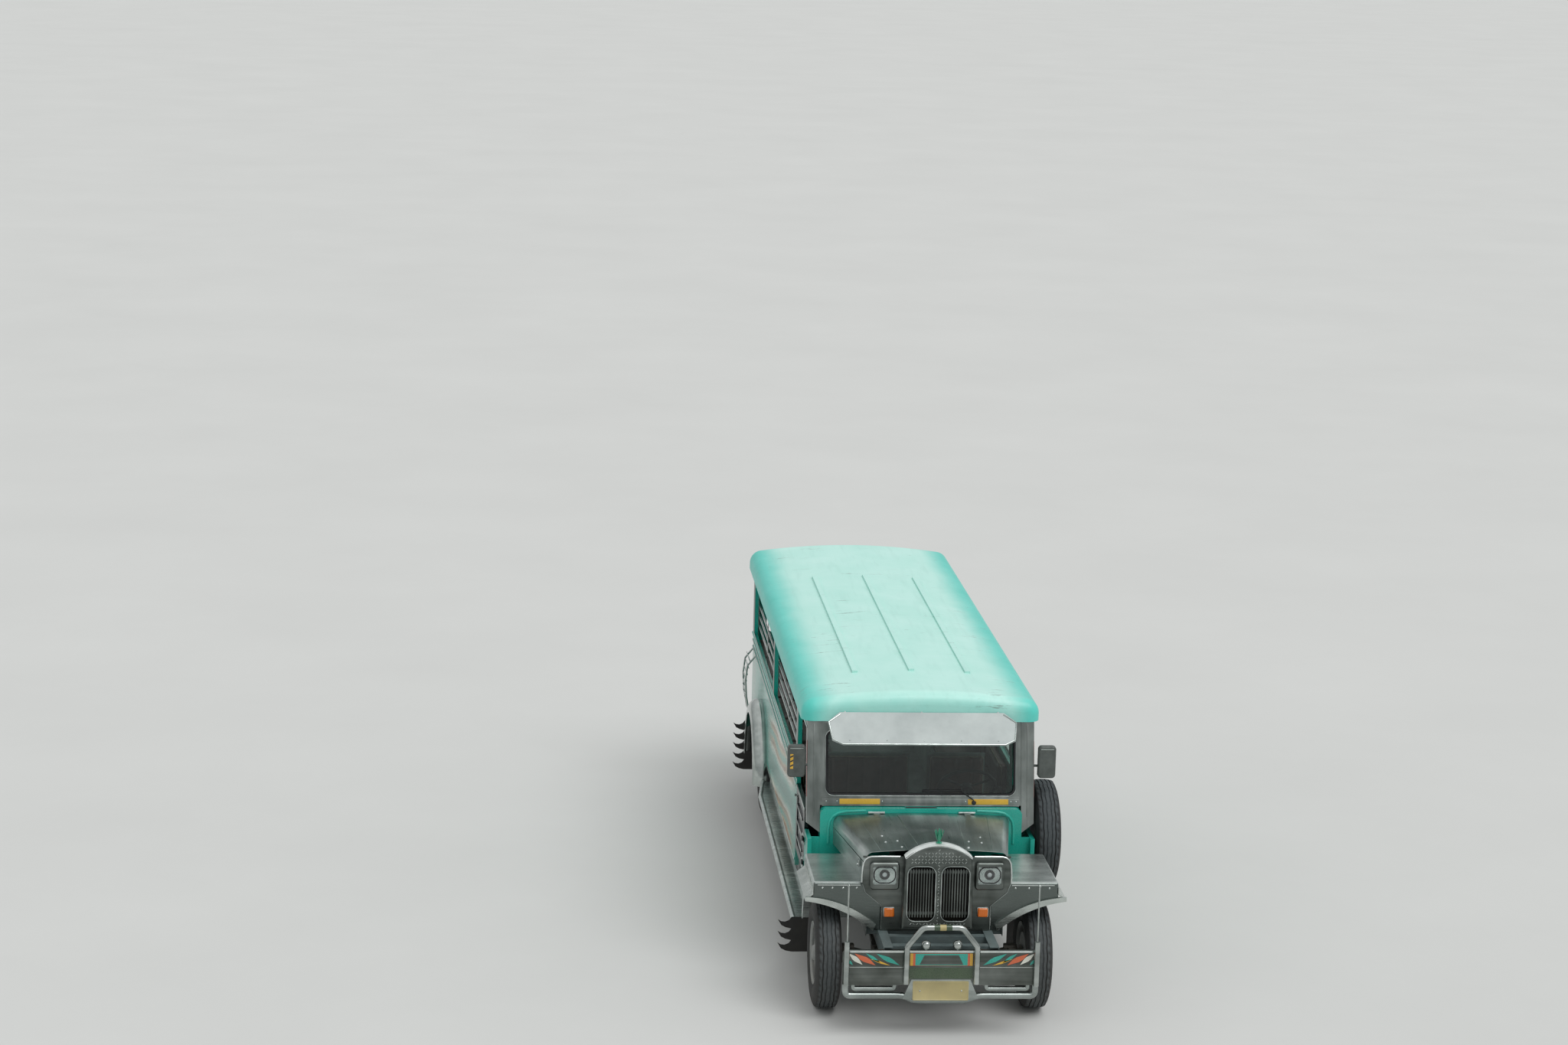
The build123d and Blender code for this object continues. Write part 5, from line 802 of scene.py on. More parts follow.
# %% Wiper, rails and route plates
RAIL_HALF = 0.722
RAILS = ((0.014, 0.060, 0.0035), (0.064, 0.073, 0.006), (0.003, 0.011, 0.006), (0.605, 0.618, 0.005))
WIPER_FOOT = (0.390, 0.030)
ARM = ((*WIPER_FOOT, 0.012), (0.385, 0.050, 0.016), (0.300, 0.116, 0.006), (0.285, 0.120, 0.004))
ROUTE_PLATE_Y, PLATE_REACH = (-0.445, 0.495), 0.148
SCREW_Y = (-0.690, -0.612, -0.280, 0.330, 0.662, 0.700)
shape = bmesh.new()
tube(shape, [screen @ Vector(point) for point in ARM], 0.0045, 8)
turned(shape, [(0, 0), (0.016, 0), (0.016, 0.012), (0.011, 0.018), (0, 0.020)],
       screen @ Matrix.Translation((*WIPER_FOOT, 0)), 16)
tube(shape, [screen @ Vector(point) for point in ((0.015, 0.118, 0.0), (0.300, 0.120, 0.0))], 0.0050, 8)
bar(shape, (0.015, 0.104, -0.018), (0.300, 0.113, -0.002), 1.0, screen)
keep(shape, "windscreen_wiper", "moulded_black_plastic")
shape = bmesh.new()
for low_y, high_y, out in RAILS:
    bar(shape, (-RAIL_HALF, low_y, 0.0002), (RAIL_HALF, high_y, out), 0.8, screen)
keep(shape, "windscreen_rails", "post_stainless_sheet")
shape = bmesh.new()
for middle in ROUTE_PLATE_Y:
    bar(shape, (middle - PLATE_REACH, 0.016, 0.0036), (middle + PLATE_REACH, 0.056, 0.0060), 0.8, screen)
keep(shape, "route_plates", "yellow_strip_enamel")
shape = bmesh.new()
rivets(shape, [screen @ Vector((y, 0.037, 0.0036)) for y in SCREW_Y], screen.col[2].xyz, 6)
keep(shape, "rail_screws", "trim_polished_stainless")
print(len(RAILS), "rails,", len(ROUTE_PLATE_Y), "plates and", len(SCREW_Y), "screws")

# %% [markdown]
# ## Visor board
# The board over the windscreen is sheet that was painted silver-white, with a rolled edge. It shades the
# driver and usually carries a name, which is left off here. The rolled edge is a thin tube down the
# board's sides and along its foot, and a row of screws holds it.

# %% Visor trim and screws
visor_low, visor_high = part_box("visor_board")
VISOR_TILT = math.radians(40)
visor_way = (-math.cos(VISOR_TILT), 0, math.sin(VISOR_TILT))
visor = placed((FRONT_X - 0.600, 0, visor_low.z), (0, 1, 0), visor_way)
VISOR_EDGE = ((0.589, 0.004), (0.663, 0.044), (0.684, 0.197), (0.596, 0.270))
SCREW_APART, EDGE_OUT = 0.27, 0.010
edge = [(-y, z) for y, z in reversed(VISOR_EDGE)] + list(VISOR_EDGE)
shape = bmesh.new()
tube(shape, [visor @ Vector((y, z, EDGE_OUT)) for y, z in edge], 0.0055, 10)
screw_places = [visor @ Vector((i * SCREW_APART, 0.035, EDGE_OUT)) for i in range(-2, 3)]
rivets(shape, screw_places, visor.col[2].xyz, 5)
keep(shape, "visor_rolled_edge", "trim_polished_stainless")
print("visor board", round(visor_high.x - visor_low.x, 3), "m deep")

# %% [markdown]
# ## Grille shell
# The shell is folded from tread plate: steel sheet with small raised lozenges, set in turn one way and
# the other, which stop boots from slipping on a floor and here are only for looks. Each lozenge is a
# six sided cone, squashed long, and its shape is repeated over the flat front of the shell wherever the
# two openings leave room.

# %% Tread plate lozenges
shell_low, shell_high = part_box("grille_shell")
SHELL_FACE_X = FRONT_X + 0.395
SHELL_HALF = shell_high.y
SHOULDER_Z, OPENING_Z = shell_low.z + 0.518, shell_low.z + 0.263
OPENING = (0.119, 0.095, 0.195)  # its middle off the centre line, its half width and its half height
RIM = 0.015
LOZENGE_PITCH, ROW_PITCH, FIRST_ROW_Z = 0.0235, 0.0235 * 0.95, shell_low.z + 0.020
ROWS, COLUMNS = range(28), range(-11, 12)
LOZENGE = (0.0110, 0.0034, 0.0016)  # half length, half width and height in metres
LOZENGE_RISE = Matrix.Translation((0, 0, LOZENGE[2] / 2))
LOZENGE_SQUASH = Matrix.Diagonal((LOZENGE[0], LOZENGE[1], 1, 1))


def on_the_shell(y, z):
    """Whether a lozenge at y, z lies on the flat front, clear of the openings and of the rounded edge."""
    rise = (1 - (y / (SHELL_HALF - 0.016)) ** 2) * (shell_high.z - SHOULDER_Z)
    inside = abs(y) < SHELL_HALF - 0.040 and shell_low.z + 0.030 < z < SHOULDER_Z + rise - 0.034
    return inside and (abs(abs(y) - OPENING[0]) > OPENING[1] + RIM or abs(z - OPENING_Z) > OPENING[2] + RIM)


lozenges = bmesh.new()
count = 0
for row in ROWS:
    for column in COLUMNS:
        y, z = column * LOZENGE_PITCH, FIRST_ROW_Z + row * ROW_PITCH
        if on_the_shell(y, z):
            lean = Matrix.Rotation(math.radians(45 if (row + column) % 2 else -45), 4, "Z")
            stamp = placed((SHELL_FACE_X - 0.0002, y, z), *FRONT_FACE) @ lean @ LOZENGE_RISE @ LOZENGE_SQUASH
            bmesh.ops.create_cone(lozenges, cap_ends=True, segments=6, radius1=1.0, radius2=0.55,
                                  depth=LOZENGE[2], matrix=stamp)
            count += 1
keep(lozenges, "tread_plate_lozenges", "trim_polished_stainless")
print(count, "lozenges on the shell")

# %% [markdown]
# A bright bead lines each opening, and a bright band caps the shell. The band starts as an arc of edges,
# which is extruded forwards and then once more, down and in, for its rolled front. Solidify gives the
# sheet its thickness.

# %% Opening rims and shell band
shape = bmesh.new()
for side in (1, -1):
    opening = placed((SHELL_FACE_X + 0.005, side * OPENING[0], OPENING_Z), *FRONT_FACE)
    beading(shape, opening, (OPENING[1] + 0.004, OPENING[2] + 0.004, 0.054), 0.0, 0.0042, steps=6)
keep(shape, "grille_opening_rims", "trim_polished_stainless")
BAND_HALF, BAND_FOOT_Z, BAND_TOP_Z = 0.237, SHOULDER_Z + 0.001, shell_high.z + 0.0022
BAND_REAR_X, BAND_DEPTH, BAND_THICK = SHELL_FACE_X - 0.094, 0.071, 0.0018
shape = bmesh.new()
arch = arc_through((-BAND_HALF, BAND_FOOT_Z), (0.0, BAND_TOP_Z), (BAND_HALF, BAND_FOOT_Z), 28)
rear = [shape.verts.new((BAND_REAR_X, y, z)) for y, z in arch]
edges = [shape.edges.new(pair) for pair in zip(rear, rear[1:])]
widened = bmesh.ops.extrude_edge_only(shape, edges=edges)["geom"]
front = {item for item in widened if isinstance(item, bmesh.types.BMVert)}
bmesh.ops.translate(shape, vec=(BAND_DEPTH, 0, 0), verts=list(front))
edges = [edge for edge in shape.edges if front.issuperset(edge.verts)]
rolled = bmesh.ops.extrude_edge_only(shape, edges=edges)["geom"]
for corner in (item for item in rolled if isinstance(item, bmesh.types.BMVert)):
    corner.co = (corner.co.x + 0.017, corner.co.y * 0.980, corner.co.z - 0.006)
bmesh.ops.recalc_face_normals(shape, faces=shape.faces)
bmesh.ops.solidify(shape, geom=shape.faces[:], thickness=BAND_THICK)
# the band's pale colour is a painted sheen
keep(shape, "grille_shell_band", "brushed_band_painted_sheen")
print("band from", round(BAND_FOOT_Z, 3), "to", round(BAND_TOP_Z, 3), "m up")

# %% [markdown]
# The ornament is a plain finned form of no particular make: a turned foot and body, and five upright
# leaves round it, each a flat outline that is thickened and leant outwards. It is cast in green resin
# and stands on the shell's band, ahead of the bonnet.

# %% Green ornament
ORNAMENT = (SHELL_FACE_X - 0.058, 0.0, shell_high.z + 0.003)
ORNAMENT_BODY = ((0, 0), (0.022, 0), (0.022, 0.005), (0.010, 0.012), (0.008, 0.030), (0.014, 0.040),
                 (0.015, 0.058), (0.009, 0.078), (0.004, 0.100), (0, 0.112))
LEAF = ((-0.007, 0.0), (-0.012, 0.028), (-0.006, 0.058), (0.0, 0.075), (0.007, 0.055), (0.011, 0.026),
        (0.006, 0.0))
LEAF_COUNT, LEAF_THICK = 5, 0.0044
shape = bmesh.new()
turned(shape, ORNAMENT_BODY, Matrix.Translation(ORNAMENT), 20)
for i in range(LEAF_COUNT):
    turn = Matrix.Translation(ORNAMENT) @ Matrix.Rotation(math.tau * i / LEAF_COUNT, 4, "Z")
    leaf = turn @ placed((0.012, 0, 0.022), (0, 1, 0), (0.28, 0, 0.96))
    layered(shape, [(LEAF, -LEAF_THICK / 2), (LEAF, LEAF_THICK / 2)], leaf)
keep(shape, "bonnet_ornament", "ornament_green_resin")
print("ornament stands on", [round(value, 3) for value in ORNAMENT])

# %% [markdown]
# ## Lamps
# A headlamp is a bright bowl with a bulb in it, behind a moulded lens, with a black ring round the
# bulb, which is a painted dark reflection in the bowl, and another black ring inside the lens's edge.
# The bowl and the lens are both layered from rounded rectangles, the bowl sinking and the lens swelling.

# %% Headlamps
HEADLAMP_Y, HEADLAMP_Z, POCKET_X = SHELL_HALF + 0.1185, 1.063, NOSE_FACE_X + 0.010
BOWL = ((0.0825, 0.0645, 0.013, 0.0100), (0.070, 0.054, 0.030, 0.0070), (0.048, 0.040, 0.030, 0.0035),
        (0.024, 0.022, 0.018, 0.0010))
LENS = ((0.0830, 0.0650, 0.0135, 0.0115), (0.0830, 0.0650, 0.0135, 0.0145), (0.0760, 0.0580, 0.016, 0.0175),
        (0.050, 0.038, 0.020, 0.0200), (0.020, 0.016, 0.010, 0.0210))
BULB = ((0, 0.001), (0.014, 0.001), (0.016, 0.004), (0.012, 0.008), (0, 0.0105))
# the black ring round the bulb is a painted dark reflection in the bowl
BULB_DARK_REFLECTION_RING = ((0.017, 0.0012), (0.036, 0.0030), (0.036, 0.0046), (0.017, 0.0026), (0.017, 0.0012))
bowls, lenses, rings, bulbs, shades = (bmesh.new() for _ in range(5))
for side in (1, -1):
    pocket = placed((POCKET_X, side * HEADLAMP_Y, HEADLAMP_Z), *FRONT_FACE)
    rounded_form(bowls, BOWL, pocket, (False, True))
    rounded_form(lenses, LENS, pocket)
    beading(rings, pocket, (0.0835, 0.0655, 0.0135), 0.0155, 0.0030)
    beading(rings, pocket, (0.0985, 0.0935, 0.022), -0.0065, 0.0050, centre=(0, -0.008))
    turned(bulbs, BULB, pocket, 20)
    beading(shades, pocket, (0.0745, 0.0570, 0.050), 0.0092, 0.0042, steps=8)
    turned(shades, BULB_DARK_REFLECTION_RING, pocket, 28)
headlamp_bowls = keep(bowls, "headlamp_bowls", "trim_polished_stainless")
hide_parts("lamps")
keep(lenses, "headlamp_lenses", "moulded_lamp_glass")
keep(rings, "headlamp_rims", "nose_edge_stainless")
keep(bulbs, "headlamp_bulbs", "lit_bulb_glass")
keep(shades, "headlamp_shades", "moulded_black_plastic")
print("headlamps at", round(HEADLAMP_Y, 3), "m off the middle,", HEADLAMP_Z, "m up")

# %% [markdown]
# The small front lamps are amber mouldings on a bright base, and the tail lamps are round, turned, with
# a bright ring each.

# %% Small front lamps and tail lamps
MARKER_Y, MARKER_Z = SHELL_HALF + 0.079, 0.788
MARKER_BASE = ((0.040, 0.036, 0.010, 0.0), (0.040, 0.036, 0.010, 0.006), (0.037, 0.033, 0.009, 0.008))
MARKER_LENS = ((0.0355, 0.0315, 0.009, 0.0082), (0.0350, 0.0310, 0.009, 0.020),
               (0.0300, 0.0260, 0.010, 0.0255))
TAIL_Y, TAIL_HEIGHTS = BODY_Y - 0.130, (0.900, 1.010)
TAIL_LENS = ((0, 0.006), (0.035, 0.006), (0.035, 0.018), (0.028, 0.027), (0.014, 0.031), (0, 0.032))
TAIL_RING = ((0, 0), (0.042, 0), (0.042, 0.010), (0.039, 0.014), (0.0355, 0.012), (0.0355, 0.0055),
             (0, 0.0055))
ambers, bases, reds, tail_rings = (bmesh.new() for _ in range(4))
for side in (1, -1):
    marker = placed((NOSE_FACE_X, side * MARKER_Y, MARKER_Z), *FRONT_FACE)
    rounded_form(bases, MARKER_BASE, marker)
    rounded_form(ambers, MARKER_LENS, marker)
    for height in TAIL_HEIGHTS:
        seat = placed((WALL_REAR_X, side * TAIL_Y, height), *REAR_FACE)
        turned(reds, TAIL_LENS, seat, 28)
        turned(tail_rings, TAIL_RING, seat, 28)
keep(ambers, "front_marker_lenses", "amber_lens_acrylic")
keep(reds, "tail_lamp_lenses", "red_lens_acrylic")
keep(tail_rings, "tail_lamp_rings", "trim_polished_stainless")
keep(bases, "front_marker_bases", "trim_polished_stainless")
print("tail lamps at", TAIL_HEIGHTS, "m up")

# %% [markdown]
# ## Bonnet and nose
# Bolts that hold the bonnet's inner frame show as bright heads, four to a side, and two thin welts a
# side cover the seams where its sheets meet. Both follow the crown of the bonnet's skin, so a function
# gives the height of that skin.

# %% Bonnet bolts and welts
BONNET_TOP_Z, CROWN = 1.216, 0.018
BONNET_REAR, BONNET_LENGTH, HALF_REAR, HALF_LOST = 0.637, 0.907, 0.590, 0.140
BOLTS = ((-0.087, -0.350), (0.063, -0.340), (0.044, -0.255), (0.192, -0.240), (-0.057, 0.347),
         (0.057, 0.249), (0.075, 0.339), (0.206, 0.229))
WELTS = ((0.245, 0.205), (0.470, 0.395))  # off the middle at the rear end and at the front end
WELT_REAR, WELT_LENGTH, WELT_STEPS = -0.600, 0.850, 6


def bonnet_z(x, y):
    """The height of the bonnet's crowned skin, at a distance from the front axle and off the middle."""
    half = HALF_REAR - HALF_LOST * (x + BONNET_REAR) / BONNET_LENGTH
    return BONNET_TOP_Z + CROWN * (1 - (y / half) ** 2)


shape = bmesh.new()
rivets(shape, [(FRONT_X + x, y, bonnet_z(x, y)) for x, y in BOLTS], (0, 0, 1), 9.5, 12)
keep(shape, "bonnet_bolts", "bright_band_stainless", "bonnet_lid")
shape = bmesh.new()
for side in (1, -1):
    for rear_y, front_y in WELTS:
        run = []
        for i in range(WELT_STEPS + 1):
            share = i / WELT_STEPS
            x, y = WELT_REAR + share * WELT_LENGTH, rear_y + (front_y - rear_y) * share
            run.append((FRONT_X + x, side * y, bonnet_z(x, y) + 0.0005))
        tube(shape, run, 0.0028, 6)
keep(shape, "bonnet_welts", "bonnet_stainless_sheet", "bonnet_lid")
print(len(BOLTS), "bolts on the bonnet")

# %% [markdown]
# The nose has a bright bead round its top and down its sides, which hides the cut edge of the sheet, and
# a thinner one where its apron folds back. The bonnet comes down on two short landings and is held by a
# catch on each side.

# %% Nose beads, bonnet landings and catches
NOSE_EDGE = ((0.262, 1.190), (0.380, 1.191), (0.462, 1.189), (0.486, 1.182), (0.506, 1.166), (0.517, 1.142),
             (0.522, 1.110), (0.526, 1.060), (0.526, 1.004))
NOSE_FOLD = ((0.522, 0.992), (0.500, 0.930), (0.384, 0.831), (0.384, 0.660))
KNOB = ((0, 0.008), (0.011, 0.008), (0.011, 0.016), (0.007, 0.019), (0, 0.020))
beads, folds, landings, catches = (bmesh.new() for _ in range(4))
for side in (1, -1):
    tube(beads, [(NOSE_FACE_X, side * y, z) for y, z in NOSE_EDGE], 0.0065, 10)
    tube(folds, [(NOSE_FACE_X + 0.001, side * y, z) for y, z in NOSE_FOLD], 0.0035, 8)
    bar(landings, (FRONT_X + 0.262, side * 0.205, 1.176), (FRONT_X + 0.285, side * 0.520, 1.186), 1.0)
    catch = placed((FRONT_X + 0.130, side * 0.5305, 1.118), *SIDE_FACE[side])
    bar(catches, (-0.016, -0.052, 0.0), (0.016, 0.002, 0.008), 2.0, catch)
    turned(catches, KNOB, catch @ Matrix.Translation((0, -0.036, 0)), 14)
keep(beads, "nose_bead", "bright_band_stainless")
keep(landings, "bonnet_landings", "nose_stainless_painted_reflection")
keep(folds, "nose_fold_beads", "nose_edge_stainless")
keep(catches, "bonnet_catches", "trim_polished_stainless")
print("nose bead", NOSE_EDGE[0][1], "m up")

# %% [markdown]
# ## Wings
# Each wing has a row of domed rivets along its front band and another along its outer side, and a thin
# bright moulding runs above both rows.

# %% Wing rivets and mouldings
RIVET_Y, RIVET_Z = (0.560, 0.655, 0.730, 0.800), 0.958
SIDE_RIVET_X, SIDE_RIVET_Z = (0.180, 0.040, -0.100, -0.240), 0.968
MOULDING_Z, MOULDING_FRONT_Y, MOULDING_SIDE_Y = (0.9765, 0.9815), (0.534, 0.835), 0.8655
shape, mouldings = bmesh.new(), bmesh.new()
front_band = placed((NOSE_FACE_X - 0.0125, 0, 0), *FRONT_FACE)
for side in (1, -1):
    rivets(shape, [(NOSE_FACE_X - 0.012, side * y, RIVET_Z) for y in RIVET_Y], (1, 0, 0), 7)
    rivets(shape, [(FRONT_X + x, side * 0.864, SIDE_RIVET_Z) for x in SIDE_RIVET_X], (0, side, 0), 7)
    (inner, outer), (low, high) = MOULDING_FRONT_Y, MOULDING_Z
    outline = [(inner, low), (outer, low), (outer, high), (inner, high)]
    plate(mouldings, [(side * y, z) for y, z in outline], 3.0, front_band)
    bar(mouldings, (FRONT_X - 0.370, side * MOULDING_SIDE_Y - 0.002, low),
        (FRONT_X + 0.255, side * MOULDING_SIDE_Y + 0.002, high), 0.8)
keep(shape, "wing_rivets", "bright_band_stainless")
keep(mouldings, "wing_mouldings", "bright_band_stainless")
print(2 * len(RIVET_Y), "rivets across the wings")

# %% [markdown]
# ## Cowl
# The scuttle has a pressed rim round the bonnet's rear edge and a dark slot that lets air into the cab,
# with an enamelled frame round it.

# %% Cowl rim and air slot
COWL_FACE_X, SLOT_X = FRONT_X - 0.645, FRONT_X - 0.679
cowl_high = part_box("cowl")[1]
RIM_LINE = ((0.676, 1.004), (0.676, 1.120), (0.668, 1.168), (0.645, 1.206), (0.606, 1.232), (0.550, 1.244),
            (0.430, 1.249), (0.405, 1.249))
for side, name in ((1, "cowl_rim_left"), (-1, "cowl_rim_right")):
    shape = bmesh.new()
    tube(shape, [(COWL_FACE_X - 0.001, side * y, z) for y, z in RIM_LINE], 0.0105, 12)
    keep(shape, name, "turquoise_body_enamel")
slot_place = placed((SLOT_X, 0.0, cowl_high.z), *TOP_FACE)
shape = bmesh.new()
rounded_form(shape, ((0.024, 0.115, 0.012, 0.0), (0.023, 0.114, 0.012, 0.002)), slot_place)
keep(shape, "air_slot", "moulded_black_plastic")
shape = bmesh.new()
beading(shape, slot_place, (0.026, 0.117, 0.013), 0.001, 0.0028)
keep(shape, "air_slot_frame", "turquoise_body_enamel")
print("cowl top at", round(cowl_high.z, 3))

# %% [markdown]
# ## Mud flaps
# The mud flaps are cut from an old conveyor belt. Their outer edges are cut into hooked teeth that bend
# upwards. The front one on the left is plain, because no teeth show behind that tyre. The outline is
# built tooth by tooth from four points and then given the belt's thickness.

# %% Mud flaps with hooked teeth
HOOK = ((0.930, 0.00), (0.972, 0.10), (1.005, 0.30), (1.030, 0.78), (1.006, 0.62), (0.978, 0.58),
        (0.948, 0.72))  # how far out, and how far up as a share of one tooth's height
BELT, FLAP_INNER_Y, TOOTHED_Y, PLAIN_Y = 0.003, 0.650, 0.930, 0.925
flap_low, flap_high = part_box("mud_flaps")
FRONT_FLAP = (FRONT_X - 0.597, flap_low.z, 0.460)  # its place along the vehicle, its foot and its head
REAR_FLAP = (REAR_X - 0.623, flap_low.z + 0.010, flap_high.z)
FLAPS = ((1, 0, *FRONT_FLAP), (1, 5, *REAR_FLAP), (-1, 3, *FRONT_FLAP), (-1, 5, *REAR_FLAP))


def flap_outline(side, low, high, teeth):
    """The outline of a flap as y and z, with its teeth on the outer edge."""
    outer = TOOTHED_Y if teeth else PLAIN_Y
    rise = (high - low) / max(teeth, 1)
    points = [(FLAP_INNER_Y, low), (outer, low)]
    for tooth in range(teeth):
        points += [(y, low + (tooth + share) * rise) for y, share in HOOK[0 if tooth else 1:]]
    points += [(outer, high), (FLAP_INNER_Y, high)]
    return [(side * y, z) for y, z in points][::side]


flaps = bmesh.new()
for side, teeth, middle_x, low, high in FLAPS:
    outline = flap_outline(side, low, high, teeth)
    layered(flaps, [(outline, -BELT), (outline, BELT)], placed((middle_x, 0, 0), *FRONT_FACE))
hooked_flaps = keep(flaps, "hooked_mud_flaps", "moulded_black_rubber")
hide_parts("mud_flaps")
print("flaps from", round(flap_low.z, 3), "to", round(flap_high.z, 3), "m up")

# %% [markdown]
# ## Bumper
# The bumper is a folded plate. Its upper half is painted by hand and its lower half is left bare. The
# design on it here is our own: slanted leaves in teal, orange and yellow with dark outlines and a framed
# grey panel in the middle, with an empty green band below. Each colour is a thin plate of its own, a
# millimetre or so proud, with a slightly larger dark plate behind it for the outline.

# %% Painted bumper
BUMPER_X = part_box("number_plate")[0].x
bumper_face = placed((BUMPER_X, 0, 0), *FRONT_FACE)
LEAVES = (  # colour, middle off the centre line, half width, lean, lower and upper height
    ("teal", 0.372, 0.034, 0.082, 0.526, 0.612), ("yellow", 0.425, 0.020, 0.070, 0.524, 0.572),
    ("teal", 0.476, 0.018, 0.052, 0.544, 0.614), ("orange", 0.532, 0.036, 0.074, 0.526, 0.612),
    ("cream", 0.598, 0.024, 0.050, 0.530, 0.614), ("teal", 0.636, 0.012, 0.020, 0.528, 0.572),
)
COLOUR_FINISH = {"teal": "teal_line_enamel", "yellow": "yellow_strip_enamel",
                 "orange": "marker_orange_enamel", "cream": "flame_white_enamel",
                 "black": "line_black_enamel", "green": "sign_green_enamel"}
painted = {colour: bmesh.new() for colour in COLOUR_FINISH}
OUTLINE_M = 0.0035
PANELS = (  # colour, half width, lower and upper height, and how many millimetres proud
    ("black", 0.222, 0.520, 0.617, 0.5), ("yellow", 0.218, 0.524, 0.613, 0.9),
    ("orange", 0.198, 0.524, 0.613, 1.2), ("teal", 0.182, 0.526, 0.611, 1.5),
    ("green", 0.222, 0.430, 0.510, 0.6),
)
MIDDLE_PANEL = ((-0.120, 0.600), (-0.152, 0.532), (0.152, 0.532), (0.120, 0.600))


def leaf_outline(middle, half, lean, low, high, grow=0.0):
    """A leaf that leans outwards: pointed at both ends and swollen in the middle."""
    half, low, high = half + grow, low - grow, high + grow
    z_mid, third = (low + high) / 2, 0.3 * (high - low)
    return [(middle - lean, low), (middle - 0.35 * lean + half, low + third), (middle + half, z_mid),
            (middle + lean, high), (middle + 0.35 * lean - half, high - third), (middle - half, z_mid)]


for side in (1, -1):
    for colour, *leaf in LEAVES:
        for paint_colour, grow, thickness in (("black", OUTLINE_M, 0.5), (colour, 0.0, 1.0)):
            outline = [(side * y, z) for y, z in leaf_outline(*leaf, grow)]
            plate(painted[paint_colour], outline, thickness, bumper_face)
for colour, half, low, high, thickness in PANELS:
    outline = [(-half, high), (-half, low), (half, low), (half, high)]
    plate(painted[colour], outline, thickness, bumper_face)
panel = bmesh.new()
plate(panel, MIDDLE_PANEL, 2.0, bumper_face)
keep(panel, "bumper_middle_panel", "nose_stainless_painted_reflection")
for colour, shape in painted.items():
    keep(shape, "bumper_paint_" + colour, COLOUR_FINISH[colour])
print(2 * len(LEAVES), "painted leaves")

# %% [markdown]
# A bright strip covers the bumper's upper edge, and a thinner one divides its halves outside the green
# band. The hoop above it has painted bands, two green ones and a cream one between them.

# %% Bumper strips and hoop bands
STRIP_HALF, DIVIDED_FROM_Y, STRIP_REAR_X = 0.664, 0.230, BUMPER_X - 0.001
shape = bmesh.new()
bar(shape, (STRIP_REAR_X, -STRIP_HALF, 0.6185), (BUMPER_X + 0.003, STRIP_HALF, 0.6335), 0.8)
for side in (1, -1):
    bar(shape, (STRIP_REAR_X, side * DIVIDED_FROM_Y, 0.511),
        (BUMPER_X + 0.0018, side * STRIP_HALF, 0.515), 0.5)
keep(shape, "bumper_bright_strip", "bright_band_stainless")
HOOP_X, HOOP_Z, BAND_R = BUMPER_X + 0.021, 0.805, 0.0213
BANDS = (  # name, finish, slot, and from where to where off the middle
    ("hoop_green_bands", "sign_green_enamel", "turquoise_paint", ((-0.062, -0.022), (0.022, 0.062))),
    ("hoop_cream_band", "cream_plate_enamel", "yellow_plate", ((-0.022, 0.022),)),
)
for name, finish, slot, stretches in BANDS:
    shape = bmesh.new()
    for stretch in stretches:
        tube(shape, [(HOOP_X, y, HOOP_Z) for y in stretch], BAND_R, 24)
    keep(shape, name, finish)
print("hoop", HOOP_Z, "m up")

# %% [markdown]
# ## Guard tubes
# The guards below the bumper are fat tubes, rubbed bright. Each is drawn as a sleeve over the frame's
# thinner tube, along the same run, and its corners are rounded by quadratic curves.

# %% Guard sleeves
GUARD_X, BUMPER_FOOT_Z = BUMPER_X - 0.022, 0.383
LOW_R, LOW_Z, DIP_Z, HIGH_R, HIGH_Z = 0.0240, 0.301, 0.267, 0.0175, 0.3505
LOW_RUN = ((0.660, BUMPER_FOOT_Z), (0.660, LOW_Z), (0.260, LOW_Z), (0.180, DIP_Z))
HIGH_RUN = ((0.610, BUMPER_FOOT_Z), (0.610, HIGH_Z), (0.320, HIGH_Z), (0.320, BUMPER_FOOT_Z))


def rounded_run(points, reach, steps=6):
    """A run of points whose inner corners are replaced by arcs that start reach away from them."""
    run = [points[0]]
    for before, corner, after in zip(points, points[1:], points[2:]):
        start = corner + (before - corner).normalized() * reach
        end = corner + (after - corner).normalized() * reach
        for step in range(steps + 1):
            share = step / steps
            run.append(start * (1 - share) ** 2 + corner * 2 * share * (1 - share) + end * share ** 2)
    return run + [points[-1]]


sleeves = bmesh.new()
run = [(-y, z) for y, z in LOW_RUN] + list(reversed(LOW_RUN))
tube(sleeves, rounded_run([Vector((GUARD_X, y, z)) for y, z in run], 0.036), LOW_R, 24)
for side in (1, -1):
    run = [Vector((GUARD_X, side * y, z)) for y, z in HIGH_RUN]
    tube(sleeves, rounded_run(run, 0.018), HIGH_R, 20)
keep(sleeves, "guard_sleeves", "guard_tube_stainless")
print("guards at", LOW_Z, "and", HIGH_Z, "m up")

# %% [markdown]
# ## Number plate
# The plate is pressed aluminium with a raised border, enamelled a faded yellow, and blank here. Two
# screws hold it.

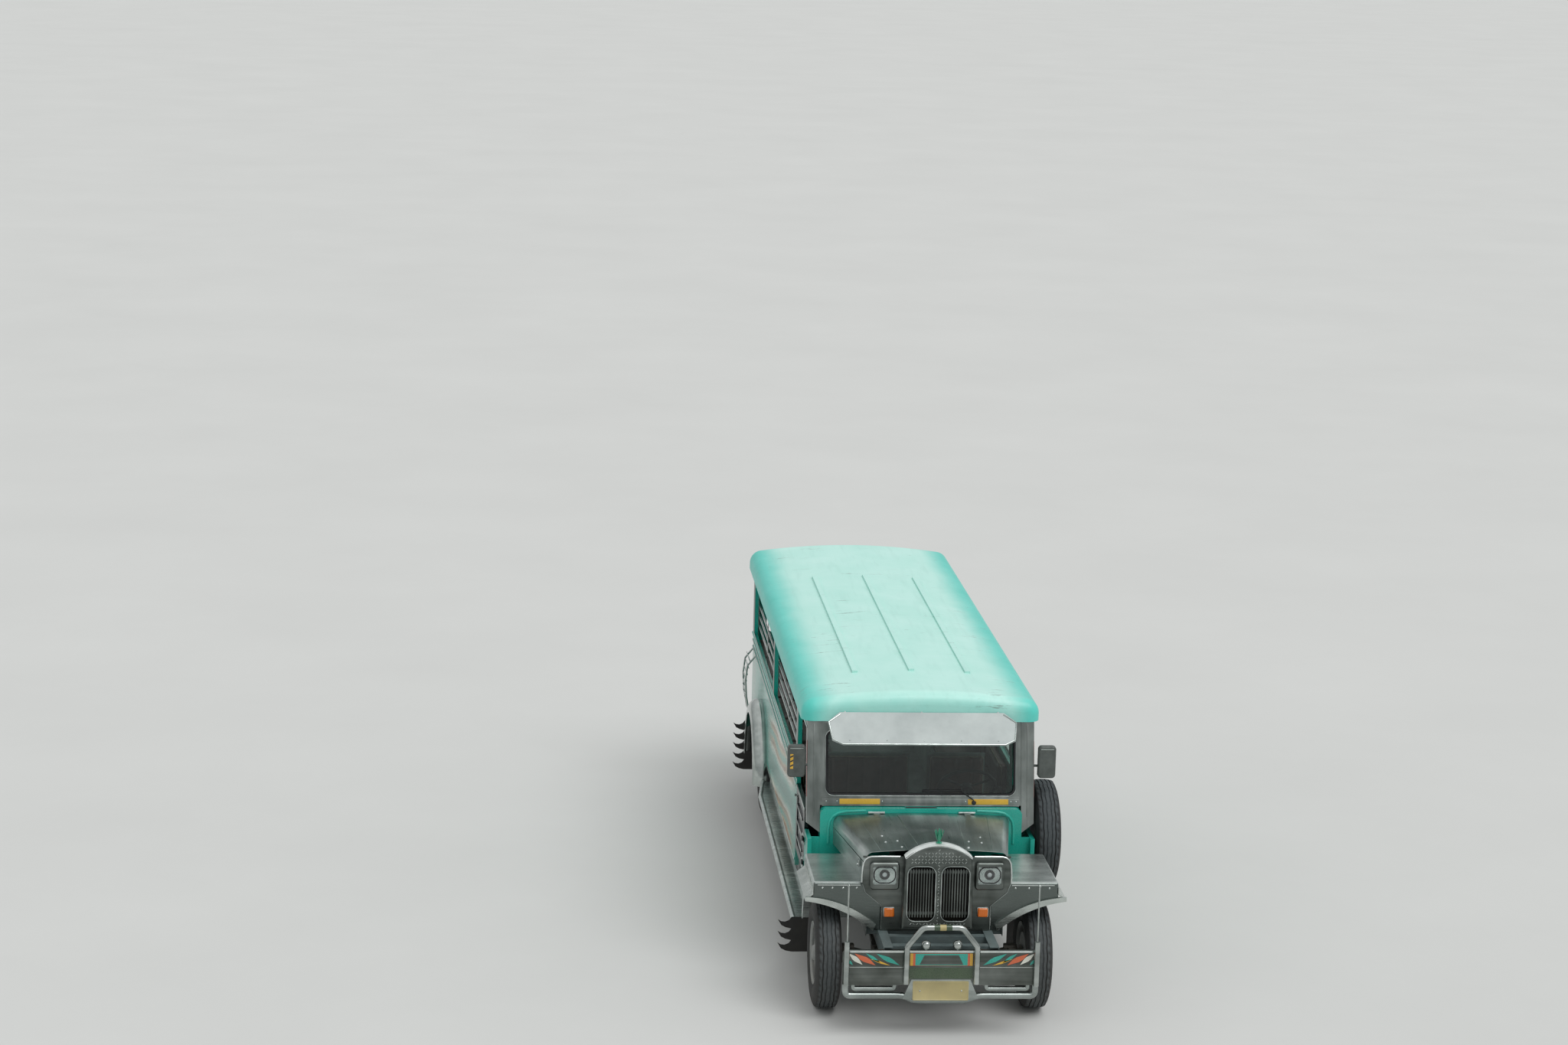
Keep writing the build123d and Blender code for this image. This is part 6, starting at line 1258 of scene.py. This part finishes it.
# %% Number plate sheet
PLATE_X, PLATE_Z, PLATE_HALF = BUMPER_X + 0.006, 0.344, (0.195, 0.070)
PRESSING = ((*PLATE_HALF, 0.010, 0.0), (*PLATE_HALF, 0.010, 0.0020), (0.1930, 0.0680, 0.009, 0.0028),
            (0.1890, 0.0640, 0.007, 0.0028), (0.1870, 0.0620, 0.006, 0.0012))
SCREW_OFF = 0.145
plate_place = placed((PLATE_X, 0, PLATE_Z), *FRONT_FACE)
shape = bmesh.new()
rounded_form(shape, PRESSING, plate_place)
keep(shape, "number_plate_sheet", "cream_plate_enamel")
shape = bmesh.new()
rivets(shape, [plate_place @ Vector((y, 0, 0.0012)) for y in (-SCREW_OFF, SCREW_OFF)], (1, 0, 0), 6)
keep(shape, "number_plate_screws", "trim_polished_stainless")
print("plate", 2 * PLATE_HALF[0], "by", 2 * PLATE_HALF[1], "m")

# %% [markdown]
# ## Sides
# Bright strips run above and below the side windows and along the panels, and flat stainless covers the
# posts between the windows. The lowest strip leaves the wheel arch free. Slanted stripes in teal and
# silver are painted under the sill.

# %% Side strips, post covers and stripes
DOOR_REAR_X, DOOR_FRONT_X = FRONT_X - 1.550, FRONT_X - 0.850
STRIP_START_X, STRIP_END_X, ARCH_HALF = WALL_REAR_X + 0.022, DOOR_REAR_X - 0.022, 0.612
MIDDLE_POST_X = (WALL_REAR_X + DOOR_REAR_X) / 2
STRIPS = (  # from and to along the side, lower and upper height, and how far out
    (STRIP_START_X, DOOR_FRONT_X, 1.812, 1.830, 0.004), (STRIP_START_X, DOOR_REAR_X, 1.314, 1.326, 0.004),
    (STRIP_START_X, STRIP_END_X, 1.173, 1.187, 0.008), (STRIP_START_X, STRIP_END_X, 1.233, 1.247, 0.008),
    (STRIP_START_X, REAR_X - ARCH_HALF, 0.593, 0.607, 0.008),
    (REAR_X + ARCH_HALF, STRIP_END_X, 0.593, 0.607, 0.008),
)
POSTS = ((WALL_REAR_X + 0.004, WALL_REAR_X + 0.146), (MIDDLE_POST_X - 0.046, MIDDLE_POST_X + 0.046),
         (DOOR_REAR_X - 0.126, DOOR_REAR_X - 0.004))
STRIPE_COUNT, STRIPE_APART, FIRST_STRIPE_X = 9, 0.115, DOOR_REAR_X - 0.30
STRIPE = ((0.0, 1.192), (0.050, 1.192), (0.020, 1.228), (-0.030, 1.228))
strips, posts, silver, teal = (bmesh.new() for _ in range(4))
for side in (1, -1):
    face = side * BODY_Y
    for start_x, end_x, low, high, out in STRIPS:
        bar(strips, (start_x, face, low), (end_x, face + side * out, high), 1.5)
    for start_x, end_x in POSTS:
        bar(posts, (start_x, face, 1.330), (end_x, face + side * 0.002, 1.808), 0.8)
    wall = placed((0, face, 0), *SIDE_FACE[side])
    for i in range(STRIPE_COUNT):
        x = FIRST_STRIPE_X - i * STRIPE_APART
        plate(teal if i % 2 else silver, [(-side * (x + along), z) for along, z in STRIPE], 0.8, wall)
keep(strips, "side_bright_strips", "trim_polished_stainless")
keep(posts, "window_post_covers", "post_stainless_sheet")
keep(silver, "side_stripes_silver", "bright_band_stainless")
keep(teal, "side_stripes_teal", "teal_line_enamel")
print(STRIPE_COUNT, "stripes a side")

# %% [markdown]
# The right half door has three bright strips across it, one along its top and a turned knob. At each
# rear corner a ladder of bright fins stands out between two bowed tubes, and small orange lamps sit
# below it.

# %% Door strips, corner fins and side lamps
DOOR_STRIP_HEIGHTS, DOOR_STRIP_HALF = (0.830, 0.950, 1.070), 0.0075
DOOR_KNOB = ((0, 0), (0.016, 0), (0.016, 0.004), (0.010, 0.006), (0.010, 0.020), (0, 0.021))
door_place = placed((DOOR_REAR_X + 0.060, -BODY_Y, 1.125), *SIDE_FACE[-1])
shape = bmesh.new()
for height in DOOR_STRIP_HEIGHTS:
    bar(shape, (DOOR_REAR_X + 0.120, -BODY_Y - 0.0075, height - DOOR_STRIP_HALF),
        (DOOR_FRONT_X - 0.160, -BODY_Y - 0.0045, height + DOOR_STRIP_HALF), 1.2)
bar(shape, (DOOR_REAR_X + 0.010, -BODY_Y - 0.004, 1.176),
    (DOOR_FRONT_X - 0.022, -BODY_Y + 0.001, 1.196), 1.2)
turned(shape, DOOR_KNOB, door_place, 16)
keep(shape, "door_strips", "trim_polished_stainless", "door_right")

FIN_X, FIN_FOOT_Z, FIN_HEAD_Z, FINS = (FRONT_X - 6.045, FRONT_X - 5.750), 0.640, 1.150, 9
FIN_POST = ((0.0, FIN_FOOT_Z - 0.03), (0.045, FIN_FOOT_Z), (0.075, 0.80), (0.085, 0.95), (0.070, 1.08),
            (0.0, FIN_HEAD_Z + 0.02))  # how far out of the body, and how high
SIDE_LAMP = ((0, 0), (0.024, 0), (0.024, 0.012), (0.018, 0.020), (0, 0.024))
fins, orange = bmesh.new(), bmesh.new()
for side in (1, -1):
    for x in FIN_X:
        tube(fins, [(x, side * (BODY_Y + out), z) for out, z in FIN_POST], 0.008, 10)
    for i in range(FINS):
        share = (i + 0.5) / FINS
        out = 0.045 + 0.038 * math.sin(math.pi * share)
        height = FIN_FOOT_Z + (FIN_HEAD_Z - FIN_FOOT_Z) * share
        fin = placed((sum(FIN_X) / 2, side * (BODY_Y + out), height), *SIDE_FACE[side])
        bar(fins, (-0.150, -0.015, -0.003), (0.150, 0.015, 0.003), 1.5, fin @ Matrix.Rotation(0.5, 4, "X"))
    for x in (FRONT_X - 5.80, FRONT_X - 5.95):
        turned(orange, SIDE_LAMP, placed((x, side * BODY_Y, 0.575), *SIDE_FACE[side]), 20)
keep(fins, "rear_corner_fins", "trim_polished_stainless")
keep(orange, "side_marker_lenses", "amber_lens_acrylic")
print(FINS, "fins a side")

# %% [markdown]
# ## Mirrors and door posts
# Each mirror is a shell on an arm. Its glass faces the driver, and the right one has a yellow patch
# with black bars on its back. The post covers have a folded bead and a red strip beside them.

# %% Mirror glass, mirror edges and post strips
MIRROR_Y, MIRROR_Z = BODY_Y + 0.085, 1.600
GLASS_X, BACK_X = FRONT_X - 0.745, FRONT_X - 0.703
MIRROR_GLASS = ((0.060, 0.114, 0.022, 0.0), (0.060, 0.114, 0.022, 0.0020), (0.058, 0.112, 0.021, 0.0028))
PATCH = ((-0.046, -0.055), (-0.024, -0.055), (-0.024, 0.055), (-0.046, 0.055))
PATCH_BAR = ((-0.0455, 0.0), (-0.0245, 0.010), (-0.0245, 0.022), (-0.0455, 0.012))
glasses, rims, patch_yellow, patch_black, folds, reds = (bmesh.new() for _ in range(6))
for side in (1, -1):
    back = placed((GLASS_X, side * MIRROR_Y, MIRROR_Z), *REAR_FACE)
    rounded_form(glasses, MIRROR_GLASS, back)
    beading(rims, back, (0.0615, 0.1165, 0.024), 0.001, 0.0032)
    front = placed((BACK_X, side * MIRROR_Y, MIRROR_Z), *FRONT_FACE)
    bar(rims, (-0.048, 0.094, -0.004), (0.048, 0.103, 0.0012), 0.8, front)
    bar(folds, (side * (BODY_Y - 0.052), -0.070, 0.004), (side * (BODY_Y - 0.044), 0.600, 0.009), 1.5,
        screen)
    bar(reds, (side * (BODY_Y - 0.0005), 0.070, -0.040), (side * (BODY_Y + 0.003), 0.480, -0.004), 0.8,
        screen)
patch_place = placed((BACK_X, -MIRROR_Y, MIRROR_Z), *FRONT_FACE)
plate(patch_yellow, PATCH, 0.6, patch_place)
for i in range(3):
    plate(patch_black, [(y, z - 0.042 + i * 0.034) for y, z in PATCH_BAR], 1.0, patch_place)
keep(glasses, "mirror_glasses", "silvered_mirror_glass")
keep(rims, "mirror_edges", "trim_polished_stainless")
keep(patch_yellow, "mirror_yellow_patch", "yellow_strip_enamel")
keep(patch_black, "mirror_black_bars", "line_black_enamel")
keep(folds, "post_folded_beads", "post_stainless_sheet")
keep(reds, "post_red_strips", "red_strip_enamel")
print("mirrors at", round(MIRROR_Y, 3), "m off the middle")

# %% [markdown]
# ## Cab
# What shows through the windscreen is small: dials in the dashboard, the gear lever with its knob and
# the inner mirror. A dial is a ring, a dark face and a needle, and its marks are plain strokes.

# %% Dials
DASH_X, DASH_Z = FRONT_X - 0.883, 1.125
dash_way = Vector((0.045, 0, 0.160)).normalized()
DIALS = ((0.250, 0.050), (0.500, 0.050), (0.375, 0.034), (0.610, 0.030))  # middle and radius
DIAL_MARKS, NEEDLE_TURN = range(-120, 121, 30), 0.7
faces, marks, dial_rings = (bmesh.new() for _ in range(3))
for y, radius in DIALS:
    dial = placed((DASH_X, y, DASH_Z), (0, -1, 0), (-dash_way.x, 0, dash_way.z))
    turned(faces, [(0, 0), (radius, 0), (radius, 0.003), (0, 0.003)], dial, 28)
    ring = [(-0.004, 0), (0.003, 0), (0.003, 0.006), (-0.001, 0.009), (-0.004, 0.006), (-0.004, 0)]
    turned(dial_rings, [(radius + out, height) for out, height in ring], dial, 28)
    for angle in DIAL_MARKS:
        turn = dial @ Matrix.Rotation(math.radians(angle), 4, "Z")
        bar(marks, (-0.0008, radius * 0.68, 0.0030), (0.0008, radius * 0.86, 0.0036), 0.2, turn)
    needle = dial @ Matrix.Rotation(NEEDLE_TURN, 4, "Z")
    bar(marks, (-0.0009, -0.004, 0.0036), (0.0009, radius * 0.7, 0.0046), 0.3, needle)
keep(faces, "dial_faces", "moulded_black_plastic")
keep(dial_rings, "dial_rings", "trim_polished_stainless")
keep(marks, "dial_marks", "flame_white_enamel")
print(len(DIALS), "dials")

# %% [markdown]
# The gear lever is a bent rod that rises from a black boot, with a turned knob on it. The inner mirror
# is a rounded shell on a short bent stem.

# %% Gear lever and inner mirror
LEVER = ((-1.150, 0.020, 0.690), (-1.165, 0.025, 0.860), (-1.200, 0.040, 0.985), (-1.215, 0.050, 1.060))
BOOT = ((0, 0), (0.050, 0), (0.044, 0.020), (0.024, 0.050), (0.010, 0.075), (0, 0.080))
LEVER_KNOB = ((0, 0), (0.012, 0.002), (0.022, 0.014), (0.023, 0.026), (0.014, 0.041), (0, 0.046))
MIRROR_SHELL = ((0.120, 0.030, 0.020, 0.0), (0.125, 0.034, 0.022, 0.008), (0.125, 0.034, 0.022, 0.016))
MIRROR_STEM = ((0, 0, 0.004), (0, 0.030, -0.030), (0, 0.060, -0.042))
shape, knob = bmesh.new(), bmesh.new()
tube(shape, [(FRONT_X + x, y, z) for x, y, z in LEVER], 0.007, 10)
turned(shape, BOOT, Matrix.Translation((FRONT_X - 1.152, 0.021, 0.690)), 20)
turned(knob, LEVER_KNOB, Matrix.Translation((FRONT_X - 1.217, 0.051, 1.052)), 20)
keep(shape, "gear_lever", "chassis_black_enamel")
keep(knob, "gear_knob", "moulded_black_plastic")
shape = bmesh.new()
inner_mirror = placed((FRONT_X - 0.900, 0.000, 1.765), *REAR_FACE)
rounded_form(shape, MIRROR_SHELL, inner_mirror)
tube(shape, [inner_mirror @ Vector(point) for point in MIRROR_STEM], 0.006, 8)
keep(shape, "inner_mirror", "moulded_black_plastic")
print("lever from", LEVER[0][2], "to", LEVER[-1][2], "m up")

# %% [markdown]
# ## Seats
# A bench pad is foam in a sewn vinyl cover: it bulges between its seams and its sides pull in between
# the corners. A rounded block that is a little too small is remeshed to an even skin and inflated by
# the cloth solver, as a cover is when it is filled. The move of each point is capped, the result is
# kept inside the space of the CAD cushion, and the seams are pressed in afterwards, because the remesh
# would have erased them.

# %% Stuffed pads
PRESSURE, SIM_FRAMES = 4.0, 20


def own_mesh(piece):
    """Give a piece the mesh that its modifiers make, and take the modifiers off."""
    graph = bpy.context.evaluated_depsgraph_get()
    mesh = bpy.data.meshes.new_from_object(piece.evaluated_get(graph))
    piece.modifiers.clear()
    piece.data = mesh
    return mesh


def stuffed(size, inset, round_m, voxel, cap):
    """The mesh of one pad of a size, lying on z = 0 and centred on x = y = 0."""
    block = bmesh.new()
    half_x, half_y, height = size[0] / 2 - inset, size[1] / 2 - inset, size[2] - 0.6 * inset
    bar(block, (-half_x, -half_y, 0), (half_x, half_y, height), 1000 * round_m)
    mesh = bpy.data.meshes.new("pad")
    block.to_mesh(mesh)
    block.free()
    piece = bpy.data.objects.new("pad", mesh)
    bpy.context.scene.collection.objects.link(piece)
    remesh = piece.modifiers.new("even_skin", "REMESH")
    remesh.mode, remesh.voxel_size = "VOXEL", voxel
    skin = own_mesh(piece)
    start = [corner.co.copy() for corner in skin.vertices]
    cloth = piece.modifiers.new("cover", "CLOTH")
    cloth.settings.use_pressure = True
    cloth.settings.uniform_pressure_force = PRESSURE
    cloth.settings.effector_weights.gravity = 0.0
    cloth.settings.quality = 4
    for number in range(1, SIM_FRAMES + 1):
        bpy.context.scene.frame_set(number)
    skin = own_mesh(piece)
    bpy.context.scene.frame_set(1)
    for corner, first in zip(skin.vertices, start):
        move = corner.co - first
        if move.length > cap:
            move.length = cap
        moved = first + move
        x, y = (max(-full / 2, min(full / 2, value)) for full, value in zip(size, moved.xy))
        corner.co = (x, y, max(0.0, min(size[2], moved.z)))
    bpy.data.objects.remove(piece)
    return skin


def smoother(mesh):
    """A pad's mesh, subdivided once so that its curves and its seams read."""
    piece = bpy.data.objects.new("pad", mesh)
    bpy.context.scene.collection.objects.link(piece)
    level = piece.modifiers.new("smoother", "SUBSURF")
    level.levels = level.render_levels = 1
    finished = own_mesh(piece)
    bpy.data.objects.remove(piece)
    return finished


def press_seams(mesh, axis, places, depth, width):
    """Press channels into a pad's top, across one axis at the given places."""
    top = max(corner.co.z for corner in mesh.vertices)
    for corner in mesh.vertices:
        share = max(0.0, min(1.0, corner.co.z / top * 2 - 0.8))
        for place in places:
            reach = (corner.co[axis] - place) / width
            corner.co.z -= depth * share * math.exp(-reach * reach)


def upholster(name, pads, node, piping_mm=3.0):
    """Join placed pads to one piece, sew a piping cord round each, and let both ride on the vehicle."""
    joined, cord = bmesh.new(), bmesh.new()
    for mesh, place, size in pads:
        part = bmesh.new()
        part.from_mesh(mesh)
        skin = BVHTree.FromBMesh(part)
        loop = []
        for x, y in rounded_outline(size[0] / 2 - 0.012, size[1] / 2 - 0.012, 0.035, steps=4):
            near = skin.find_nearest(Vector((x * 1.2, y * 1.2, size[2] * 0.80)))[0]
            loop.append(place @ near)
        tube(cord, loop, piping_mm / 1000, 6, closed=True)
        bmesh.ops.transform(part, matrix=place, verts=part.verts)
        holder = bpy.data.meshes.new("placed_pad")
        part.to_mesh(holder)
        part.free()
        joined.from_mesh(holder)
    bmesh.ops.recalc_face_normals(joined, faces=joined.faces)
    cushion_mesh = bpy.data.meshes.new(name)
    joined.to_mesh(cushion_mesh)
    joined.free()
    cushion_mesh.shade_smooth()
    cushion_mesh.materials.clear()
    cushion_mesh.materials.append(finishes["sewn_seat_vinyl"])
    cushion = bpy.data.objects.new(name, cushion_mesh)
    bpy.context.scene.collection.objects.link(cushion)
    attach(cushion, "vehicle")
    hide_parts(node)
    keep(cord, name + "_piping", "piping_vinyl")
    return cushion


print("pads are inflated over", SIM_FRAMES, "frames")

# %% [markdown]
# Each front seat has a pad to sit on and a pad to lean on, with three sewn channels, or five on the wide
# one. The side benches are long, so one section of seat and one of back are inflated once and repeated,
# as the real ones are sewn from equal panels.

# %% Front seats and benches
FRONT_SEATS = ((0.375, 0.460, 3), (-0.330, 0.720, 5))  # middle, width and sewn channels
seat_pads = []
for middle, width, channels in FRONT_SEATS:
    seams = [width * ((i + 1) / (channels + 1) - 0.5) for i in range(channels)]
    lying = Matrix.Translation((FRONT_X - 1.385, middle, 0.930))
    upright = placed((FRONT_X - 1.620, middle, 1.2425), (0, 0, -1), (0, 1, 0))
    for size, place in (((0.470, width, 0.110), lying), ((0.385, width, 0.095), upright)):
        pad = smoother(stuffed(size, 0.014, 0.022, 0.011, 0.016))
        press_seams(pad, 1, seams, 0.007, 0.009)
        seat_pads.append((pad, place, size))
front_seats = upholster("front_seats", seat_pads, "front_seat_cushions")
bench_low, bench_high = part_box("bench_cushions")
SECTIONS = 6
length = (bench_high.x - bench_low.x) / SECTIONS
seat_size, back_size = (length, 0.390, 0.080), (0.195, length, 0.076)
seat_pad = stuffed(seat_size, 0.010, 0.018, 0.013, 0.012)
back_pad = stuffed(back_size, 0.009, 0.016, 0.013, 0.011)
bench_pads = []
for side in (1, -1):
    for i in range(SECTIONS):
        x = bench_low.x + length * (i + 0.5)
        bench_pads.append((seat_pad, Matrix.Translation((x, side * (BODY_Y - 0.235), 1.000)), seat_size))
        back = placed((x, side * (BODY_Y - 0.030), 1.1875), (0, 0, -side), (1, 0, 0))
        bench_pads.append((back_pad, back, back_size))
benches = upholster("side_benches", bench_pads, "bench_cushions")
for piece in (front_seats, benches):
    corners = [corner.co for corner in piece.data.vertices]
    print(piece.name, len(piece.data.polygons), "faces,",
          [[round(pick(c[k] for c in corners), 3) for k in range(3)] for pick in (min, max)])

# %% [markdown]
# ## Floor and light
# The studio is a plain pale floor under a pale dome. The dome gives most of the light, and one broad
# lamp from the upper right of the camera gives the shadows a direction. Together they light a level
# surface so that a colour renders about as it is written.

# %% Floor, dome and lamp
floor_shape = bmesh.new()
bmesh.ops.create_circle(floor_shape, cap_ends=True, segments=96, radius=400.0)
floor_mesh = bpy.data.meshes.new("studio_floor")
floor_shape.to_mesh(floor_mesh)
floor_shape.free()
studio_floor = bpy.data.objects.new("studio_floor", floor_mesh)
bpy.context.scene.collection.objects.link(studio_floor)
material, tree, shader, place = new_finish("painted_studio_floor", roughness=0.7)
tree.links.new(drifting(tree, place, 3000, "#c9cac8", "#cdcecc"), shader.inputs["Base Color"])
floor_mesh.materials.append(material)

world = bpy.data.worlds.new("pale_dome")
bpy.context.scene.world = world
world.use_nodes = True
dome = world.node_tree
SKY = [(0.0, "#b9bdbd"), (0.12, "#c9cccc"), (0.5, "#eef0f0"), (1.0, "#ffffff")]
way = add_node(dome, "TexCoord").outputs["Generated"]
height = add_node(dome, "SeparateXYZ", {"Vector": way}).outputs["Z"]
sky_tone = add_node(dome, "ValToRGB", {"Fac": height}, SKY)
background = dome.nodes["Background"]
dome.links.new(sky_tone.outputs["Color"], background.inputs["Color"])
background.inputs["Strength"].default_value = 0.8

lamp = bpy.data.objects.new("broad_lamp", bpy.data.lights.new("broad_lamp", "SUN"))
bpy.context.scene.collection.objects.link(lamp)
lamp.data.energy = 1.3
lamp.data.angle = math.radians(40)
lamp.rotation_euler = Vector((0.5, 0.45, 1.0)).to_track_quat("Z", "Y").to_euler()
bpy.context.scene.view_settings.view_transform = "Standard"
print("floor, dome and lamp ready")
